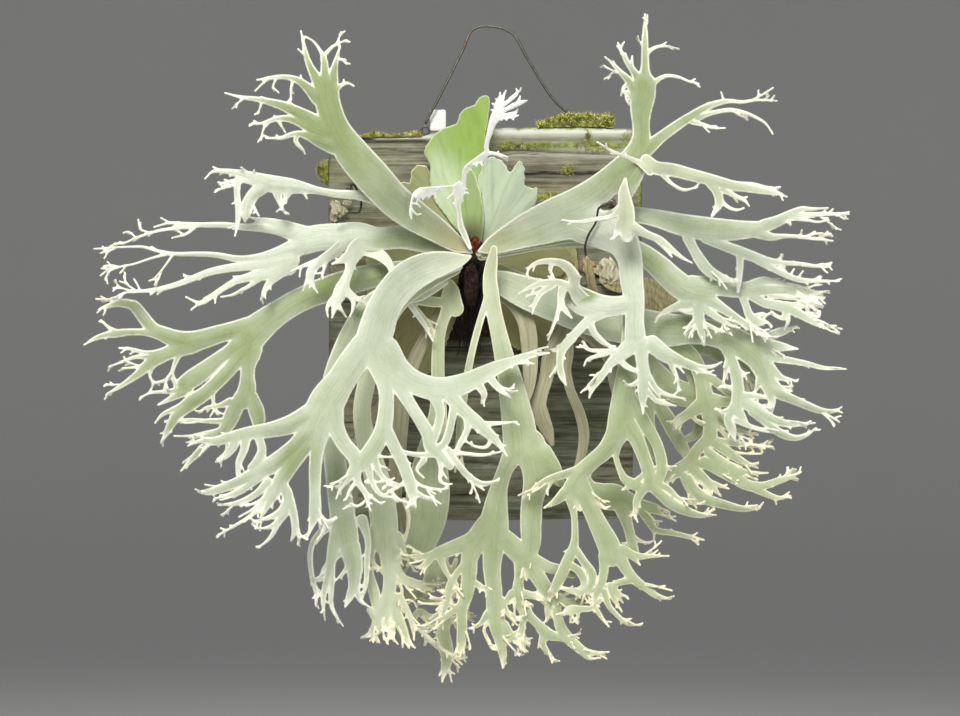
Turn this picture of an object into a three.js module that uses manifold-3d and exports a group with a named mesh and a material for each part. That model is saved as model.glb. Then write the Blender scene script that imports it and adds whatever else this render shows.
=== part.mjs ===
// Staghorn fern grown on a hanging plaque of weathered wood.
// Units are millimetres, +Z is up, +X is to the right as seen from the front.
// The origin is the centre of the plaque's flat back face, which lies against the
// wall in the plane y = 0. Everything stands in front of it, towards -Y.
import * as THREE from 'three';
import { mergeVertices, mergeGeometries } from 'three/addons/utils/BufferGeometryUtils.js';
import Module from 'manifold-3d';

// ---- driving dimensions -------------------------------------------------
const BOARD_W = 252;          // plaque width
const BOARD_H = 316;          // plaque height
const BOARD_T = 25;           // plaque thickness
const BOARD_ROUND = 1.2;      // small break of the front edges
const EYE_DISTANCE = 2000;    // the drawing below is made as seen from here, in front of the plaque's face
const GRID = 0.8;             // one drawing unit on the plaque's face
const DRAW_CX = 485;          // drawing position of the plaque's centre
const DRAW_CY = 323.5;
const EYE_X = 480, EYE_Y = 358; // drawing position of the eye's level line
const BUD = [474, 252];       // drawing position of the growing point
const LEAF_T = 1.9;           // blade thickness of the fronds
const SHIELD_T = 1.7;         // blade thickness of the shield fronds
const MOUND_H = 23;           // height of the moss and root pad over the plaque
const WIRE_D = 1.7;           // tie wire
const HANGER_D = 2.2;         // hanging wire
const NAIL_D = 2.2, NAIL_HEAD_D = 6;

// ---- frame: drawing units and depth in front of the plaque's face --------
const EX = (EYE_X - DRAW_CX) * GRID;
const EZ = -(EYE_Y - DRAW_CY) * GRID;
function place(px, py, depth) {
  const y = -BOARD_T - depth;
  const k = (EYE_DISTANCE - depth) / EYE_DISTANCE;
  return new THREE.Vector3(EX + (px - EYE_X) * GRID * k, y, EZ - (py - EYE_Y) * GRID * k);
}
const smooth01 = (t) => { t = Math.min(1, Math.max(0, t)); return t * t * (3 - 2 * t); };

// The fronds arch out from the growing point in nested bowls: a higher order
// lies further forward everywhere, so no two fronds meet.
function archDepth(order, px, py) {
  const r = Math.hypot(px - BUD[0], py - BUD[1]);
  const s = 1 - Math.exp(-(r / 108) * (r / 108)) - 0.12 * smooth01((r - 180) / 260);
  return 46 + 3.0 * order + (4 + 8.2 * order) * s;
}
// The shield fronds lie over the pad and lean out a little above it.
function padBump(px, py) {
  const u = (px - 472) / 78, v = (py - 266) / 64;
  return Math.exp(-1.15 * (u * u + v * v));
}
function shieldDepth(layer, px, py) {
  const up = Math.max(0, 235 - py);
  return 4 + 3.5 * layer + 24 * padBump(px, py) + 0.13 * up;
}

// ---- the fronds' midribs --------------------------------------------------
// "@ name order" starts a frond, and "@ name from to reach" one whose order
// changes over that distance from its base. Each line is one branch, from where it leaves
// its parent to its tip, as "x y half-width" points on the drawing grid.
// "+ from to reach" starts a branch group of the same frond that curls forward
// over it, and "- ..." is an open gap in the blade.
const MIDRIBS = `
@ frond_upper_left 8.35
470 251 4, 455 243 9, 435 229 13, 412 214 16, 392 198 17, 372 176 18, 352 153 17, 337 130 14, 329 108 13, 326 92 13, 325 84 11
320 86 7, 315 76 5.5, 309 64 4, 305 50 3, 301 31 1.2
310 62 2, 303 54 1.6, 298 49 1
326 84 7, 325 72 5, 324 60 4, 321 52 2.5, 314 42 1.8, 306 37 1
323 58 3, 328 51 2.5, 335 45 2, 347 40 1
336 45 1.6, 339 38 1.3, 341 32 1
332 84 7, 334 70 4.5, 337 58 3, 340 46 1.2
337 58 2, 342 60 1.4, 347 64 1
333 90 6, 340 86 3, 347 83 2, 354 86 1
318 98 8, 308 88 5.5, 297 80 4, 284 77 3.2, 270 78 2.6, 257 80 1.2
293 80 2.5, 291 90 1.8, 291 100 1
276 79 2, 273 86 1.4, 274 91 1
267 79 2, 260 86 1.5, 255 91 1
330 130 12, 318 124 9, 302 115 7, 286 107 5.5, 270 102 4.2, 255 99 3.2, 240 97 2.4, 225 93 1.2
244 98 2, 238 103 1.5, 232 109 1
262 101 2.4, 260 108 1.6, 258 114 1
322 133 9, 305 125 5.5, 290 119 4.2, 276 119 3.4, 264 123 2.4, 250 124 1.2
266 122 2.2, 263 131 1.6, 261 140 1
278 120 2.6, 282 127 1.8, 285 132 1
334 146 9, 320 141 7, 306 135 4.6, 294 134 3.4, 281 138 2.6, 266 138 1.2
297 135 3.2, 296 142 3, 303 150 2, 305 154 1
@ frond_upper_right 9.5
481 250 5, 498 243 11, 525 231 17, 555 220 22, 582 211 25, 605 195 23, 623 176 19, 636 157 14, 641 140 10, 641 125 9, 641 110 11, 643 95 13, 644 84 12
645 82 8, 645 68 5, 645 50 4.2, 645 30 3.2, 645 14 1.2
646 54 3, 654 48 2.4, 664 46 2, 679 49 1
645 50 2, 641 44 1.5, 637 38 1
640 82 6, 634 72 4.2, 627 62 3.4, 622 53 2.4, 617 46 1
622 54 2, 621 48 1.5, 624 42 1
634 90 6, 628 80 4.4, 620 72 3.4, 612 63 2.4, 605 57 1
619 72 2, 612 73 1.5, 608 79 1
629 84 3.4, 623 88 2, 621 96 1
632 98 4, 626 92 2.4, 627 101 1.8, 633 110 1.2
648 88 6, 656 81 3.4, 666 76 2.6, 678 77 2.2, 688 81 1.8, 699 84 1
646 150 8, 660 138 6, 675 127 5.6, 690 117 5, 705 108 4.4, 718 103 3.6, 730 101 2.8, 742 102 2.4, 757 100 2, 777 101 1
724 101 2, 721 92 1
757 99 2, 760 94 1
697 118 4, 712 113 3, 730 110 2.8, 745 113 2.6, 757 118 2.2, 766 124 1.8, 773 134 1
735 112 2, 741 116 1.5, 747 118 1
692 122 3.4, 704 125 2.6, 715 128 2, 725 128 1
585 220 24, 605 228 22, 621 240 17, 629.5 258 13, 631.5 280 12, 634.5 300 10.4, 634.5 320 9.6, 635 336 11
630 304 9, 612 306.5 10.6, 598 306 12.4, 586 303 14, 576 297 12.4, 571 286 8, 572 277 4
600 314 6, 588 321 5, 578 331 5, 568 342 5, 561 353 4.6, 560 366 4.2, 562 376 4, 566 385 1.6
590 322 4.5, 594 333 4, 603 342 3.4, 613 348 1.6
572 339 4.6, 563 346 4, 553 351 2
632 345 9, 620 355 7, 610 364 5, 601 377 4.2, 593 387 3.6, 589 398 1.2
600 378 3, 592 383 1.2
616 352 4, 602 351 3, 590 350 2.4, 580 345 1
606 354 3, 594 357 2.6, 587 360 2, 584 366 1
618 358 4, 626 366 3.6, 636 371 2.8, 648 374 1
641 344 9, 642 360 6.5, 644 378 7, 643 394 5.5, 643 404 3.5, 643 414 1.2
641 381 4, 632 385 2.6, 624 385 1
648 378 5, 656 389 3.8, 668 395 2.6, 685 399 1
648 392 4, 657 401 3.2, 668 404 2.6, 676 406 1
652 344 9, 666 355 8, 682 362 5.5, 698 370 3.4, 716 376 1.2
686 362 4, 702 367 3, 714 366 2.4, 722 362 1
671 360 4.5, 673 369 3.4, 677 378 2.6, 679 388 1.2
678 366 2.4, 684 373 1
- 604 207 4, 611 205 4.4, 617 198 4
+ 9.0 12.5 44
624 176 6, 624 192 7, 626 210 9, 626 222 9
622 208 5, 612 216 3.2, 596 219 2.8, 578 222 2.6, 562 220 1
622 224 7, 616 233 3.6, 613 239 1.2
626 228 7, 626 238 5, 632 239 1.5
634 228 6, 646 234 4.5, 660 240 4.2, 671 249 3.6, 681 257 2.6, 692 263 1
655 238 3.4, 663 246 3, 672 257 1.2
+ 9.0 12.2 40
646 160 6, 656 168 7, 672 170 7, 692 175 6.5, 712 180 6, 730 185 5.6, 748 188 4.8, 764 191 4, 777 193 3, 787 197 1
650 171 5, 638 162 3.4, 624 156 2.4, 610 150 1.8, 597 142 1
664 176 3.4, 672 184 2.4, 684 190 2.2, 697 187 1
709 182 5, 717 192 5, 719 204 4.6, 712 216 2
718 198 3.4, 728 207 2.4, 737 210 2, 744 208 1
722 189 4, 735 196 3, 744 200 2.6, 749 206 1.2
736 184 3, 752 184 2.4, 766 187 2, 779 188 1
+ 9.0 12.4 40
590 306 8, 580 298 8, 574 287 6, 574 277 6, 566 266 5.2, 554 261.5 4, 540 262 3.2, 530 267 2.2, 526.5 275 1
553 262 3, 550 270 2.6, 554 278 1.2
535 264 2, 533 271 1
572 289 5, 560 283 4.4, 546 283 4.2, 531 287 3.2, 518 294 1.2
548 284 3, 540 279 1.2
553 285 4, 541 293 3.4, 535 303 2.8, 532 314 1.2
541 292 3, 526 296 1.2
562 290 5, 561 302 3.8, 566 311 3.2, 572 318 1.4
561 302 4, 557 315 2.4, 553 326 2.2, 548 340 1.2
@ frond_left 5.6
466 256.5 5, 445 248.6 9, 422 240.5 12, 400 237 12, 378 239 12, 358 236.5 14.5, 340 237.5 14.5, 322 237.5 13.5, 304 241 14
306 236 10, 288 228 7, 270 222 4.5, 256 219 2.4, 249 217 1
300 236 9, 281 231 5.6, 262 228 4.6, 243 227 4, 222 225 3.6, 203 225 3.2, 186 224 2.6, 170 223 2, 154 227 1
170 223 1.8, 161 218 1
196 226 2.8, 178 228 2.4, 162 230 2.2, 150 233 2, 136 238 1.8, 124 243 1.4, 114 244 1
150 233 1.6, 140 229 1.2, 141 223 1
136 238 1.4, 129 232 1.2, 123 233 1
194 228 2.4, 186 234 2, 172 238 1
296 248 10, 276 254 6.5, 258 258 4.8, 238 259 4, 216 255 3.4, 196 254 3, 176 254 2.6, 158 251 2.2, 143 247 2, 126 247 1.6, 94 249 1
168 254 2.2, 152 258 1.8, 134 264 1.6, 119 267 1.4, 109 272 1.2, 105 280 1
118 267 1.4, 104 266 1
172 256 2, 165 266 1.6, 155 278 1.3, 149 281 1
290 260 10, 268 264 6.5, 250 266 5, 230 268 4.6, 210 272 4.2, 194 278 3.8, 178 284 3.4, 160 289 3, 144 291 2.4, 130 292 1.6
136 291 1.8, 127 284 1.3, 124 276 1
140 290 1.6, 137 284 1.2, 134 279 1
134 292 1.6, 121 288 1.3, 113 288 1
130 292 1.4, 121 294 1.2, 114 299 1
288 266 10, 268 273 7, 250 277 5, 236 281 4, 224 288 3.6, 212 296 3.4, 200 303 2.8, 186 297 1
205 301 2.4, 196 306 1.6, 191 310 1
216 294 2.4, 215 303 1
262 274 6, 252 284 3, 242 290 2.4, 232 295 2, 221 297 1
280 270 8, 270 282 4.5, 264 292 3, 261 300 1
+ 4.9 8.0 42
352 244 8, 342 248 8, 333 253 6, 324 259 5.4, 315 266 5, 310 276 4.8, 314 287 2.4, 318 293 1
312 272 4, 306 283 2.4, 303 291 1
316 262 4, 303 266 2.4, 291 271 1
326 258 4, 324 270 2, 321 278 1
+ 4.9 8.4 42
372 243 7, 362 245 9, 355 252 9, 351 262 6, 349 271 4.8, 345 281 5.6, 341 291 7.4, 337 301 5.4, 334 310 3.2, 332 318 1.2
348 257 6, 340 261 3.4, 332 264 1.4
342 292 5, 331 301 3.4, 327 309 2.2, 328 317 1
346 290 5, 353 300 3.4, 353 309 2.4, 350 317 1
351 294 3.6, 359 300 3, 367 303 2, 374 305 1
338 305 3.4, 342 311 2.2, 346 317 1
366 248 8, 377 253 6.5, 386 260 5.2, 393 269 3.2, 399 278 1.2
388 262 3.6, 391 273 2.4, 390 283 1.8, 388 290 1
@ frond_left_thin 7.2
464 249.4 4, 440 235.6 6, 415 222 6, 392 208 6, 374 199 6, 356 195 5, 338 194 4.6, 320 191 4.2, 304 188 6, 290 186 8, 272 184 9, 255 178 6, 238 173 4, 222 171 3, 212 172 2, 205 179 1
222 171 2, 213 167 1
255 176 3, 254 170 1
262 184 6, 248 181 3.6, 234 181 2.8, 219 184 1
240 182 2.4, 228 187 1.8, 216 190 1
262 188 7, 254 194 6.5, 248 204 6.5, 246 214 5, 245 222 1.4
252 204 3, 256 211 1.6, 259 216 1
277 190 6, 279 200 3.6, 282 208 2.4, 286 214 1
288 192 5, 285 200 2.6, 281 210 1.2
238 180 4, 237 192 3.8, 238 206 3.6, 238 220 3.2, 235 236 1.2
304 192 3, 307 199 1
@ frond_lower_left 4
460 262 5, 435 266 8, 405 270 10, 378 275 12, 352 281 13, 326 289.5 13, 300 300 12.5, 278 313 13, 262 325 15, 250 336 17
250 328 12, 232 331 9.5, 218 334.5 9.5, 200 340 10.5, 186 343 12, 172 338 9, 163 334 8, 153 329 7, 143 317 6.6, 135 307 6, 126 303 4
134 305 5, 118 303.5 4, 108 306 3, 99 309 1.2
128 302 3.6, 114 300 2.2, 96 299 1
168 335 7, 152 333 5, 142 332 4, 130 332 4, 116 333.5 4.6, 104 335.5 3.6, 94 339 2.8, 84 345 1
116 332 3.4, 108 327 2.4, 101 320 1.2
184 347 9, 168 353 7.4, 157 358 7.6, 147 366 6, 138 374 4.6, 127 382 3.4, 116 389 2.6, 106 395 1
162 352 4, 148 353 3, 138 351 2.6, 128 348.5 2.2, 119 348 1.2
150 357 4, 136 357 2.6, 124 361 2.2, 109 367 1
150 364 3.4, 136 367 2.2, 122 368.5 1.4
152 366 3.6, 150 376 2.2, 153 384 1.8, 149 393 1.2
153 383 1.8, 164 381 2.4, 172 376 2.4
179 354 4, 174 366 2.8, 172 376 2.6, 176 386 3, 172 395 1.6
244 342 12, 232 350 8, 220 358 7.4, 205 370 9.2, 192 379 9.6, 184 384 8
188 388 6, 174 391 3.6, 160 392 2.4, 150 393 2, 140 398 1.2
184 392 5, 170 399 3.4, 158 405 1.6
244 352 11, 234 364 8, 225 374 7.6, 214 385 7.4, 204 394 7.6, 192 402 8, 181 411 6.6, 173 421 5.2, 167 432 3.8, 161 443 1.4
184 406 5, 172 410 3.4, 162 415 2.6, 155 423 1.2
214 388 3.6, 213 396 2.8, 214 406 2.4, 218 414 2.4
230 402 5, 218 406 3, 206 408 2.4, 199 413 1.4
249 350 14, 248 364 8.6, 247.5 376 7.6, 247 390 9.6, 243 400 10
240 398 7, 234 411 8.6, 229 422 8, 222 432 6, 208 436 4.4, 195 440 3, 188 446 1
252 398 7, 256.4 411 8.4, 258.6 421 7.2, 259 429 5.4
224 421 4, 206 421 3, 190 420 2.6, 175 421 1.2
216 431 3, 204 433 2.4, 190 436 2, 174 436 1
214 436 4, 204 447 4.4, 193 458 3.8, 181 471 1.2
228 430 4, 228 444 3.4, 226 454 2.4, 220 463 1
@ frond_front_left 11.5
466 260 6, 448 262 11, 428 267 15, 409 277 17, 394 292 17, 383 310 17, 377 328 18, 372 344 18
364 348 15, 352 364 15, 340 382 15, 328 400 18, 318 418 17
312 414 12, 292 424 10, 270 430 8, 250 433 7, 232 437 6, 216 441 5, 200 441 3, 188 446 1
236 438 6, 232 448 5, 225 456 4, 217 461 1.6
216 440 3, 205 448 2, 199 456 1
246 437 6, 244 450 4.6, 239 462 4, 238 474 3
258 436 5, 262 450 5, 258 462 6, 252 468 5
312 428 12, 298 444 9, 284 456 9, 270 466 9, 254 474 7, 238 482 5.6, 222 488 5, 208 492 4, 198 492 1.4
264 472 6, 250 484 4.6, 236 493 4, 214 499 1.2
268 482 5, 256 494 4, 238 503 3.4, 218 505 1.2
272 488 5, 262 500 3, 246 506 1.2
268 496 4, 258 506 2.6, 239 517 1
264 504 3, 252 515 2.6, 236 525 2.2, 217 536 1
306 446 8, 292 464 8, 281 480 8, 274 494 6, 266 508 3.6, 260 519 1.2
282 484 6, 288 498 6, 282 511 5, 268 518 3, 252 522 1
286 512 4.6, 276 524 4, 266 528 2.2, 256 528 1
278 524 3.4, 270 538 2.6, 258 548 1
290 500 5, 294 516 4.6, 295 530 4, 291 541 1.4
296 524 3, 299 536 2.6, 298 545 1
320 428 12, 317 450 7.5, 315 472 6.5, 315 494 6, 315 512 6.5, 312 524 4, 308 536 1.4
316 512 4, 326 522 3.4, 336 518 2.4
326 522 3, 322 534 2.6, 316 544 1.2
332 408 12, 336 428 9, 344 444 8, 354 456 8, 356 466 7, 350 476 5, 342 486 3, 336 499 1.2
352 474 4, 342 480 2.4, 330 484 1
356 468 6, 358 482 4, 366 494 3.4, 370 510 1.4
358 480 3, 350 490 2.4, 346 500 1
374 352 15, 382 370 12, 386 390 8, 386 410 8, 383 430 9, 376 444 9, 368 456 9, 362 464 8
374 456 5, 378 470 4, 386 480 3, 398 484 1.2
368 466 5, 372 482 3.6, 380 494 3, 394 498 1
386 430 7, 394 446 6.5, 403 464 6.5, 409 480 6.5, 412 492 6, 414 503 3, 416 507 1.3
390 372 11, 400 388 8, 410 404 6.5, 420 420 6.5, 428 434 7, 431 447 7, 440 455 5.5, 450 466 4.6
424 460 4, 417 470 2.4, 424 478 1.2
400 451 2.6, 412 454 3, 424 455 3.6, 434 454 4
412 480 3, 422 486 2.2, 434 489 2, 446 489 1.1
372 462 3, 380 466 2.2, 387 468 1.1
376 456 2.6, 386 457 1.8, 397 457 2
366 482 2.6, 376 482 2, 383 482 1.1
371 497 2.4, 378 502 1.8, 382 504 1.1
368 499 2.4, 358 506 1.8, 346 506 1.1
414 492 4, 424 497 3, 433 500 2.6, 441 504 1.2
410 480 4, 401 485 2.6, 391 491 2.4, 383 496 1.2
391 491 2.2, 398 499 2.2, 406 502 2, 413 504 2
438 456 3.6, 441 468 3, 440 480 2.6, 445 484 2, 452 484 1.1
386 350 14, 398 370 13, 416 383 12, 438 389 12, 460 385 11, 480 376 9, 498 367 7, 516 360 5, 534 354 4, 549 353 1.4
512 362 3.4, 524 362 3, 534 364 1
488 374 5, 494 383 4.4, 502 391 3.6, 511 398 1.2
498 386 2.6, 506 389 2, 514 388 1
478 384 5, 484 394 4, 482 403 2
450 396 8, 463 410 7, 476 422 7, 488 433 6, 498 443 4, 507 456 1.2
486 424 3.4, 502 423 2.4, 517 422 1
492 438 3, 486 447 2.4, 474 446 1.8, 464 440 1
436 398 7, 440 412 5.4, 438 426 5, 434 438 5
456 402 6, 452 418 4.6, 449 432 4.6, 444 444 4.6, 436 450 5
468 418 5, 467 430 4, 461 442 3.6, 455 452 2.6, 446 456 1.4
448 450 4, 458 464 4, 468 476 4, 482 484 3.6, 499 480 1
452 452 3, 468 454 2.6, 484 455 2.2, 500 452 1
470 476 3, 476 484 2.4, 484 490 1
@ frond_centre 12 7.0 190
494 249 4, 492 262 6, 490 276 7, 491 292 8, 494 312 8, 499 334 8.5, 504 356 10, 510 380 12.5, 515 405 15, 519 428 17, 520 448 17
489 296 5, 483 312 4, 477 332 4, 472 352 4, 468 372 4.2, 464 398 4, 460 424 4, 458 450 3, 455 472 1.4
514 452 11, 505 470 8, 499 488 9, 496 506 12, 494 524 15
528 446 18, 536 464 16, 536 482 13, 532 502 11, 531 522 11, 531 542 10, 528 560 7, 526 578 3
540 456 14, 552 470 10, 560 482 5
488 528 14, 474 540 10, 458 546 8, 442 552 7, 428 556 4.4, 414 556 3, 399 558 1.2
432 556 4.6, 426 564 4, 420 567 3, 413 566 1.2
426 564 3, 424 573 1.2
440 556 5, 444 568 3.6, 450 578 3, 457 585 2.4, 457 598 1
478 540 11, 470 556 9, 469 574 8, 467 592 7, 462 610 6, 462 628 5.4, 461 644 5, 459 657 1.8
466 600 4.6, 452 612 4, 438 621 3.2, 420 627 1.2
468 580 4.4, 480 586 3.2, 488 594 1.2
462 612 3.6, 448 604 2.6, 432 604 2, 418 603 1
455 590 3, 446 596 2.4, 440 590 1
470 560 6, 458 572 4, 450 586 4.6, 447 602 4, 442 616 2.6, 436 634 1.2
494 530 15, 493 550 11, 492 570 9, 494 590 8.4, 495 608 9, 497 624 8.6, 500 640 6, 503 656 4.4, 503 668 1.8
488 614 5, 480 624 3, 470 629 1.4
504 626 6, 511 636 4.4, 519 643 3, 525 652 1.2
502 600 4, 508 614 3, 517 625 1.2
506 540 10, 518 552 11, 530 566 9, 540 580 8, 549 594 7.4, 560 601 5.6, 574 602 4, 590 598 3, 600 590 1.4
520 558 7, 519 576 5, 518 592 6.4, 519 604 5, 522 616 2, 524 622 1
512 594 5, 504 604 3, 498 612 1
524 594 5, 534 596 4, 544 600 3
534 560 7, 548 567 6, 560 570 5.6, 572 574 5
550 598 6, 548 612 4, 547 622 1.4
556 604 5, 558 618 5.4, 562 630 6, 572 642 5.8, 584 651 4.6, 596 653 3, 609 652 1
578 648 4, 588 658 2.6, 600 658 1
526 604 4, 530 616 5, 538 624 5, 546 633 6.4, 560 638 4, 579 643 1.2
544 634 5, 543 645 4, 549 654 3, 556 662 1
541 640 3, 538 648 1.2
526 612 4.4, 522 626 4, 524 638 2.8, 530 642 1
524 628 3, 514 634 3, 504 634 2
@ frond_lower_right 7.9
484 255 4, 505 249 5, 540 242 6, 575 236 7, 602 240 8, 620 256 8, 629 280 8, 631 310 8, 630 340 9, 627 370 10, 624 395 12, 622 415 13.5, 618 432 12
616 436 11, 606 450 9, 592 462 8, 580 474 9, 572 488 9
582 470 6, 566 474 4.8, 550 479 4.2, 536 487 3.2, 522 499 1.2
552 480 3, 549 487 2, 546 493 1
566 492 6.4, 556 501 4.4, 544 508 1.2
574 490 7, 575 500 5.4, 580 511 1.4
582 482 7, 590 494 5, 597 503 4, 606 509 1.2
570 498 5.4, 574 514 4, 575 532 4, 574 546 5, 568 560 6, 561 576 6, 554 590 5, 548 600 2
576 550 4.6, 584 562 4.6, 592 574 5, 590 586 4.6, 582 592 4, 572 590 3.2, 560 588 2
582 494 8, 591 510 8.6, 600 528 10, 608 544 11.5, 612 556 11
604 556 6, 604 570 5, 601 584 5, 596 596 4, 594 612 1.2
600 588 4, 588 592 3, 576 595 1.2
620 558 7, 626 569 6, 634 579 5.4, 646 588 4.2, 657 596 3.6, 671 599 1.2
630 580 4.4, 618 583 3.8, 612 588 4, 620 594 2.6, 628 597 1
614 588 4, 619 597 2.6, 623 603 1
610 586 4.4, 614 598 3.6, 622 612 1.2
604 592 4.6, 609 606 3.6, 618 616 3, 628 624 2.6, 641 625 1
600 600 3.4, 592 608 3.4, 580 609 4, 570 610 5, 562 615 2
596 609 3.4, 602 618 2.6, 609 627 1
572 612 3, 570 623 1
578 612 3, 578 624 1
622 550 6, 636 556 4.4, 652 556 2.6, 669 556 1
650 556 2, 658 550 1
634 558 3.6, 640 565 1.4
628 426 10, 636 438 8, 642 452 7, 647 466 7, 650 478 7, 648 486 6
618 440 6, 616 456 3.6, 620 470 3.6, 626 480 5, 638 486 6
630 486 4, 622 490 1.4
644 488 5.4, 637 500 4.4, 636 510 3.4, 635 519 1.2
650 484 6, 660 494 5.6, 672 504 6, 686 511 5, 700 515 3.6, 716 515 1.2
654 482 5, 668 489 4, 678 498 3, 690 503 2.4, 704 504 1
631 396 6, 638 411 7, 646 426 7, 655 440 6, 660 454 6, 662 468 6, 658 480 6
638 480 4, 650 470 3, 662 468 3, 676 466 1
@ frond_right 6.8
479 253 4, 505 246 6, 540 238 7, 575 232 8, 605 222 8, 630 215 8, 655 218 9, 678 224 11, 700 228 12, 722 230 11.5, 742 230 9.6, 758 229 8
764 226 7, 778 221 6, 792 214 5, 802 209 3.4, 812 209 2.4, 828 208 1
790 217 4.4, 806 215 3, 824 214 2.8, 838 214 2.2, 849 212 1
828 214 2, 833 209 1
836 215 2, 848 219 1
790 218 3.4, 806 220 2.2, 818 222 1.8, 829 220 1
758 233 6, 772 237 4.4, 786 236 2.8, 802 237 2.6, 818 239 2.4, 833 241 1
800 237 2.2, 802 230 1
706 238 6, 722 245 5.4, 738 251 5.8, 754 257 5.6, 768 261 4.4, 784 263 3.2, 800 264 2.8, 814 266 2.4, 830 267 1
758 260 5, 772 268 4, 786 275 3.6, 800 280 3.4, 816 281 2.6, 839 281 1
778 264 2.4, 786 272 1.8
790 276 2.2, 794 269 1
798 278 2, 803 271 1
812 281 2, 820 276 1
740 252 5, 740 266 4, 739 280 3.6, 738 292 2
688 238 6, 693 248 5.4, 700 260 6, 709 271 6, 722 278 4.6, 736 281 2
@ frond_right_low 5.8
481 257 4, 510 251 5, 550 243 6, 590 240 8, 618 243 9, 640 252 10, 658 266 12, 674 281 13, 690 292 13, 706 296 11
700 298 8, 698 312 6.4, 701 328 5.4, 704 345 2
698 318 4, 690 326 3, 684 334 1.2
700 322 3, 692 332 2, 689 338 1
690 302 7, 676 307 4.6, 665 312 3.4, 656 318 1.2
706 298 8, 722 308 5.4, 738 319 4.4, 752 328 4, 764 336 2.4, 776 337 1
704 308 5, 718 318 4, 732 325 3, 740 328 1
701 322 3.4, 711 327 3, 721 331 2.4, 731 333 1
770 296 3.4, 790 298 2.6, 806 301 2, 817 303 1
692 312 3.4, 685 312 2.6, 680 307 1.2
714 314 3, 724 322 2.6, 720 332 1.2
692 284 9, 712 286 9, 732 289 8.6, 750 290 7.6, 768 290 6, 786 290 5, 802 292 4, 816 293 3, 829 291 1
748 286 5, 764 281 5, 778 283 3.2, 792 287 2.4, 806 288 2, 818 284 1
790 292 4, 806 297 3.2, 824 299 1.2
748 292 6, 758 299 5.4, 770 305 4.6, 786 304 3.2, 802 306 2.6, 812 304 2, 822 302 1
810 304 2, 816 310 1
768 303 4.6, 782 307 5.4, 796 312 5, 808 319 4.2, 820 325 3.2, 832 327 2.2, 842 329 1
812 318 3, 818 316 2, 820 311 1
786 310 4.4, 784 318 3.4, 776 316 2.2, 769 313 1
788 316 3, 788 322 2.6, 784 330 1
742 294 5, 746 306 4.4, 750 316 5, 758 322 5, 766 322 2.6, 772 326 1
752 318 4, 762 314 2.6, 768 315 1
@ frond_right_drooping 4.4
490 276 6, 506 284 13, 530 294 17, 556 302 20, 584 312 21, 612 321 20, 640 327 19, 668 330 17, 694 330 14, 718 335 13, 740 344 14, 756 356 13, 764 370 11, 768 384 8
748 344 10, 766 345 7, 782 347 5, 798 349 1.4
752 338 5, 766 336 4.4, 780 332 5, 790 329 3, 797 326 1
760 352 8, 776 358 5, 792 361 4, 808 364 3.4, 824 368 2.8, 846 369 1
770 368 6, 780 377 4, 790 380 2.6, 798 381 1
770 380 6, 780 388 3.8, 792 391 1.2
768 386 7, 780 394 6, 794 400 5, 808 406 4.6, 822 411 3.8, 834 411 2.6, 842 407 1
768 390 5.4, 772 401 4.4, 772 412 1.6
760 380 5, 757 388 3, 753 394 1.2
726 344 8, 731 358 6, 736 374 6.4, 738 390 6.6, 737 406 7
734 408 6, 728 418 5, 732 430 5, 735 441 1.6
738 412 6, 744 420 4, 749 425 1.2
730 410 4, 722 412 3, 716 408 1.4
742 402 6, 756 410 5.6, 772 419 5, 788 424 4, 802 424 2.8, 815 423 1
752 412 4.6, 768 424 4.4, 782 434 4.6, 796 438 3.6, 808 434 2.6, 816 428 1
780 432 3, 788 431 1.2
742 396 5, 756 396 3.6, 768 398 2
743 398 4, 756 404 3, 768 411 2.2, 771 413 1
730 352 4, 727 364 3.6, 725 376 2.6, 723 383 1
738 370 3.4, 744 374 2.4, 747 380 1
731 388 3, 724 386 2.4, 718 388 1
736 420 4, 752 427 3, 768 431 2.6, 784 433 1
@ frond_right_back 3.3
488 281 5, 515 294 7, 550 308 8, 590 322 9, 630 334 10, 664 343 10, 686 352 9, 698 368 8, 703 386 8, 706 402 10
700 406 8, 688 414 5.4, 678 421 5, 675 429 2
690 414 3, 698 422 2.6, 704 426 1
708 410 8, 710 424 7, 710 438 8
708 440 7, 697 450 6, 690 462 7, 678 469 6, 666 478 5.4, 656 486 3
690 466 6, 703 478 5.4, 712 487 4.4, 721 496 1.2
708 482 4, 718 485 3, 729 489 1.2
694 462 5, 710 467 4, 726 470 3, 742 473 1.4
714 442 6, 728 452 5.4, 742 461 4, 758 468 1.2
708 452 5, 722 463 5.6, 738 471 5, 752 473 3, 768 473 1.2
704 462 6, 718 468 7.4, 734 477 7, 748 485 6, 762 486 4.6, 778 481 4, 790 477 3, 801 472 1
750 486 5, 764 493 4, 778 498 3, 791 496 1
714 400 7, 728 402 5, 742 398 3
699 371 6, 713 380 5, 726 390 5, 738 399 4
711 418 3.2, 719 428 3, 727 437 2.4, 733 441 1
704 447 3.4, 717 456 3, 730 464 2.8, 742 471 1.4
692 470 3, 697 480 2.4, 705 487 1
716 406 5, 720 420 4.6, 730 428 4, 742 432 3, 758 434 1
688 480 6, 694 490 6, 706 499 6, 722 504 5, 738 508 4, 750 509 3, 761 507 1
684 476 5, 688 488 4, 692 498 3, 697 503 1.2
716 440 4, 732 443 3.6, 750 445 3, 773 447 1.4
680 472 5, 668 480 3
@ frond_inner_left 6.6
458 266 5, 432 274 7, 402 288 8, 378 298 9, 362 312 9, 350 332 9, 340 354 9, 332 378 9, 330 404 10, 330 430 10, 334 456 11, 338 484 12, 342 512 13, 346 538 13
338 530 8, 334 548 7, 330 566 5, 326 584 4, 323 602 3, 325 620 1
332 560 4, 332 582 3.4, 331 602 3, 335 614 2.4, 343 626 1
350 548 11, 354 566 9, 354 584 6, 350 596 4.6, 345 607 1.6
356 588 4, 360 600 3, 369 607 1.2
342 552 4, 326 566 3, 319 579 1.4
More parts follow.
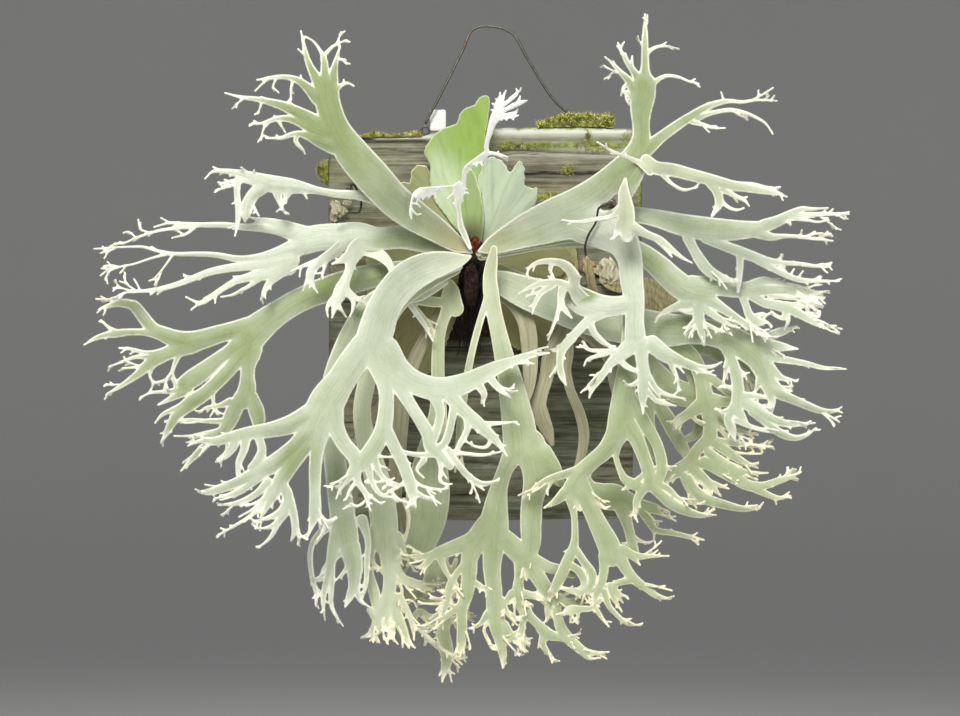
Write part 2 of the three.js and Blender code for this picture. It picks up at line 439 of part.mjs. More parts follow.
352 560 4, 344 572 2.6, 335 581 1.2
326 528 5, 314 540 3.6, 310 556 3.4, 312 576 3.2, 316 592 3, 316 606 1.4
312 578 2.4, 319 596 1.2
362 520 6, 368 540 4, 367 562 3.6, 366 584 3, 362 600 1.2
@ frond_bottom_left 5.2
456 270 5, 432 282 6, 404 300 7, 386 325 8, 374 355 9, 366 385 9, 362 412 9, 366 440 10, 374 468 12, 380 494 14, 384 520 14, 386 545 12
388 556 9, 390 576 7, 388 596 7, 382 610 8, 378 622 6, 371 633 3.6, 361 638 1.2
376 528 7, 371 550 5, 369 572 5, 374 592 6, 377 608 5
394 560 5, 402 576 4, 412 582 4.6, 428 586 4, 440 582 1.6
390 580 4, 387 602 4, 388 622 4.4, 394 641 1.8
394 596 5, 396 612 6, 402 628 5.4, 408 641 3.6, 415 648 1.2
400 596 4, 408 612 3.4, 413 628 3, 414 640 1.2
398 536 5, 402 552 4, 396 564 2.6
396 552 5, 388 566 3.6, 376 568 2, 374 560 1
@ frond_bottom_back 3.6
450 284 5, 451 296 9.5, 447 310 6.4, 440 332 6, 438 356 6.6, 438 384 7, 438 412 9, 434 440 13, 430 468 18, 428 494 22, 426 520 20, 420 545 15
451 297 9.5, 455 308 9
447 302 5, 434 302 5.4, 420 300 5.4, 409 300 4
409 300 4, 415 308 3.6, 423 318 3.6, 430 328 3.8, 433 336 2
428 552 10, 432 570 8, 428 586 7, 418 594 5, 404 596 4, 390 590 1.4
436 560 6, 444 580 5, 448 600 5.4, 446 618 6, 443 632 7, 446 648 7.4, 447 660 6, 444 671 4, 442 682 1.4
440 618 4.4, 428 618 5, 420 612 4.4, 414 620 3.4, 424 634 3.4, 436 645 3.4, 450 655 3, 467 657 1
412 552 7, 404 566 5, 398 580 4, 390 586 1.4
446 600 4, 456 606 3, 466 616 3, 476 616 1.2
@ frond_old_right 2.2
489 290 5, 497 294 6, 507 298 7, 518 307 8, 526 322 8.6, 529 340 8.6, 530 358 8, 530 374 7, 529 390 5, 527 404 2
@ frond_old_centre 1.4
494 286 4, 520 294 5, 545 306 6, 561 318 7.6, 564 330 9, 558 343 8.4, 550 357 8, 546 378 7, 541 394 7, 539 406 7.4, 542 418 8, 548 432 6, 552 444 3
564 330 6, 568 350 6, 566 370 5.4, 571 392 5, 579 411 5.4, 584 432 5.6, 582 452 5, 576 474 4
562 322 5, 580 330 6, 596 340 7, 610 358 7, 616 378 8, 618 398 6, 612 414 4
@ frond_old_left 1.7
453 295 4, 443 310 5, 428 334 6, 412 366 7, 403 400 8, 400 430 8, 397 462 8, 394 492 8, 392 516 9, 391 540 8, 390 560 3
410 380 5, 392 396 5, 376 412 6, 363 430 6, 357 448 4, 355 472 4, 355 498 3.4, 352 522 1.4
398 500 4, 404 520 4, 408 540 3.4, 411 556 1.4
388 500 4, 381 522 3.4, 377 546 2.6, 374 570 1.2
@ frond_right_inner 1.95
500 267 4, 530 281 5, 566 302 6, 602 330 8, 636 352 9, 656 372 10, 672 388 12, 690 396 12, 704 392 8
664 384 8, 660 404 7, 668 420 8, 676 436 7, 684 450 6, 690 462 3
690 400 7, 700 418 6, 696 434 5, 684 440 4
676 360 4, 688 371 4.6, 694 386 4.6, 695 399 4
640 352 6, 668 351 6.5, 690 350 6, 706 350 5.6, 720 358 5.4, 733 370 5, 744 384 4, 750 396 2
704 350 5, 722 350 5, 738 358 5, 750 369 4.8, 759 381 4, 763 394 2.4
650 372 6, 650 400 6, 648 424 7, 654 446 7, 660 462 5
@ frond_low_right_back 2.45
494 280 4, 530 293 5, 568 308 6, 598 324 6, 618 345 6, 626 370 7, 624 396 7.5, 616 424 7.5, 605 450 6.5, 592 463 6, 583 477 8, 589 490 10, 602 496 13, 614 497 13.5, 628 502 10, 642 506 7, 658 510 5, 672 519 1.6
622 508 8, 628 526 5.6, 632 542 5.4, 636 554 4
631 536 4, 640 541 2.6, 650 543 1
630 544 3, 622 543 1.2
640 508 5, 648 520 4.6, 656 530 4, 672 533 3.4, 690 537 3, 704 540 1.4
654 522 3, 662 521 1.2
654 530 3, 654 538 1.4
@ frond_young_inner 4.2
446 283 5, 433 291 5, 420 298 5, 409 302 4, 416 314 4.4, 426 327 4.2, 433 341 1.8
@ frond_young_top 10
470 247 3, 466 236 3.4, 461 220 3.4, 457 207 4.4, 456 197 6.5
459 194 6, 456 188 6.5, 453 184 5
449 191 3.4, 447 187 3, 440 186.5 3, 434 189 5, 428 190 5.4, 421 191 4.6, 415 196 3.6, 412 204 2.6, 410.5 212 2, 410 221 1.2
435 192 4.4, 434 197 2.2, 434 199 1.2
428 193 3.6, 424 197 1.8, 420 198 1.2
418 196 3, 414 202 2.2, 414 208 1.8, 419 213 1.4, 421 213 1
415 203 1.6, 419 202 1.1
450 197 2.2, 447 200 1.1
463 196 5, 463 188 3.6, 462.5 180 3.2, 463.5 173 3.2, 467 167 3.4, 473 162 3.6, 480 158.5 4.6, 486 154 3.6, 488 150 3.2, 487 142 2.8, 488.5 133 3.6, 491.5 124 4.2, 495 116 5, 498 110 5.4
465 186 2.2, 467 189 1.1
458 184 3, 457 180 1.2
480 160 3.6, 484 163 2, 487 162 1.1
477 162 2.6, 478 166 1.2
486 153.5 3, 494 154 2.8, 502 156.5 2.2, 507 158.5 1.2
504 157 2, 508 161 1.2
496 113 4, 492 108 2, 489 110 1
495 109 3, 493 104 1.8, 490.5 103 1
498 108 3.6, 497 101 2.2, 496 98 1.2
499 106 3, 500 98 2.2, 499.5 93 1.1
500 105 3, 503 96 2.2, 506 91 1.1
500 108 4, 507 101 3, 514 94.5 2.8, 520.5 88.5 1.3
516 93 2.2, 515 89 1
502 110 4.4, 510 105 3.4, 517 101 2.8, 526.5 100 1.2
518 101 2.4, 519 97 1.8, 520 96 1
502 113 5, 508 113 4.2, 514 110.5 2.4, 517 110 1.1
508 115 3.4, 514 115 2.4, 518 116 1.2
505 117 3, 508 119 1.4
466 199 3, 468 201 1.6
`;

// ---- shield fronds: outlines on the drawing grid -----------------------------
const SHIELDS = [
  ['shield_old_left', 0, 0x8f8a5c, [[464, 268], [440, 246], [404, 232], [376, 240], [366, 262], [368, 300], [380, 336], [396, 362], [414, 375], [434, 370], [446, 344], [458, 312]]],
  ['shield_old_right', 0, 0x8d8a5a, [[482, 270], [506, 248], [548, 232], [572, 236], [578, 262], [580, 296], [572, 330], [548, 346], [520, 350], [500, 334], [488, 302]]],
  ['shield_inner_left', 1, 0x7d7b57, [[461, 274], [438, 262], [410, 276], [396, 300], [394, 330], [402, 356], [416, 364], [424, 344], [434, 312], [452, 294]]],
  ['shield_inner_right', 1, 0x83804f, [[484, 262], [504, 246], [540, 236], [566, 246], [574, 262], [560, 276], [530, 284], [500, 282]]],
  ['shield_brown_top', 1, 0x8b8f62, [[452, 238], [430, 222], [408, 212], [396, 200], [397, 186], [402, 182], [410, 183], [411, 172], [418, 165], [426, 166], [430, 174], [433, 188], [446, 206], [460, 232]]],
  ['shield_green_top', 2, 0x8fae62, [[462, 236], [446, 216], [434, 200], [430, 182], [430, 166], [424, 152], [433, 136], [444, 128], [456, 124], [460, 114], [466, 108], [474, 105], [479, 98], [486, 95], [490, 99], [489, 114], [486, 132], [484, 152], [487, 178], [486, 206], [480, 238]]],
  ['shield_grey_top', 3, 0xa9bba2, [[473, 236], [470, 214], [474, 192], [480, 172], [486, 159], [494, 157], [502, 161], [507, 168], [511, 171], [520, 160], [525, 170], [525, 184], [531, 188], [537, 188], [536, 204], [526, 220], [508, 234], [492, 241], [480, 243]]],
  ['shield_inner_top', 4, 0x9bb178, [[474, 242], [464, 226], [458, 208], [458, 194], [464, 180], [470, 168], [474, 172], [480, 190], [484, 214], [482, 240]]],
];

// ---- colours ------------------------------------------------------------------
const COLOR = {
  leaf: 0xc3cfb2, leafGreen: 0xaabf85, leafOld: 0xa49a72, leafYoung: 0xe9ebdc,
  wood: 0x7b7468, moss: 0x7f8436, pad: 0x4b3b28, rhizome: 0x2c1d14, steel: 0x55564f, wire: 0x3a3d33, tag: 0xf2f2ee,
};
const OLD = new Set(['frond_old_right', 'frond_old_centre']);
const GREEN = new Set(['frond_upper_left', 'frond_upper_right', 'frond_lower_left']);
const YOUNG = new Set(['frond_young_top', 'frond_young_inner']);

const group = new THREE.Group();
function add(name, geometry, color, roughness = 0.85, metalness = 0) {
  const mesh = new THREE.Mesh(geometry, new THREE.MeshStandardMaterial({ color, roughness, metalness }));
  mesh.name = name;
  group.add(mesh);
  return mesh;
}

// ---- blades ----------------------------------------------------------------------
const SKIP_UNDER = 2.3;   // the finest twigs are left to the surface finish
function parse(text) {
  const fronds = [];
  let frond = null, sheet = null;
  for (const raw of text.split('\n')) {
    const line = raw.trim();
    if (!line || line.startsWith('#')) continue;
    if (line.startsWith('@')) {
      const [, name, from, to = from, reach = 1] = line.split(/\s+/);
      sheet = { from: +from, to: +to, reach: +reach, strokes: [], gaps: [] };
      frond = { name, sheets: [sheet] };
      fronds.push(frond);
    } else if (line.startsWith('+')) {
      const [, from, to, reach] = line.split(/\s+/);
      sheet = { from: +from, to: +to, reach: +reach, strokes: [], gaps: [] };
      frond.sheets.push(sheet);
    } else {
      const gap = line.startsWith('-');
      const pts = (gap ? line.slice(1) : line).split(',').map((p) => p.trim().split(/\s+/).map(Number));
      if (gap) sheet.gaps.push(pts);
      else if (Math.max(...pts.map((p) => p[2])) >= SKIP_UNDER) sheet.strokes.push(pts);
    }
  }
  return fronds;
}
function curve(pts, n = 3) {
  const out = [];
  const at = (i) => {
    if (i < 0) return pts[0].map((v, k) => 2 * v - pts[1][k]);
    if (i >= pts.length) return pts[pts.length - 1].map((v, k) => 2 * v - pts[pts.length - 2][k]);
    return pts[i];
  };
  for (let i = 0; i + 1 < pts.length; i++) {
    const [a, b, c, d] = [at(i - 1), at(i), at(i + 1), at(i + 2)];
    for (let s = 0; s < n; s++) {
      const t = s / n;
      out.push(b.map((_, k) => 0.5 * (2 * b[k] + (c[k] - a[k]) * t + (2 * a[k] - 5 * b[k] + 4 * c[k] - d[k]) * t * t + (3 * b[k] - a[k] - 3 * c[k] + d[k]) * t * t * t)));
    }
  }
  out.push(pts[pts.length - 1].slice());
  for (const p of out) p[2] = Math.max(p[2], 1.5);
  return out;
}
function strokeField(pts, x, y, best) {
  for (let i = 0; i + 1 < pts.length; i++) {
    const [ax, ay, ar] = pts[i], [bx, by, br] = pts[i + 1];
    const dx = bx - ax, dy = by - ay;
    const t = Math.min(1, Math.max(0, ((x - ax) * dx + (y - ay) * dy) / (dx * dx + dy * dy + 1e-9)));
    const d = Math.hypot(x - ax - t * dx, y - ay - t * dy) - (ar + (br - ar) * t);
    if (d < best) best = d;
  }
  return best;
}
// Outline of a blade: the smooth union of its tapered branches, traced on a grid.
const STEP = 1.6, BLEND = 2.5, TOL = 1.25, MAX_EDGE = 34, MAX_EDGE_NEAR_BUD = 11;
function bladeLoops(sheet) {
  const strokes = sheet.strokes.map((s) => curve(s)), gaps = sheet.gaps.map((s) => curve(s));
  let x0 = 1e9, y0 = 1e9, x1 = -1e9, y1 = -1e9;
  for (const s of strokes) for (const [x, y, r] of s) { x0 = Math.min(x0, x - r - 4); y0 = Math.min(y0, y - r - 4); x1 = Math.max(x1, x + r + 4); y1 = Math.max(y1, y + r + 4); }
  const nx = Math.ceil((x1 - x0) / STEP) + 1, ny = Math.ceil((y1 - y0) / STEP) + 1;
  const f = new Float64Array(nx * ny).fill(50);
  const sweep = (pts, join) => {
    let a = 1e9, b = 1e9, c = -1e9, d = -1e9;
    for (const [x, y, r] of pts) { a = Math.min(a, x - r - 6); b = Math.min(b, y - r - 6); c = Math.max(c, x + r + 6); d = Math.max(d, y + r + 6); }
    const i0 = Math.max(0, Math.floor((a - x0) / STEP)), i1 = Math.min(nx - 1, Math.ceil((c - x0) / STEP));
    const j0 = Math.max(0, Math.floor((b - y0) / STEP)), j1 = Math.min(ny - 1, Math.ceil((d - y0) / STEP));
    for (let j = j0; j <= j1; j++) for (let i = i0; i <= i1; i++) {
      const v = strokeField(pts, x0 + i * STEP, y0 + j * STEP, 50);
      f[j * nx + i] = join(f[j * nx + i], v);
    }
  };
  for (const s of strokes) sweep(s, (u, v) => { const h = Math.min(1, Math.max(0, 0.5 + 0.5 * (u - v) / BLEND)); return u * (1 - h) + v * h - BLEND * h * (1 - h); });
  for (const s of gaps) sweep(s, (u, v) => Math.max(u, -v));
  // marching squares, with the inside on the left of each step
  const links = new Map(), points = new Map();
  const cut = (i, j, k, l) => {
    const key = `${i},${j},${k},${l}`;
    if (!points.has(key)) {
      const u = f[j * nx + i], v = f[l * nx + k], t = Math.min(0.97, Math.max(0.03, u / (u - v)));
      points.set(key, [x0 + (i + (k - i) * t) * STEP, y0 + (j + (l - j) * t) * STEP]);
    }
    return key;
  };
  for (let j = 0; j + 1 < ny; j++) for (let i = 0; i + 1 < nx; i++) {
    const in00 = f[j * nx + i] < 0, in10 = f[j * nx + i + 1] < 0, in11 = f[(j + 1) * nx + i + 1] < 0, in01 = f[(j + 1) * nx + i] < 0;
    const code = (in00 ? 1 : 0) | (in10 ? 2 : 0) | (in11 ? 4 : 0) | (in01 ? 8 : 0);
    if (code === 0 || code === 15) continue;
    const B = () => cut(i, j, i + 1, j), R = () => cut(i + 1, j, i + 1, j + 1), T = () => cut(i, j + 1, i + 1, j + 1), L = () => cut(i, j, i, j + 1);
    const seg = { 1: [[L, B]], 2: [[B, R]], 3: [[L, R]], 4: [[R, T]], 5: [[L, B], [R, T]], 6: [[B, T]], 7: [[L, T]], 8: [[T, L]], 9: [[T, B]], 10: [[B, R], [T, L]], 11: [[T, R]], 12: [[R, L]], 13: [[R, B]], 14: [[B, L]] }[code];
    for (const [p, q] of seg) links.set(p(), q());
  }
  const loops = [];
  const used = new Set();
  for (const start of links.keys()) {
    if (used.has(start)) continue;
    const loop = [];
    let k = start;
    while (k !== undefined && !used.has(k)) { used.add(k); loop.push(points.get(k)); k = links.get(k); }
    if (loop.length > 8) loops.push(loop);
  }
  return loops;
}
function areaOf(loop) { let a = 0; for (let i = 0; i < loop.length; i++) { const [x, y] = loop[i], [u, v] = loop[(i + 1) % loop.length]; a += x * v - u * y; } return a / 2; }
function simplify(loop, tol) {
  // split the closed loop at its two farthest points, then thin each half
  let far = 0, best = -1;
  for (let i = 0; i < loop.length; i++) { const d = Math.hypot(loop[i][0] - loop[0][0], loop[i][1] - loop[0][1]); if (d > best) { best = d; far = i; } }
  const thin = (pts) => {
    const keep = new Array(pts.length).fill(false); keep[0] = keep[pts.length - 1] = true;
    const stack = [[0, pts.length - 1]];
    while (stack.length) {
      const [a, b] = stack.pop(); let w = 0, m = -1;
      const [ax, ay] = pts[a], [bx, by] = pts[b]; const L = Math.hypot(bx - ax, by - ay) + 1e-9;
      for (let i = a + 1; i < b; i++) { const d = Math.abs((bx - ax) * (pts[i][1] - ay) - (by - ay) * (pts[i][0] - ax)) / L; if (d > w) { w = d; m = i; } }
      const near = Math.hypot((ax + bx) / 2 - BUD[0], (ay + by) / 2 - BUD[1]) < 62;
      if (m > 0 && (w > tol || L > (near ? MAX_EDGE_NEAR_BUD : MAX_EDGE))) { if (w <= tol) m = (a + b) >> 1; if (m > a && m < b) { keep[m] = true; stack.push([a, m], [m, b]); } }
    }
    return pts.filter((_, i) => keep[i]);
  };
  const a = thin(loop.slice(0, far + 1)), b = thin(loop.slice(far).concat([loop[0]]));
  return a.slice(0, -1).concat(b.slice(0, -1));
}
function bladeGeometry(loops, depthAt, thickness) {
  const big = loops.map((l) => simplify(l, TOL)).filter((l) => l.length > 3 && Math.abs(areaOf(l)) > 14).sort((p, q) => Math.abs(areaOf(q)) - Math.abs(areaOf(p)));
  const sign = Math.sign(areaOf(big[0]));
  const shape = new THREE.Shape(big[0].map(([x, y]) => new THREE.Vector2(x, -y)));
  for (const l of big.slice(1)) if (Math.sign(areaOf(l)) !== sign) shape.holes.push(new THREE.Path(l.map(([x, y]) => new THREE.Vector2(x, -y))));
  const g = new THREE.ExtrudeGeometry(shape, { depth: 1, bevelEnabled: false, steps: 1 });
  const p = g.attributes.position;
  for (let i = 0; i < p.count; i++) {
    const x = p.getX(i), y = -p.getY(i), z = p.getZ(i);
    const v = place(x, y, depthAt(x, y) + (z - 0.5) * thickness);
    p.setXYZ(i, v.x, v.y, v.z);
  }
  return clean(g);
}
function clean(g) {
  for (const name of Object.keys(g.attributes)) if (name !== 'position') g.deleteAttribute(name);
  const m = mergeVertices(g, 1e-5);
  const index = Array.from(m.index.array), keep = [];
  for (let i = 0; i < index.length; i += 3) { const [a, b, c] = [index[i], index[i + 1], index[i + 2]]; if (a !== b && b !== c && a !== c) keep.push(a, b, c); }
  m.setIndex(keep);
  // make the faces point out
  const P = m.attributes.position; let vol = 0;
  const a = new THREE.Vector3(), b = new THREE.Vector3(), c = new THREE.Vector3();
  for (let i = 0; i < keep.length; i += 3) { a.fromBufferAttribute(P, keep[i]); b.fromBufferAttribute(P, keep[i + 1]); c.fromBufferAttribute(P, keep[i + 2]); vol += a.dot(b.cross(c)); }
  if (vol < 0) for (let i = 0; i < keep.length; i += 3) { const t = keep[i + 1]; keep[i + 1] = keep[i + 2]; keep[i + 2] = t; }
  m.setIndex(keep);
  m.computeVertexNormals();
  return m;
}
// A plate or dome whose outline is seen whole from its middle: rings of points
// from the middle to the outline, on a front and a back surface.
function plate(ring, rings, front, back) {
  let cx = 0, cy = 0;
  for (const [x, y] of ring) { cx += x / ring.length; cy += y / ring.length; }
  const N = ring.length, layerSize = 1 + rings * N, pos = [], idx = [];
  for (const depth of [front, back]) {
    pos.push(place(cx, cy, depth(cx, cy)));
    for (let r = 1; r <= rings; r++) for (const [x, y] of ring) {
      const px = cx + ((x - cx) * r) / rings, py = cy + ((y - cy) * r) / rings;
      pos.push(place(px, py, depth(px, py)));
    }
  }
  const id = (side, r, i) => side * layerSize + (r ? 1 + (r - 1) * N + (i % N) : 0);
  for (let side = 0; side < 2; side++) for (let i = 0; i < N; i++) {
    const face = (a, b, c) => (side ? idx.push(a, c, b) : idx.push(a, b, c));
    face(id(side, 0, 0), id(side, 1, i), id(side, 1, i + 1));
    for (let r = 1; r < rings; r++) { face(id(side, r, i), id(side, r + 1, i), id(side, r, i + 1)); face(id(side, r, i + 1), id(side, r + 1, i), id(side, r + 1, i + 1)); }
  }
  for (let i = 0; i < N; i++) idx.push(id(0, rings, i), id(1, rings, i), id(0, rings, i + 1), id(0, rings, i + 1), id(1, rings, i), id(1, rings, i + 1));
  const g = new THREE.BufferGeometry(), flat = idx.flatMap((i) => pos[i].toArray());
  g.setAttribute('position', new THREE.Float32BufferAttribute(flat, 3));
  return clean(g);
}
const wasm = await Module();
wasm.setup();
function toSolid(g) {
  return new wasm.Manifold(new wasm.Mesh({ numProp: 3, vertProperties: new Float32Array(g.attributes.position.array), triVerts: new Uint32Array(g.index.array) }));
}
function fromSolid(s) {
  const mesh = s.getMesh();
  const g = new THREE.BufferGeometry();
  const n = mesh.numProp, v = mesh.vertProperties, pos = new Float32Array((v.length / n) * 3);
  for (let i = 0; i < v.length / n; i++) { pos[3 * i] = v[n * i]; pos[3 * i + 1] = v[n * i + 1]; pos[3 * i + 2] = v[n * i + 2]; }
  g.setAttribute('position', new THREE.BufferAttribute(pos, 3));
  g.setIndex(Array.from(mesh.triVerts));
  g.computeVertexNormals();
  return g;
}
for (const frond of parse(MIDRIBS)) {
  let solid = null, geometry = null;
  frond.sheets.forEach((sheet, n) => {
    const [rx, ry] = sheet.strokes[0][0];
    const order = (x, y) => sheet.from + (sheet.to - sheet.from) * smooth01(Math.hypot(x - rx, y - ry) / sheet.reach);
    const g = bladeGeometry(bladeLoops(sheet), (x, y) => archDepth(order(x, y), x, y) + (n ? 0.5 : 0), LEAF_T);
    if (frond.sheets.length === 1) geometry = g;
    else solid = solid ? solid.add(toSolid(g)) : toSolid(g);
  });
  if (solid) {
    const pieces = solid.decompose().sort((p, q) => q.volume() - p.volume());
    if (pieces.length > 1) console.error(frond.name, 'is in', pieces.length, 'pieces');
    geometry = fromSolid(pieces[0]);
  }
  const color = OLD.has(frond.name) ? COLOR.leafOld : YOUNG.has(frond.name) ? COLOR.leafYoung : GREEN.has(frond.name) ? COLOR.leafGreen : COLOR.leaf;
  add(frond.name, geometry, color, 0.9);
}
for (const [name, layer, color, outline] of SHIELDS) {
  const ring = new THREE.CatmullRomCurve3(outline.map(([x, y]) => new THREE.Vector3(x, y, 0)), true, 'catmullrom', 0.35).getPoints(Math.round(outline.length * 1.6));
  ring.pop();
  add(name, plate(ring.map((v) => [v.x, v.y]), layer < 2 ? 4 : 3, (x, y) => shieldDepth(layer, x, y) + SHIELD_T / 2, (x, y) => shieldDepth(layer, x, y) - SHIELD_T / 2), color, 0.9);
}

// ---- plaque -----------------------------------------------------------------------
{
  const hw = BOARD_W / 2, hh = BOARD_H / 2;
  // old wood: the long edges run nearly straight, the ends are a little uneven
  const outline = [
    [-hw, -hh + 3], [-hw + 2, -hh], [-60, -hh + 0.8], [0, -hh], [62, -hh + 1.2], [hw - 9, -hh + 1], [hw - 7, -hh + 60],
    [hw - 3, -40], [hw - 1, 40], [hw, 110], [hw - 1, hh - 12], [hw - 6, hh - 2], [80, hh], [10, hh - 1.2], [-36, hh - 3], [-50, hh - 8], [-112, hh - 9], [-hw + 2, hh - 11], [-hw, hh - 20], [-hw + 1, 20],
  ];
  const shape = new THREE.Shape(outline.map(([x, z]) => new THREE.Vector2(x, z)));
  const g = new THREE.ExtrudeGeometry(shape, { depth: BOARD_T - BOARD_ROUND, bevelEnabled: false, steps: 1 });
  // the front face is drawn in by the broken edge
  const p = g.attributes.position;
  for (let i = 0; i < p.count; i++) { const x = p.getX(i), z = p.getY(i), d = p.getZ(i) > 1 ? BOARD_T : 0; p.setXYZ(i, x, -d, z); }
  add('board', clean(g), COLOR.wood, 0.9);
}

// ---- moss and root pad, rhizome ------------------------------------------------------
{
  // a low dome over the plaque's face, under the shield fronds
  const ring = [];
  for (let i = 0; i < 28; i++) {
    const a = (i / 28) * 2 * Math.PI, wob = 1.12 * (1 + 0.05 * Math.sin(3 * a + 1) + 0.03 * Math.sin(7 * a));
    ring.push([472 + 78 * wob * Math.cos(a), 270 + 64 * wob * Math.sin(a)]);
  }
  add('moss_pad', plate(ring, 5, (x, y) => 0.9 + MOUND_H * padBump(x, y), () => 0.35), COLOR.pad, 1);
}
{
  // the short creeping stem that carries every frond, standing out of the pad
  const g = new THREE.SphereGeometry(1, 16, 12);
  const c = place(471, 284, 48);
  g.applyMatrix4(new THREE.Matrix4().makeScale(5.6, 19.5, 16.5));
  g.translate(c.x, c.y - 1.5, c.z);
  add('rhizome', clean(g), COLOR.rhizome, 1);
}

// ---- moss tufts on the plaque's edges ---------------------------------------------
function tuft(name, outline, y0, y1) {
  const shape = new THREE.Shape(outline.map(([x, z]) => new THREE.Vector2(x, z)));
  const g = new THREE.ExtrudeGeometry(shape, { depth: y1 - y0, bevelEnabled: false, steps: 1 });
  const p = g.attributes.position;
  for (let i = 0; i < p.count; i++) p.setXYZ(i, p.getX(i), y0 + p.getZ(i), p.getY(i));
  add(name, clean(g), COLOR.moss, 1);
}
const TOP = BOARD_H / 2;
tuft('moss_top_right', [[42, TOP + 0.4], [103, TOP + 0.4], [102, TOP + 9], [92, TOP + 13], [80, TOP + 15], [66, TOP + 13], [54, TOP + 9], [44, TOP + 6]], -24, -16.4);
tuft('moss_top_left', [[-112, TOP - 8.4], [-51, TOP - 7.4], [-50, TOP - 1], [-58, TOP + 0.5], [-70, TOP - 1], [-84, TOP], [-98, TOP - 2], [-111, TOP - 3]], -24, -16.4);
tuft('moss_left_edge', [[-BOARD_W / 2 - 0.4, 112], [-BOARD_W / 2 - 0.4, 130], [-BOARD_W / 2 - 5, 132], [-BOARD_W / 2 - 11, 128], [-BOARD_W / 2 - 12, 120], [-BOARD_W / 2 - 7, 113]], -23, -6);

// ---- wires, nails, eyes ---------------------------------------------------------------
function tube(points, diameter, steps) {
  const s = new THREE.Shape();
  for (let i = 0; i < 8; i++) { const a = (i / 8) * 2 * Math.PI; const q = [Math.cos(a) * diameter / 2, Math.sin(a) * diameter / 2]; if (i) s.lineTo(...q); else s.moveTo(...q); }
  s.closePath();
  return clean(new THREE.ExtrudeGeometry(s, { steps, bevelEnabled: false, extrudePath: new THREE.CatmullRomCurve3(points, false, 'centripetal') }));
}
const HOOK_Z = TOP + 82;
const EYE_XL = -48, EYE_XR = 68;
add('hanger_wire', tube([
  new THREE.Vector3(EYE_XL, -12.5, TOP + 3.2), new THREE.Vector3(-36, -12.5, TOP + 26), new THREE.Vector3(-18, -11, TOP + 62), new THREE.Vector3(-10, -9, HOOK_Z - 3), new THREE.Vector3(4, -8, HOOK_Z),
  new THREE.Vector3(22, -9, HOOK_Z - 6), new THREE.Vector3(34, -11, TOP + 56), new THREE.Vector3(54, -12.5, TOP + 24), new THREE.Vector3(EYE_XR, -12.5, TOP + 10.2)], HANGER_D, 26), COLOR.steel, 0.5, 0.7);
for (const [name, x, z] of [['screw_eye_left', EYE_XL, TOP - 2.4], ['screw_eye_right', EYE_XR, TOP + 4.6]]) {
  // the eye of a screw eye; its shank is inside the wood
  const g = new THREE.TorusGeometry(3.2, 0.85, 8, 12);
  g.rotateX(Math.PI / 2);
  g.translate(x, -12.5, z);
  add(name, clean(g), COLOR.steel, 0.45, 0.8);
}
function nail(name, px, py) {
  const prof = [[0, 0], [NAIL_D / 2, 0], [NAIL_D / 2, 2.2], [NAIL_HEAD_D / 2, 2.2], [NAIL_HEAD_D / 2, 3.2], [0, 3.6]].map(([r, h]) => new THREE.Vector2(r, h));
  const g = new THREE.LatheGeometry(prof, 12);
  g.rotateX(Math.PI);           // the head looks forward
  const q = place(px, py, 0);
  g.rotateX(Math.PI / 2);
  g.translate(q.x, -BOARD_T - 0.35, q.z);
  g.computeBoundingBox();
  if (g.boundingBox.max.y > -BOARD_T) g.applyMatrix4(new THREE.Matrix4().makeTranslation(0, -BOARD_T - 0.35 - g.boundingBox.max.y, 0));
  add(name, clean(g), COLOR.steel, 0.5, 0.7);
}
nail('nail_right', 612, 203);
nail('nail_left', 350, 190);
const at = (x, y, d) => place(x, y, d);
add('tie_wire_right', tube([at(612, 203, 5.2), at(611, 203, 40), at(609, 203.5, 90), at(606, 205, archDepth(10.5, 606, 205)), at(599, 208, archDepth(10.5, 599, 208)), at(596, 222, archDepth(10.35, 596, 222)), at(588, 236, archDepth(10.4, 588, 236)), at(585, 247, archDepth(10.2, 585, 247)), at(585.5, 253, archDepth(9.4, 585, 253)), at(586, 255, 80), at(586, 255, 40)], WIRE_D, 30), COLOR.wire, 0.5, 0.6);
add('tie_wire_left', tube([at(350, 190, 5.2), at(351, 186.5, 30), at(352, 184.8, 78), at(355, 186, 99), at(361, 200, 104), at(359, 212, archDepth(6.7, 359, 212)), at(348, 213, archDepth(6.8, 348, 213)), at(336, 223, archDepth(6.6, 336, 223))], WIRE_D, 24), COLOR.wire, 0.5, 0.6);

// ---- dead stalks and the plant tag -------------------------------------------------------
add('dead_stipe_right', tube([at(586.5, 258, 34), at(589, 270, 38), at(592, 284, 41), at(595, 300, 43)], 4.2, 5), COLOR.leafOld, 1);
{
  const g = new THREE.BoxGeometry(13, 0.8, 17);
  g.rotateZ(0.1);
  g.translate(-38, -6, TOP + 6.4);
  add('plant_tag', clean(g), COLOR.tag, 0.4);
}

export default group;
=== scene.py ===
import math

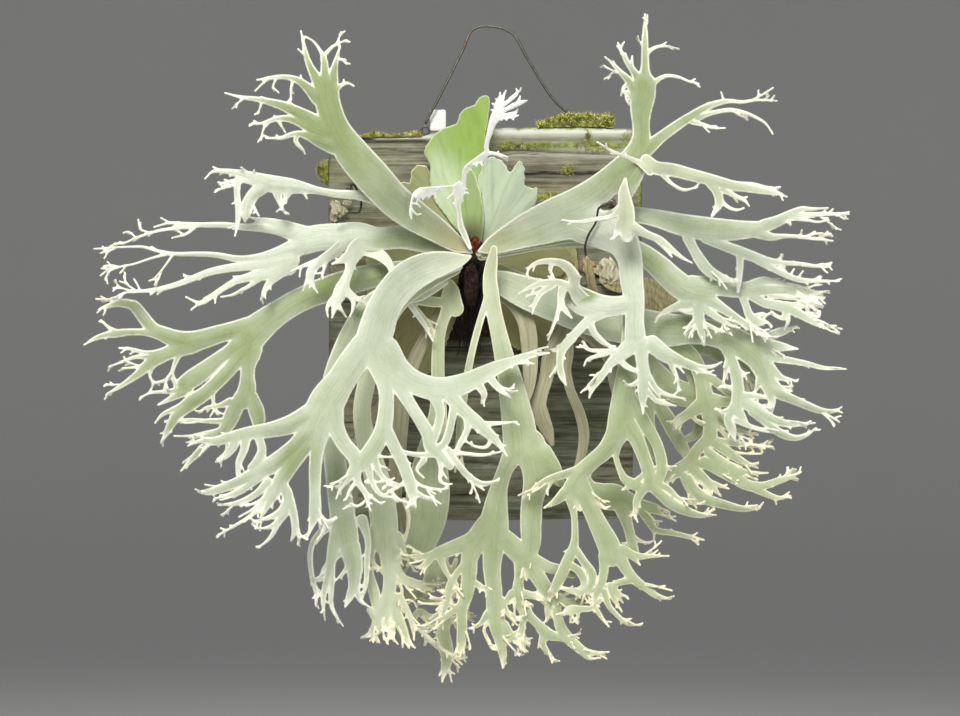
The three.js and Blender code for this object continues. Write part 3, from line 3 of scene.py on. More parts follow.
import bpy
import numpy as np
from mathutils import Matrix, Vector


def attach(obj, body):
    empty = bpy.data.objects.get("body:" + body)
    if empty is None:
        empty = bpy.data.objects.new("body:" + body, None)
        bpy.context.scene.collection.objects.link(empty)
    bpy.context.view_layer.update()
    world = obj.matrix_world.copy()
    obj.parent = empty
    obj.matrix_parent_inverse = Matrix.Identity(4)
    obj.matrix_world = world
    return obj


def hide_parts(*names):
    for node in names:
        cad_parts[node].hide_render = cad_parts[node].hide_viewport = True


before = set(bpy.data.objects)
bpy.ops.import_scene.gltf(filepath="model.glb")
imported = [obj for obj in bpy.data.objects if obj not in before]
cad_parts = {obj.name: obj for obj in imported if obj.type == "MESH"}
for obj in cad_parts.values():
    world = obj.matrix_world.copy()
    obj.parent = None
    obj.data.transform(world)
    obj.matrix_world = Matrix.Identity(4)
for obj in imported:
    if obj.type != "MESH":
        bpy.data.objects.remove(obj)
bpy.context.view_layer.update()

# ---- the frame of the drawing, as in the solid model, in millimetres -------------
EYE, GRID, EX, EZ, BOARD_T = 2000.0, 0.8, -4.0, -27.6, 25.0
BUD = (474.0, 252.0)


def place(px, py, depth):
    k = (EYE - depth) / EYE
    return np.stack([EX + (px - 480.0) * GRID * k, -BOARD_T - depth + 0 * px, EZ - (py - 358.0) * GRID * k], -1)


def smooth01(t):
    t = np.clip(t, 0.0, 1.0)
    return t * t * (3 - 2 * t)


def arch(order, px, py):
    r = np.hypot(px - BUD[0], py - BUD[1])
    s = 1 - np.exp(-((r / 108.0) ** 2)) - 0.12 * smooth01((r - 180) / 260)
    return 46 + 3.0 * order + (4 + 8.2 * order) * s


def pad_bump(px, py):
    return np.exp(-1.15 * (((px - 472) / 78.0) ** 2 + ((py - 266) / 64.0) ** 2))


def shield_depth(layer, px, py):
    return 4 + 3.5 * layer + 24 * pad_bump(px, py) + 0.13 * np.maximum(0, 235 - py)


def srgb(r, g, b):
    out = []
    for v in (r, g, b):
        v /= 255.0
        out.append(v / 12.92 if v <= 0.04045 else ((v + 0.055) / 1.055) ** 2.4)
    return (*out, 1.0)


# ---- noise in numpy, for mesh relief -----------------------------------------------
_lattice = np.random.RandomState(7).rand(256, 256)


def vnoise(x, y, seed=0):
    x = x + seed * 37.13
    y = y + seed * 17.71
    i, j = np.floor(x).astype(int), np.floor(y).astype(int)
    fx, fy = x - i, y - j
    fx, fy = fx * fx * (3 - 2 * fx), fy * fy * (3 - 2 * fy)
    a, b = _lattice[i % 256, j % 256], _lattice[(i + 1) % 256, j % 256]
    c, d = _lattice[i % 256, (j + 1) % 256], _lattice[(i + 1) % 256, (j + 1) % 256]
    return (a * (1 - fx) + b * fx) * (1 - fy) + (c * (1 - fx) + d * fx) * fy


def fractal(x, y, seed=0, octaves=4, gain=0.5):
    total, amp, norm = 0.0, 1.0, 0.0
    for o in range(octaves):
        total = total + amp * vnoise(x * 2**o, y * 2**o, seed + o * 3)
        norm += amp
        amp *= gain
    return total / norm


def blur(a, sigma):
    n = int(sigma * 3) + 1
    k = np.exp(-0.5 * (np.arange(-n, n + 1) / sigma) ** 2)
    k /= k.sum()
    a = np.apply_along_axis(lambda v: np.convolve(v, k, "same"), 0, a)
    return np.apply_along_axis(lambda v: np.convolve(v, k, "same"), 1, a)


# ---- meshes ---------------------------------------------------------------------------
def build(name, verts_mm, faces, material, smooth=True, attributes=None):
    """faces is a list of index arrays, each of equal-sized polygons: [n x 3, n x 4, ...]."""
    me = bpy.data.meshes.new(name)
    verts = np.asarray(verts_mm, dtype=np.float64) * 0.001
    faces = [np.asarray(f, dtype=np.int32) for f in faces if len(f)]
    loops = np.concatenate([f.ravel() for f in faces])
    sizes = np.concatenate([np.full(len(f), f.shape[1], dtype=np.int32) for f in faces])
    starts = np.concatenate([[0], np.cumsum(sizes)[:-1]]).astype(np.int32)
    me.vertices.add(len(verts))
    me.vertices.foreach_set("co", verts.astype(np.float32).ravel())
    me.loops.add(len(loops))
    me.loops.foreach_set("vertex_index", loops)
    me.polygons.add(len(sizes))
    me.polygons.foreach_set("loop_start", starts)
    me.polygons.foreach_set("use_smooth", np.full(len(sizes), smooth, dtype=bool))
    me.update(calc_edges=True)
    me.validate()
    for key, values in (attributes or {}).items():
        values = np.asarray(values, dtype=np.float32)
        kind = "FLOAT_VECTOR" if values.ndim == 2 else "FLOAT"
        layer = me.attributes.new(key, kind, "POINT")
        layer.data.foreach_set("vector" if values.ndim == 2 else "value", values.ravel())
    ob = bpy.data.objects.new(name, me)
    bpy.context.scene.collection.objects.link(ob)
    me.materials.append(material)
    return ob


def settle(ob, slot, *nodes):
    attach(ob, "root")
    if nodes:
        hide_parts(*nodes)
    return ob


class Heap:
    """Collects many small meshes into one."""

    def __init__(self):
        self.v, self.f3, self.f4, self.n, self.att = [], [], [], 0, {}

    def add(self, verts, tris=(), quads=(), **att):
        verts = np.asarray(verts, dtype=float)
        self.v.append(verts)
        if len(tris):
            self.f3.append(np.asarray(tris, dtype=int) + self.n)
        if len(quads):
            self.f4.append(np.asarray(quads, dtype=int) + self.n)
        for k, value in att.items():
            self.att.setdefault(k, []).append(np.broadcast_to(np.asarray(value, dtype=float), (len(verts),)))
        self.n += len(verts)

    def make(self, name, material, smooth=True):
        faces = [np.concatenate(f) for f in (self.f3, self.f4) if f]
        att = {k: np.concatenate(a) for k, a in self.att.items()}
        return build(name, np.concatenate(self.v), faces, material, smooth, att)


def spline(points, steps):
    """Centripetal curve through the points, as evenly spaced positions."""
    P = np.asarray(points, dtype=float)
    Q = np.vstack([2 * P[0] - P[1], P, 2 * P[-1] - P[-2]])
    out = []
    for i in range(1, len(Q) - 2):
        p0, p1, p2, p3 = Q[i - 1 : i + 3]
        t0 = 0.0
        t1 = t0 + max(np.linalg.norm(p1 - p0), 1e-6) ** 0.5
        t2 = t1 + max(np.linalg.norm(p2 - p1), 1e-6) ** 0.5
        t3 = t2 + max(np.linalg.norm(p3 - p2), 1e-6) ** 0.5
        for t in np.linspace(t1, t2, 24, endpoint=False):
            a1 = (t1 - t) / (t1 - t0) * p0 + (t - t0) / (t1 - t0) * p1
            a2 = (t2 - t) / (t2 - t1) * p1 + (t - t1) / (t2 - t1) * p2
            a3 = (t3 - t) / (t3 - t2) * p2 + (t - t2) / (t3 - t2) * p3
            b1 = (t2 - t) / (t2 - t0) * a1 + (t - t0) / (t2 - t0) * a2
            b2 = (t3 - t) / (t3 - t1) * a2 + (t - t1) / (t3 - t1) * a3
            out.append((t2 - t) / (t2 - t1) * b1 + (t - t1) / (t2 - t1) * b2)
    out.append(P[-1])
    out = np.array(out)
    s = np.concatenate([[0], np.cumsum(np.linalg.norm(np.diff(out, axis=0), axis=1))])
    u = np.linspace(0, s[-1], steps + 1)
    return np.stack([np.interp(u, s, out[:, k]) for k in range(3)], -1)


def tube(path, radius, sides=10, flat=1.0, up=(0.0, 0.0, 1.0)):
    """A closed tube round a path. radius may be one value for each point."""
    path = np.asarray(path, dtype=float)
    n = len(path)
    radius = np.broadcast_to(np.asarray(radius, dtype=float), (n,))
    tangent = np.gradient(path, axis=0)
    tangent /= np.linalg.norm(tangent, axis=1)[:, None] + 1e-12
    normal = np.zeros_like(path)
    ref = np.asarray(up, dtype=float)
    if abs(np.dot(ref, tangent[0])) > 0.9:
        ref = np.array([1.0, 0.0, 0.0])
    v = ref - np.dot(ref, tangent[0]) * tangent[0]
    normal[0] = v / np.linalg.norm(v)
    for i in range(1, n):
        v = normal[i - 1] - np.dot(normal[i - 1], tangent[i]) * tangent[i]
        normal[i] = v / (np.linalg.norm(v) + 1e-12)
    side = np.cross(tangent, normal)
    a = np.arange(sides) / sides * 2 * np.pi
    ring = path[:, None] + radius[:, None, None] * (np.cos(a)[None, :, None] * normal[:, None] + flat * np.sin(a)[None, :, None] * side[:, None])
    verts = np.concatenate([ring.reshape(-1, 3), path[:1], path[-1:]])
    i, j = np.meshgrid(np.arange(n - 1), np.arange(sides), indexing="ij")
    a0, a1 = i * sides + j, i * sides + (j + 1) % sides
    quads = np.stack([a0, a1, a1 + sides, a0 + sides], -1).reshape(-1, 4)
    j = np.arange(sides)
    caps = np.concatenate([np.stack([np.full(sides, n * sides), j, (j + 1) % sides], -1)[:, ::-1], np.stack([np.full(sides, n * sides + 1), (n - 1) * sides + (j + 1) % sides, (n - 1) * sides + j], -1)[:, ::-1]])
    return verts, caps, quads


# ---- materials -----------------------------------------------------------------------
class Nodes:
    def __init__(self, name):
        self.mat = bpy.data.materials.new(name)
        self.mat.use_nodes = True
        self.tree = self.mat.node_tree
        self.tree.nodes.clear()
        self.out = self.tree.nodes.new("ShaderNodeOutputMaterial")
        self.bsdf = self.tree.nodes.new("ShaderNodeBsdfPrincipled")
        self.link(self.bsdf.outputs[0], self.out.inputs[0])

    def link(self, a, b):
        self.tree.links.new(a, b)
        return a

    def set(self, **values):
        for k, v in values.items():
            self.bsdf.inputs[k.replace("_", " ")].default_value = v

    def value(self, socket, v):
        if hasattr(v, "is_output"):
            self.link(v, socket)
        else:
            socket.default_value = v

    def coords(self):
        return self.tree.nodes.new("ShaderNodeTexCoord").outputs["Object"]

    def attribute(self, name, out="Fac"):
        n = self.tree.nodes.new("ShaderNodeAttribute")
        n.attribute_name = name
        return n.outputs[out]

    def math(self, op, a, b=0.5, c=0.5, clamp=False):
        n = self.tree.nodes.new("ShaderNodeMath")
        n.operation = op
        n.use_clamp = clamp
        for s, v in zip(n.inputs, (a, b, c)):
            self.value(s, v)
        return n.outputs[0]

    def vec(self, op, a, b=(0, 0, 0)):
        n = self.tree.nodes.new("ShaderNodeVectorMath")
        n.operation = op
        self.value(n.inputs[0], a)
        self.value(n.inputs[1], b)
        return n.outputs[0]

    def noise(self, vector, scale, detail=3.0, rough=0.55, distortion=0.0):
        n = self.tree.nodes.new("ShaderNodeTexNoise")
        n.inputs["Scale"].default_value = scale
        n.inputs["Detail"].default_value = detail
        n.inputs["Roughness"].default_value = rough
        n.inputs["Distortion"].default_value = distortion
        self.link(vector, n.inputs["Vector"])
        return n.outputs["Fac"]

    def voronoi(self, vector, scale, feature="F1", out="Distance"):
        n = self.tree.nodes.new("ShaderNodeTexVoronoi")
        n.feature = feature
        n.inputs["Scale"].default_value = scale
        self.link(vector, n.inputs["Vector"])
        return n.outputs[out]

    def ramp(self, fac, *stops):
        n = self.tree.nodes.new("ShaderNodeValToRGB")
        r = n.color_ramp
        while len(r.elements) < len(stops):
            r.elements.new(0.5)
        for e, (p, c) in zip(r.elements, stops):
            e.position = p
            e.color = c if isinstance(c, tuple) else (c, c, c, 1)
        self.link(fac, n.inputs[0])
        return n.outputs[0]

    def range(self, v, a, b, c=0.0, d=1.0):
        n = self.tree.nodes.new("ShaderNodeMapRange")
        n.clamp = True
        self.value(n.inputs[0], v)
        for i, x in zip((1, 2, 3, 4), (a, b, c, d)):
            n.inputs[i].default_value = x
        return n.outputs[0]

    def mix(self, fac, a, b, blend="MIX"):
        n = self.tree.nodes.new("ShaderNodeMix")
        n.data_type = "RGBA"
        n.blend_type = blend
        self.value(n.inputs[0], fac)
        self.value(n.inputs[6], a)
        self.value(n.inputs[7], b)
        return n.outputs[2]

    def bump(self, height, distance, strength=1.0, normal=None):
        n = self.tree.nodes.new("ShaderNodeBump")
        n.inputs["Distance"].default_value = distance
        n.inputs["Strength"].default_value = strength
        self.link(height, n.inputs["Height"])
        if normal is not None:
            self.link(normal, n.inputs["Normal"])
        return n.outputs[0]

    def finish(self, color, rough=None, normal=None):
        self.link(color, self.bsdf.inputs["Base Color"])
        if rough is not None:
            self.value(self.bsdf.inputs["Roughness"], rough)
        if normal is not None:
            self.link(normal, self.bsdf.inputs["Normal"])
        return self.mat


def frond_material(name, silver, green, margin_felt_and_highlight, tip, sheen=0.25, stripes=0.35, rim_width=1.7, streaks=0.0, rusty=0.55):
    n = Nodes(name)
    pos = n.coords()
    edge, tipw, tone = n.attribute("edge"), n.attribute("tip"), n.attribute("tone")
    flow, calm = n.attribute("flow", "Vector"), n.attribute("calm")
    blotch = n.noise(pos, 45, 3)
    fine = n.noise(pos, 420, 4, 0.6)
    stripe = n.noise(n.vec("MULTIPLY", flow, (0.035, 0.9, 3.7)), 1.0, 3, 0.6)
    stripe = n.math("MULTIPLY_ADD", n.math("SUBTRACT", stripe, 0.5), calm, 0.5)
    vein = n.noise(n.vec("MULTIPLY", flow, (0.02, 0.42, 1.3)), 1.0, 2, 0.5)
    vein = n.math("MULTIPLY_ADD", n.math("SUBTRACT", vein, 0.5), calm, 0.5)
    # the blade's middle is greener than its felted sides. The mix from silver to green below is partly the blade's own
    # tone and partly painted shade: the green stands in for blade lying in shadow
    middle = n.range(edge, 1.4, 7.5, 0.0, 0.25)
    shade = n.math("ADD", n.math("ADD", tone, middle), n.math("MULTIPLY", n.math("SUBTRACT", blotch, 0.5), 0.8), clamp=True)
    body = n.mix(shade, silver, green)
    dark = n.mix(1.0, body, (0.68, 0.72, 0.60, 1), "MULTIPLY")
    body = n.mix(n.math("MULTIPLY", n.range(stripe, 0.45, 0.72), stripes), body, dark)
    body = n.mix(n.math("MULTIPLY", n.range(vein, 0.52, 0.62), 0.22 + streaks), body, dark)
    body = n.mix(n.math("MULTIPLY", n.range(fine, 0.5, 0.7), 0.24), body, dark)
    # brownish towards the bud: rust-coloured felt, and partly painted shade where the blades crowd together
    body = n.mix(n.math("MULTIPLY", n.attribute("root"), rusty), body, srgb(164, 158, 116))
    # the pale edge is the felt's own colour and partly a painted highlight where light catches the rolled edge
    wander = n.math("ADD", edge, n.math("MULTIPLY", n.math("SUBTRACT", fine, 0.5), 0.6))
    wander = n.math("ADD", wander, n.math("MULTIPLY", n.math("SUBTRACT", n.noise(pos, 110, 2), 0.5), 1.1))
    rim = n.math("MULTIPLY", n.range(wander, rim_width * 0.55, rim_width, 1.0, 0.0), 0.8)
    body = n.mix(rim, body, margin_felt_and_highlight)
    body = n.mix(n.math("MULTIPLY", tipw, 0.86), body, tip)
    felt = n.noise(pos, 1300, 3, 0.7)
    body = n.mix(n.range(felt, 0.35, 0.65, 0.26, 0.0), body, n.mix(1.0, body, (0.82, 0.83, 0.77, 1), "MULTIPLY"))
    h = n.math("ADD", n.math("MULTIPLY", stripe, 0.9), n.math("MULTIPLY", felt, 0.35))
    h = n.math("ADD", h, n.math("MULTIPLY", vein, 1.4))
    normal = n.bump(h, 0.0005, 0.6)
    n.set(Roughness=0.86, Sheen_Weight=sheen, Sheen_Roughness=0.55, Sheen_Tint=(1, 1, 0.95, 1), Specular_IOR_Level=0.28)
    n.bsdf.inputs["Subsurface Weight"].default_value = 0.0
    return n.finish(body, None, normal)




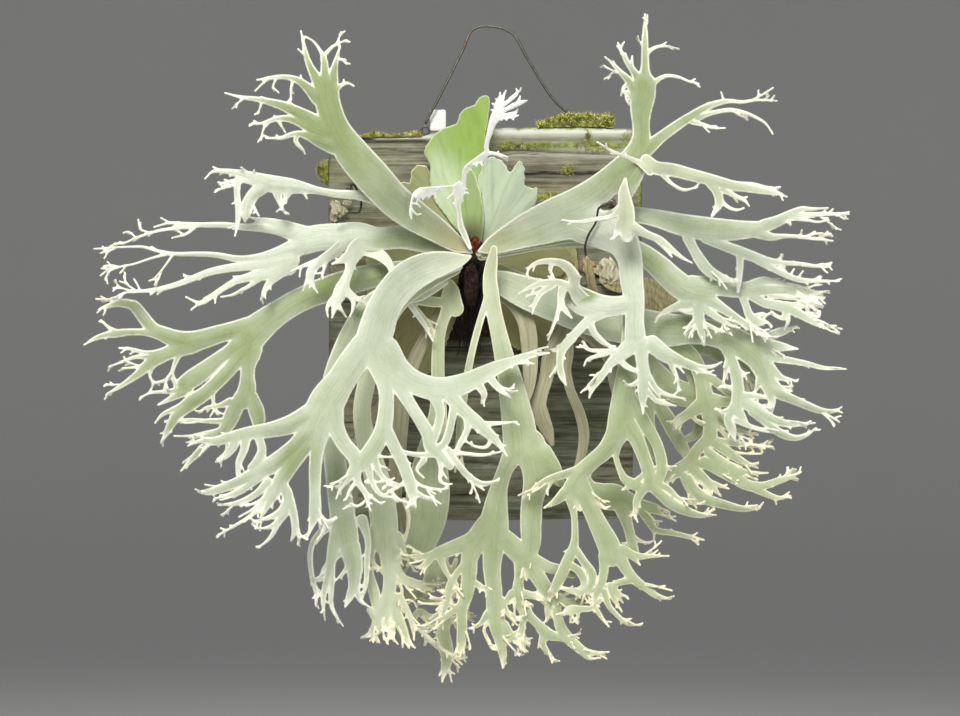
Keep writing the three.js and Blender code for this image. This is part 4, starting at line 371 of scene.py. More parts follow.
# ---- the fronds: one row a branch, as "x y half-width" points on the drawing ------------
# "@ name order" starts a frond, or "@ name from to reach" one whose order changes over
# that distance from its base; "+ from to reach" starts a branch group that curls forward
# over the same frond, and "- ..." is an open gap in its blade.
MIDRIBS = """
@ frond_upper_left 8.35
471 252 2.4, 464 248 5.4, 455 243 9, 435 229 13, 412 214 16, 392 198 17, 372 176 18, 352 153 17, 337 130 14, 329 108 13, 326 92 13, 325 84 11
320 86 7, 315 76 5.5, 309 64 4, 305 50 3, 301 31 1.2
310 62 2, 303 54 1.6, 298 49 1
326 84 7, 325 72 5, 324 60 4, 321 52 2.5, 314 42 1.8, 306 37 1
323 58 3, 328 51 2.5, 335 45 2, 347 40 1
336 45 1.6, 339 38 1.3, 341 32 1
332 84 7, 334 70 4.5, 337 58 3, 340 46 1.2
337 58 2, 342 60 1.4, 347 64 1
333 90 6, 340 86 3, 347 83 2, 354 86 1
318 98 8, 308 88 5.5, 297 80 4, 284 77 3.2, 270 78 2.6, 257 80 1.2
293 80 2.5, 291 90 1.8, 291 100 1
276 79 2, 273 86 1.4, 274 91 1
267 79 2, 260 86 1.5, 255 91 1
330 130 12, 318 124 9, 302 115 7, 286 107 5.5, 270 102 4.2, 255 99 3.2, 240 97 2.4, 225 93 1.2
244 98 2, 238 103 1.5, 232 109 1
262 101 2.4, 260 108 1.6, 258 114 1
322 133 9, 305 125 5.5, 290 119 4.2, 276 119 3.4, 264 123 2.4, 250 124 1.2
266 122 2.2, 263 131 1.6, 261 140 1
278 120 2.6, 282 127 1.8, 285 132 1
334 146 9, 320 141 7, 306 135 4.6, 294 134 3.4, 281 138 2.6, 266 138 1.2
297 135 3.2, 296 142 3, 303 150 2, 305 154 1
@ frond_upper_right 9.5
479.5 251 2.4, 487 248 6, 498 243 10.6, 525 231 17, 555 220 22, 582 211 25, 605 195 23, 623 176 19, 636 157 14, 641 140 10, 641 125 9, 641 110 11, 643 95 13, 644 84 12
645 82 8, 645 68 5, 645 50 4.2, 645 30 3.2, 645 14 1.2
646 54 3, 654 48 2.4, 664 46 2, 679 49 1
645 50 2, 641 44 1.5, 637 38 1
640 82 6, 634 72 4.2, 627 62 3.4, 622 53 2.4, 617 46 1
622 54 2, 621 48 1.5, 624 42 1
634 90 6, 628 80 4.4, 620 72 3.4, 612 63 2.4, 605 57 1
619 72 2, 612 73 1.5, 608 79 1
629 84 3.4, 623 88 2, 621 96 1
632 98 4, 626 92 2.4, 627 101 1.8, 633 110 1.2
648 88 6, 656 81 3.4, 666 76 2.6, 678 77 2.2, 688 81 1.8, 699 84 1
646 150 8, 660 138 6, 675 127 5.6, 690 117 5, 705 108 4.4, 718 103 3.6, 730 101 2.8, 742 102 2.4, 757 100 2, 777 101 1
724 101 2, 721 92 1
757 99 2, 760 94 1
697 118 4, 712 113 3, 730 110 2.8, 745 113 2.6, 757 118 2.2, 766 124 1.8, 773 134 1
735 112 2, 741 116 1.5, 747 118 1
692 122 3.4, 704 125 2.6, 715 128 2, 725 128 1
585 220 24, 605 228 22, 621 240 17, 629.5 258 13, 631.5 280 12, 634.5 300 10.4, 634.5 320 9.6, 635 336 11
630 304 9, 612 306.5 10.6, 598 306 12.4, 586 303 14, 576 297 12.4, 571 286 8, 572 277 4
600 314 6, 588 321 5, 578 331 5, 568 342 5, 561 353 4.6, 560 366 4.2, 562 376 4, 566 385 1.6
590 322 4.5, 594 333 4, 603 342 3.4, 613 348 1.6
572 339 4.6, 563 346 4, 553 351 2
632 345 9, 620 355 7, 610 364 5, 601 377 4.2, 593 387 3.6, 589 398 1.2
600 378 3, 592 383 1.2
616 352 4, 602 351 3, 590 350 2.4, 580 345 1
606 354 3, 594 357 2.6, 587 360 2, 584 366 1
618 358 4, 626 366 3.6, 636 371 2.8, 648 374 1
641 344 9, 642 360 6.5, 644 378 7, 643 394 5.5, 643 404 3.5, 643 414 1.2
641 381 4, 632 385 2.6, 624 385 1
648 378 5, 656 389 3.8, 668 395 2.6, 685 399 1
648 392 4, 657 401 3.2, 668 404 2.6, 676 406 1
652 344 9, 666 355 8, 682 362 5.5, 698 370 3.4, 716 376 1.2
686 362 4, 702 367 3, 714 366 2.4, 722 362 1
671 360 4.5, 673 369 3.4, 677 378 2.6, 679 388 1.2
678 366 2.4, 684 373 1
- 604 207 4, 611 205 4.4, 617 198 4
+ 9.45 12.5 44
626 170 1.6, 625 181 3.0, 624 193 6, 626 210 8.6, 626 222 9
622 208 5, 612 216 3.2, 596 219 2.8, 578 222 2.6, 562 220 1
622 224 7, 616 233 3.6, 613 239 1.2
626 228 7, 626 238 5, 632 239 1.5
634 228 6, 646 234 4.5, 660 240 4.2, 671 249 3.6, 681 257 2.6, 692 263 1
655 238 3.4, 663 246 3, 672 257 1.2
+ 9.6 12.2 40
646 160 6, 656 168 7, 672 170 7, 692 175 6.5, 712 180 6, 730 185 5.6, 748 188 4.8, 764 191 4, 777 193 3, 787 197 1
650 171 5, 638 162 3.4, 624 156 2.4, 610 150 1.8, 597 142 1
664 176 3.4, 672 184 2.4, 684 190 2.2, 697 187 1
709 182 5, 717 192 5, 719 204 4.6, 712 216 2
718 198 3.4, 728 207 2.4, 737 210 2, 744 208 1
722 189 4, 735 196 3, 744 200 2.6, 749 206 1.2
736 184 3, 752 184 2.4, 766 187 2, 779 188 1
+ 9.0 12.4 40
590 306 8, 580 298 8, 574 287 6, 574 277 6, 566 266 5.2, 554 261.5 4, 540 262 3.2, 530 267 2.2, 526.5 275 1
553 262 3, 550 270 2.6, 554 278 1.2
535 264 2, 533 271 1
572 289 5, 560 283 4.4, 546 283 4.2, 531 287 3.2, 518 294 1.2
548 284 3, 540 279 1.2
553 285 4, 541 293 3.4, 535 303 2.8, 532 314 1.2
541 292 3, 526 296 1.2
562 290 5, 561 302 3.8, 566 311 3.2, 572 318 1.4
561 302 4, 557 315 2.4, 553 326 2.2, 548 340 1.2
@ frond_left 5.6
466 256.5 5, 445 248.6 9, 422 240.5 12, 400 237 12, 378 239 12, 358 236.5 14.5, 340 237.5 14.5, 322 237.5 13.5, 304 241 14
306 236 10, 288 228 7, 270 222 4.5, 256 219 2.4, 249 217 1
300 236 9, 281 231 5.6, 262 228 4.6, 243 227 4, 222 225 3.6, 203 225 3.2, 186 224 2.6, 170 223 2, 154 227 1
170 223 1.8, 161 218 1
196 226 2.8, 178 228 2.4, 162 230 2.2, 150 233 2, 136 238 1.8, 124 243 1.4, 114 244 1
150 233 1.6, 140 229 1.2, 141 223 1
136 238 1.4, 129 232 1.2, 123 233 1
194 228 2.4, 186 234 2, 172 238 1
296 248 10, 276 254 6.5, 258 258 4.8, 238 259 4, 216 255 3.4, 196 254 3, 176 254 2.6, 158 251 2.2, 143 247 2, 126 247 1.6, 94 249 1
168 254 2.2, 152 258 1.8, 134 264 1.6, 119 267 1.4, 109 272 1.2, 105 280 1
118 267 1.4, 104 266 1
172 256 2, 165 266 1.6, 155 278 1.3, 149 281 1
290 260 10, 268 264 6.5, 250 266 5, 230 268 4.6, 210 272 4.2, 194 278 3.8, 178 284 3.4, 160 289 3, 144 291 2.4, 130 292 1.6
136 291 1.8, 127 284 1.3, 124 276 1
140 290 1.6, 137 284 1.2, 134 279 1
134 292 1.6, 121 288 1.3, 113 288 1
130 292 1.4, 121 294 1.2, 114 299 1
288 266 10, 268 273 7, 250 277 5, 236 281 4, 224 288 3.6, 212 296 3.4, 200 303 2.8, 186 297 1
205 301 2.4, 196 306 1.6, 191 310 1
216 294 2.4, 215 303 1
262 274 6, 252 284 3, 242 290 2.4, 232 295 2, 221 297 1
280 270 8, 270 282 4.5, 264 292 3, 261 300 1
+ 4.9 8.0 42
352 244 8, 342 248 8, 333 253 6, 324 259 5.4, 315 266 5, 310 276 4.8, 314 287 2.4, 318 293 1
312 272 4, 306 283 2.4, 303 291 1
316 262 4, 303 266 2.4, 291 271 1
326 258 4, 324 270 2, 321 278 1
+ 4.9 8.4 42
372 243 7, 362 245 9, 355 252 9, 351 262 6, 349 271 4.8, 345 281 5.6, 341 291 7.4, 337 301 5.4, 334 310 3.2, 332 318 1.2
348 257 6, 340 261 3.4, 332 264 1.4
342 292 5, 331 301 3.4, 327 309 2.2, 328 317 1
346 290 5, 353 300 3.4, 353 309 2.4, 350 317 1
351 294 3.6, 359 300 3, 367 303 2, 374 305 1
338 305 3.4, 342 311 2.2, 346 317 1
366 248 8, 377 253 6.5, 386 260 5.2, 393 269 3.2, 399 278 1.2
388 262 3.6, 391 273 2.4, 390 283 1.8, 388 290 1
@ frond_left_thin 7.2
464 249.4 4, 440 235.6 6, 415 222 6, 392 208 6, 374 199 6, 356 195 5, 338 194 4.6, 320 191 4.2, 304 188 6, 290 186 8, 272 184 9, 255 178 6, 238 173 4, 222 171 3, 212 172 2, 205 179 1
222 171 2, 213 167 1
255 176 3, 254 170 1
262 184 6, 248 181 3.6, 234 181 2.8, 219 184 1
240 182 2.4, 228 187 1.8, 216 190 1
262 188 7, 254 194 6.5, 248 204 6.5, 246 214 5, 245 222 1.4
252 204 3, 256 211 1.6, 259 216 1
277 190 6, 279 200 3.6, 282 208 2.4, 286 214 1
288 192 5, 285 200 2.6, 281 210 1.2
238 180 4, 237 192 3.8, 238 206 3.6, 238 220 3.2, 235 236 1.2
304 192 3, 307 199 1
@ frond_lower_left 4
460 262 5, 435 266 8, 405 270 10, 378 275 12, 352 281 13, 326 289.5 13, 300 300 12.5, 278 313 13, 262 325 15, 250 336 17
250 328 12, 232 331 9.5, 218 334.5 9.5, 200 340 10.5, 186 343 12, 172 338 9, 163 334 8, 153 329 7, 143 317 6.6, 135 307 6, 126 303 4
134 305 5, 118 303.5 4, 108 306 3, 99 309 1.2
128 302 3.6, 114 300 2.2, 96 299 1
168 335 7, 152 333 5, 142 332 4, 130 332 4, 116 333.5 4.6, 104 335.5 3.6, 94 339 2.8, 84 345 1
116 332 3.4, 108 327 2.4, 101 320 1.2
184 347 9, 168 353 7.4, 157 358 7.6, 147 366 6, 138 374 4.6, 127 382 3.4, 116 389 2.6, 106 395 1
162 352 4, 148 353 3, 138 351 2.6, 128 348.5 2.2, 119 348 1.2
150 357 4, 136 357 2.6, 124 361 2.2, 109 367 1
150 364 3.4, 136 367 2.2, 122 368.5 1.4
152 366 3.6, 150 376 2.2, 153 384 1.8, 149 393 1.2
153 383 1.8, 164 381 2.4, 172 376 2.4
179 354 4, 174 366 2.8, 172 376 2.6, 176 386 3, 172 395 1.6
244 342 12, 232 350 8, 220 358 7.4, 205 370 9.2, 192 379 9.6, 184 384 8
188 388 6, 174 391 3.6, 160 392 2.4, 150 393 2, 140 398 1.2
184 392 5, 170 399 3.4, 158 405 1.6
244 352 11, 234 364 8, 225 374 7.6, 214 385 7.4, 204 394 7.6, 192 402 8, 181 411 6.6, 173 421 5.2, 167 432 3.8, 161 443 1.4
184 406 5, 172 410 3.4, 162 415 2.6, 155 423 1.2
214 388 3.6, 213 396 2.8, 214 406 2.4, 218 414 2.4
230 402 5, 218 406 3, 206 408 2.4, 199 413 1.4
249 350 14, 248 364 8.6, 247.5 376 7.6, 247 390 9.6, 243 400 10
240 398 7, 234 411 8.6, 229 422 8, 222 432 6, 208 436 4.4, 195 440 3, 188 446 1
252 398 7, 256.4 411 8.4, 258.6 421 7.2, 259 429 5.4
224 421 4, 206 421 3, 190 420 2.6, 175 421 1.2
216 431 3, 204 433 2.4, 190 436 2, 174 436 1
214 436 4, 204 447 4.4, 193 458 3.8, 181 471 1.2
228 430 4, 228 444 3.4, 226 454 2.4, 220 463 1
@ frond_front_left 11.5
470 256.5 2.4, 462 259.5 5.6, 448 262 10.6, 428 267 15, 409 277 17, 394 292 17, 383 310 17, 377 328 18, 372 344 18
364 348 15, 352 364 15, 340 382 15, 328 400 18, 318 418 17
312 414 12, 292 424 10, 270 430 8, 250 433 7, 232 437 6, 216 441 5, 200 441 3, 188 446 1
236 438 6, 232 448 5, 225 456 4, 217 461 1.6
216 440 3, 205 448 2, 199 456 1
246 437 6, 244 450 4.6, 239 462 4, 238 474 3
258 436 5, 262 450 5, 258 462 6, 252 468 5
312 428 12, 298 444 9, 284 456 9, 270 466 9, 254 474 7, 238 482 5.6, 222 488 5, 208 492 4, 198 492 1.4
264 472 6, 250 484 4.6, 236 493 4, 214 499 1.2
268 482 5, 256 494 4, 238 503 3.4, 218 505 1.2
272 488 5, 262 500 3, 246 506 1.2
268 496 4, 258 506 2.6, 239 517 1
264 504 3, 252 515 2.6, 236 525 2.2, 217 536 1
306 446 8, 292 464 8, 281 480 8, 274 494 6, 266 508 3.6, 260 519 1.2
282 484 6, 288 498 6, 282 511 5, 268 518 3, 252 522 1
286 512 4.6, 276 524 4, 266 528 2.2, 256 528 1
278 524 3.4, 270 538 2.6, 258 548 1
290 500 5, 294 516 4.6, 295 530 4, 291 541 1.4
296 524 3, 299 536 2.6, 298 545 1
320 428 12, 317 450 7.5, 315 472 6.5, 315 494 6, 315 512 6.5, 312 524 4, 308 536 1.4
316 512 4, 326 522 3.4, 336 518 2.4
326 522 3, 322 534 2.6, 316 544 1.2
332 408 12, 336 428 9, 344 444 8, 354 456 8, 356 466 7, 350 476 5, 342 486 3, 336 499 1.2
352 474 4, 342 480 2.4, 330 484 1
356 468 6, 358 482 4, 366 494 3.4, 370 510 1.4
358 480 3, 350 490 2.4, 346 500 1
374 352 15, 382 370 12, 386 390 8, 386 410 8, 383 430 9, 376 444 9, 368 456 9, 362 464 8
374 456 5, 378 470 4, 386 480 3, 398 484 1.2
368 466 5, 372 482 3.6, 380 494 3, 394 498 1
386 430 7, 394 446 6.5, 403 464 6.5, 409 480 6.5, 412 492 6, 414 503 3, 416 507 1.3
390 372 11, 400 388 8, 410 404 6.5, 420 420 6.5, 428 434 7, 431 447 7, 440 455 5.5, 450 466 4.6
424 460 4, 417 470 2.4, 424 478 1.2
400 451 2.6, 412 454 3, 424 455 3.6, 434 454 4
412 480 3, 422 486 2.2, 434 489 2, 446 489 1.1
372 462 3, 380 466 2.2, 387 468 1.1
376 456 2.6, 386 457 1.8, 397 457 2
366 482 2.6, 376 482 2, 383 482 1.1
371 497 2.4, 378 502 1.8, 382 504 1.1
368 499 2.4, 358 506 1.8, 346 506 1.1
414 492 4, 424 497 3, 433 500 2.6, 441 504 1.2
410 480 4, 401 485 2.6, 391 491 2.4, 383 496 1.2
391 491 2.2, 398 499 2.2, 406 502 2, 413 504 2
438 456 3.6, 441 468 3, 440 480 2.6, 445 484 2, 452 484 1.1
386 350 14, 398 370 13, 416 383 12, 438 389 12, 460 385 11, 480 376 9, 498 367 7, 516 360 5, 534 354 4, 549 353 1.4
512 362 3.4, 524 362 3, 534 364 1
488 374 5, 494 383 4.4, 502 391 3.6, 511 398 1.2
498 386 2.6, 506 389 2, 514 388 1
478 384 5, 484 394 4, 482 403 2
450 396 8, 463 410 7, 476 422 7, 488 433 6, 498 443 4, 507 456 1.2
486 424 3.4, 502 423 2.4, 517 422 1
492 438 3, 486 447 2.4, 474 446 1.8, 464 440 1
436 398 7, 440 412 5.4, 438 426 5, 434 438 5
456 402 6, 452 418 4.6, 449 432 4.6, 444 444 4.6, 436 450 5
468 418 5, 467 430 4, 461 442 3.6, 455 452 2.6, 446 456 1.4
448 450 4, 458 464 4, 468 476 4, 482 484 3.6, 499 480 1
452 452 3, 468 454 2.6, 484 455 2.2, 500 452 1
470 476 3, 476 484 2.4, 484 490 1
@ frond_centre 12 7.0 190
494 249 4, 492 262 6, 490 276 7, 491 292 8, 494 312 8, 499 334 8.5, 504 356 10, 510 380 12.5, 515 405 15, 519 428 17, 520 448 17
476 582 2.4, 482 586 2.2, 488 592 1.6, 486 596 1.2
504 604 2, 512 602 2, 520 604 2, 524 610 1.6, 522 616 1.1
520 590 2.2, 530 594 2.4, 540 592 2.2, 550 594 2.6, 560 597 2.4, 570 592 2, 579 593 1.2
540 600 2.2, 548 606 2, 550 614 1.4
566 600 2.4, 576 604 2.4, 588 600 2, 600 596 1.4
488 622 2.4, 484 630 2.2, 488 640 2.4, 492 648 2.2, 496 650 1.4
498 628 3, 506 638 3, 516 642 3, 522 648 2.4, 525 652 1.4
510 636 2.4, 520 636 2.4, 529 640 1.6
489 296 5, 483 312 4, 477 332 4, 472 352 4, 468 372 4.2, 464 398 4, 460 424 4, 458 450 3, 455 472 1.4
514 452 11, 505 470 8, 499 488 9, 496 506 12, 494 524 15
528 446 18, 536 464 16, 536 482 13, 532 502 11, 531 522 11, 531 542 10, 528 560 7, 526 578 3
540 456 14, 552 470 10, 560 482 5
488 528 14, 474 540 10, 458 546 8, 442 552 7, 428 556 4.4, 414 556 3, 399 558 1.2
432 556 4.6, 426 564 4, 420 567 3, 413 566 1.2
426 564 3, 424 573 1.2
440 556 5, 444 568 3.6, 450 578 3, 457 585 2.4, 457 598 1
478 540 11, 470 556 9, 469 574 8, 467 592 7, 462 610 6, 462 628 5.4, 461 644 5, 459 657 1.8
466 600 4.6, 452 612 4, 438 621 3.2, 420 627 1.2
468 580 4.4, 480 586 3.2, 488 594 1.2
462 612 3.6, 448 604 2.6, 432 604 2, 418 603 1
455 590 3, 446 596 2.4, 440 590 1
470 560 6, 458 572 4, 450 586 4.6, 447 602 4, 442 616 2.6, 436 634 1.2
494 530 15, 493 550 11, 492 570 9, 494 590 8.4, 495 608 9, 497 624 8.6, 500 640 6, 503 656 4.4, 503 668 1.8
488 614 5, 480 624 3, 470 629 1.4
504 626 6, 511 636 4.4, 519 643 3, 525 652 1.2
502 600 4, 508 614 3, 517 625 1.2
506 540 10, 518 552 11, 530 566 9, 540 580 8, 549 594 7.4, 560 601 5.6, 574 602 4, 590 598 3, 600 590 1.4
520 558 7, 519 576 5, 518 592 6.4, 519 604 5, 522 616 2, 524 622 1
512 594 5, 504 604 3, 498 612 1
524 594 5, 534 596 4, 544 600 3
534 560 7, 548 567 6, 560 570 5.6, 572 574 5
550 598 6, 548 612 4, 547 622 1.4
556 604 5, 558 618 5.4, 562 630 6, 572 642 5.8, 584 651 4.6, 596 653 3, 609 652 1
578 648 4, 588 658 2.6, 600 658 1
526 604 4, 530 616 5, 538 624 5, 546 633 6.4, 560 638 4, 579 643 1.2
544 634 5, 543 645 4, 549 654 3, 556 662 1
541 640 3, 538 648 1.2
526 612 4.4, 522 626 4, 524 638 2.8, 530 642 1
524 628 3, 514 634 3, 504 634 2
@ frond_lower_right 7.9
484 255 4, 505 249 5, 540 242 6, 575 236 7, 602 240 8, 620 256 8, 629 280 8, 631 310 8, 630 340 9, 627 370 10, 624 395 12, 622 415 13.5, 618 432 12
594 584 2.4, 600 588 2.2, 598 594 2, 592 596 1.6, 588 592 1.2
564 588 2.2, 570 592 2.2, 578 594 1.8, 580 598 1.2
572 566 4.4, 579 571 4.6, 584 580 4.4, 583 588 3.4, 577 591 1.6
616 436 11, 606 450 9, 592 462 8, 580 474 9, 572 488 9
582 470 6, 566 474 4.8, 550 479 4.2, 536 487 3.2, 522 499 1.2
552 480 3, 549 487 2, 546 493 1
566 492 6.4, 556 501 4.4, 544 508 1.2
574 490 7, 575 500 5.4, 580 511 1.4
582 482 7, 590 494 5, 597 503 4, 606 509 1.2
570 498 5.4, 574 514 4, 575 532 4, 574 546 5, 568 560 6, 561 576 6, 554 590 5, 548 600 2
576 550 4.6, 584 562 4.6, 592 574 5, 590 586 4.6, 582 592 4, 572 590 3.2, 560 588 2
582 494 8, 591 510 8.6, 600 528 10, 608 544 11.5, 612 556 11
604 556 6, 604 570 5, 601 584 5, 596 596 4, 594 612 1.2
600 588 4, 588 592 3, 576 595 1.2
620 558 7, 626 569 6, 634 579 5.4, 646 588 4.2, 657 596 3.6, 671 599 1.2
630 580 4.4, 618 583 3.8, 612 588 4, 620 594 2.6, 628 597 1
614 588 4, 619 597 2.6, 623 603 1
610 586 4.4, 614 598 3.6, 622 612 1.2
604 592 4.6, 609 606 3.6, 618 616 3, 628 624 2.6, 641 625 1
600 600 3.4, 592 608 3.4, 580 609 4, 570 610 5, 562 615 2
596 609 3.4, 602 618 2.6, 609 627 1
572 612 3, 570 623 1
578 612 3, 578 624 1
622 550 6, 636 556 4.4, 652 556 2.6, 669 556 1
650 556 2, 658 550 1
634 558 3.6, 640 565 1.4
628 426 10, 636 438 8, 642 452 7, 647 466 7, 650 478 7, 648 486 6
618 440 6, 616 456 3.6, 620 470 3.6, 626 480 5, 638 486 6
630 486 4, 622 490 1.4
644 488 5.4, 637 500 4.4, 636 510 3.4, 635 519 1.2
650 484 6, 660 494 5.6, 672 504 6, 686 511 5, 700 515 3.6, 716 515 1.2
654 482 5, 668 489 4, 678 498 3, 690 503 2.4, 704 504 1
631 396 6, 638 411 7, 646 426 7, 655 440 6, 660 454 6, 662 468 6, 658 480 6
638 480 4, 650 470 3, 662 468 3, 676 466 1
@ frond_right 6.8
479 253 4, 505 246 6, 540 238 7, 575 232 8, 605 222 8, 630 215 8, 655 218 9, 678 224 11, 700 228 12, 722 230 11.5, 742 230 9.6, 758 229 8
764 226 7, 778 221 6, 792 214 5, 802 209 3.4, 812 209 2.4, 828 208 1
790 217 4.4, 806 215 3, 824 214 2.8, 838 214 2.2, 849 212 1
828 214 2, 833 209 1
836 215 2, 848 219 1
790 218 3.4, 806 220 2.2, 818 222 1.8, 829 220 1
758 233 6, 772 237 4.4, 786 236 2.8, 802 237 2.6, 818 239 2.4, 833 241 1
800 237 2.2, 802 230 1
706 238 6, 722 245 5.4, 738 251 5.8, 754 257 5.6, 768 261 4.4, 784 263 3.2, 800 264 2.8, 814 266 2.4, 830 267 1
758 260 5, 772 268 4, 786 275 3.6, 800 280 3.4, 816 281 2.6, 839 281 1
778 264 2.4, 786 272 1.8
790 276 2.2, 794 269 1
798 278 2, 803 271 1
812 281 2, 820 276 1
740 252 5, 740 266 4, 739 280 3.6, 738 292 2
688 238 6, 693 248 5.4, 700 260 6, 709 271 6, 722 278 4.6, 736 281 2
@ frond_right_low 5.8
481 257 4, 510 251 5, 550 243 6, 590 240 8, 618 243 9, 640 252 10, 658 266 12, 674 281 13, 690 292 13, 706 296 11
770 302 2.6, 785 304 2.6, 800 306.5 2.4, 812 305 2, 820 303 1.2
806 306 1.8, 813 308 1.6, 815 311 1.1
780 308 2.8, 795 311 2.6, 808 315 2.4, 818 317 2, 820 312.5 1.2
700 298 8, 698 312 6.4, 701 328 5.4, 704 345 2
698 318 4, 690 326 3, 684 334 1.2
700 322 3, 692 332 2, 689 338 1
690 302 7, 676 307 4.6, 665 312 3.4, 656 318 1.2
706 298 8, 722 308 5.4, 738 319 4.4, 752 328 4, 764 336 2.4, 776 337 1
704 308 5, 718 318 4, 732 325 3, 740 328 1
701 322 3.4, 711 327 3, 721 331 2.4, 731 333 1
770 296 3.4, 790 298 2.6, 806 301 2, 817 303 1
692 312 3.4, 685 312 2.6, 680 307 1.2
714 314 3, 724 322 2.6, 720 332 1.2
692 284 9, 712 286 9, 732 289 8.6, 750 290 7.6, 768 290 6, 786 290 5, 802 292 4, 816 293 3, 829 291 1
748 286 5, 764 281 5, 778 283 3.2, 792 287 2.4, 806 288 2, 818 284 1
790 292 4, 806 297 3.2, 824 299 1.2
748 292 6, 758 299 5.4, 770 305 4.6, 786 304 3.2, 802 306 2.6, 812 304 2, 822 302 1
810 304 2, 816 310 1
768 303 4.6, 782 307 5.4, 796 312 5, 808 319 4.2, 820 325 3.2, 832 327 2.2, 842 329 1
812 318 3, 818 316 2, 820 311 1
786 310 4.4, 784 318 3.4, 776 316 2.2, 769 313 1
788 316 3, 788 322 2.6, 784 330 1
742 294 5, 746 306 4.4, 750 316 5, 758 322 5, 766 322 2.6, 772 326 1
752 318 4, 762 314 2.6, 768 315 1
@ frond_right_drooping 4.4
490 276 6, 506 284 13, 530 294 17, 556 302 20, 584 312 21, 612 321 20, 640 327 19, 668 330 17, 694 330 14, 718 335 13, 740 344 14, 756 356 13, 764 370 11, 768 384 8
748 344 10, 766 345 7, 782 347 5, 798 349 1.4
752 338 5, 766 336 4.4, 780 332 5, 790 329 3, 797 326 1
760 352 8, 776 358 5, 792 361 4, 808 364 3.4, 824 368 2.8, 846 369 1
770 368 6, 780 377 4, 790 380 2.6, 798 381 1
770 380 6, 780 388 3.8, 792 391 1.2
768 386 7, 780 394 6, 794 400 5, 808 406 4.6, 822 411 3.8, 834 411 2.6, 842 407 1
768 390 5.4, 772 401 4.4, 772 412 1.6
760 380 5, 757 388 3, 753 394 1.2
726 344 8, 731 358 6, 736 374 6.4, 738 390 6.6, 737 406 7
734 408 6, 728 418 5, 732 430 5, 735 441 1.6
738 412 6, 744 420 4, 749 425 1.2
730 410 4, 722 412 3, 716 408 1.4
742 402 6, 756 410 5.6, 772 419 5, 788 424 4, 802 424 2.8, 815 423 1
752 412 4.6, 768 424 4.4, 782 434 4.6, 796 438 3.6, 808 434 2.6, 816 428 1
780 432 3, 788 431 1.2
742 396 5, 756 396 3.6, 768 398 2
743 398 4, 756 404 3, 768 411 2.2, 771 413 1
730 352 4, 727 364 3.6, 725 376 2.6, 723 383 1
738 370 3.4, 744 374 2.4, 747 380 1
731 388 3, 724 386 2.4, 718 388 1
736 420 4, 752 427 3, 768 431 2.6, 784 433 1
@ frond_right_back 3.3
488 281 5, 515 294 7, 550 308 8, 590 322 9, 630 334 10, 664 343 10, 686 352 9, 698 368 8, 703 386 8, 706 402 10
700 406 8, 688 414 5.4, 678 421 5, 675 429 2
690 414 3, 698 422 2.6, 704 426 1
708 410 8, 710 424 7, 710 438 8
708 440 7, 697 450 6, 690 462 7, 678 469 6, 666 478 5.4, 656 486 3
690 466 6, 703 478 5.4, 712 487 4.4, 721 496 1.2
708 482 4, 718 485 3, 729 489 1.2
694 462 5, 710 467 4, 726 470 3, 742 473 1.4
714 442 6, 728 452 5.4, 742 461 4, 758 468 1.2
708 452 5, 722 463 5.6, 738 471 5, 752 473 3, 768 473 1.2
704 462 6, 718 468 7.4, 734 477 7, 748 485 6, 762 486 4.6, 778 481 4, 790 477 3, 801 472 1
750 486 5, 764 493 4, 778 498 3, 791 496 1
714 400 7, 728 402 5, 742 398 3
699 371 6, 713 380 5, 726 390 5, 738 399 4
711 418 3.2, 719 428 3, 727 437 2.4, 733 441 1
704 447 3.4, 717 456 3, 730 464 2.8, 742 471 1.4
692 470 3, 697 480 2.4, 705 487 1
716 406 5, 720 420 4.6, 730 428 4, 742 432 3, 758 434 1
688 480 6, 694 490 6, 706 499 6, 722 504 5, 738 508 4, 750 509 3, 761 507 1
684 476 5, 688 488 4, 692 498 3, 697 503 1.2
716 440 4, 732 443 3.6, 750 445 3, 773 447 1.4
680 472 5, 668 480 3
@ frond_inner_left 6.6
458 266 5, 432 274 7, 402 288 8, 378 298 9, 362 312 9, 350 332 9, 340 354 9, 332 378 9, 330 404 10, 330 430 10, 334 456 11, 338 484 12, 342 512 13, 346 538 13
338 530 8, 334 548 7, 330 566 5, 326 584 4, 323 602 3, 325 620 1
332 560 4, 332 582 3.4, 331 602 3, 335 614 2.4, 343 626 1
350 548 11, 354 566 9, 354 584 6, 350 596 4.6, 345 607 1.6
356 588 4, 360 600 3, 369 607 1.2
342 552 4, 326 566 3, 319 579 1.4
352 560 4, 344 572 2.6, 335 581 1.2
326 528 5, 314 540 3.6, 310 556 3.4, 312 576 3.2, 316 592 3, 316 606 1.4
312 578 2.4, 319 596 1.2
362 520 6, 368 540 4, 367 562 3.6, 366 584 3, 362 600 1.2
@ frond_bottom_left 5.2
456 270 5, 432 282 6, 404 300 7, 386 325 8, 374 355 9, 366 385 9, 362 412 9, 366 440 10, 374 468 12, 380 494 14, 384 520 14, 386 545 12
404 500 3, 409 518 2.4, 406 536 2.2, 401 552 2.2, 398 566 2.4, 399 574 1.6
375 564 1.6, 382 571 3, 392 577 3.4, 404 582 3.2, 418 587 3, 432 590 1.6
388 575 3, 386 590 3, 387 606 2.6, 391 622 2.4, 394 640 1.8
386 600 2.4, 392 612 2.2, 396 624 1.8, 402 634 1.4
402 600 3, 408 612 2.8, 416 624 2.6, 426 636 2.6, 438 646 2.4, 450 654 2.2, 460 658.5 2, 467 657.4 1.2
398 582 2.4, 402 590 2.2, 400 600 1.8, 392 606 1.4
408 600 2, 414 602 1.6, 417 608 1.2
370 610 4, 376 618 5, 381 624 5, 378 631 4, 371 635 3, 363 637 1.6
388 556 9, 390 576 7, 388 596 7, 382 610 8, 378 622 6, 371 633 3.6, 361 638 1.2
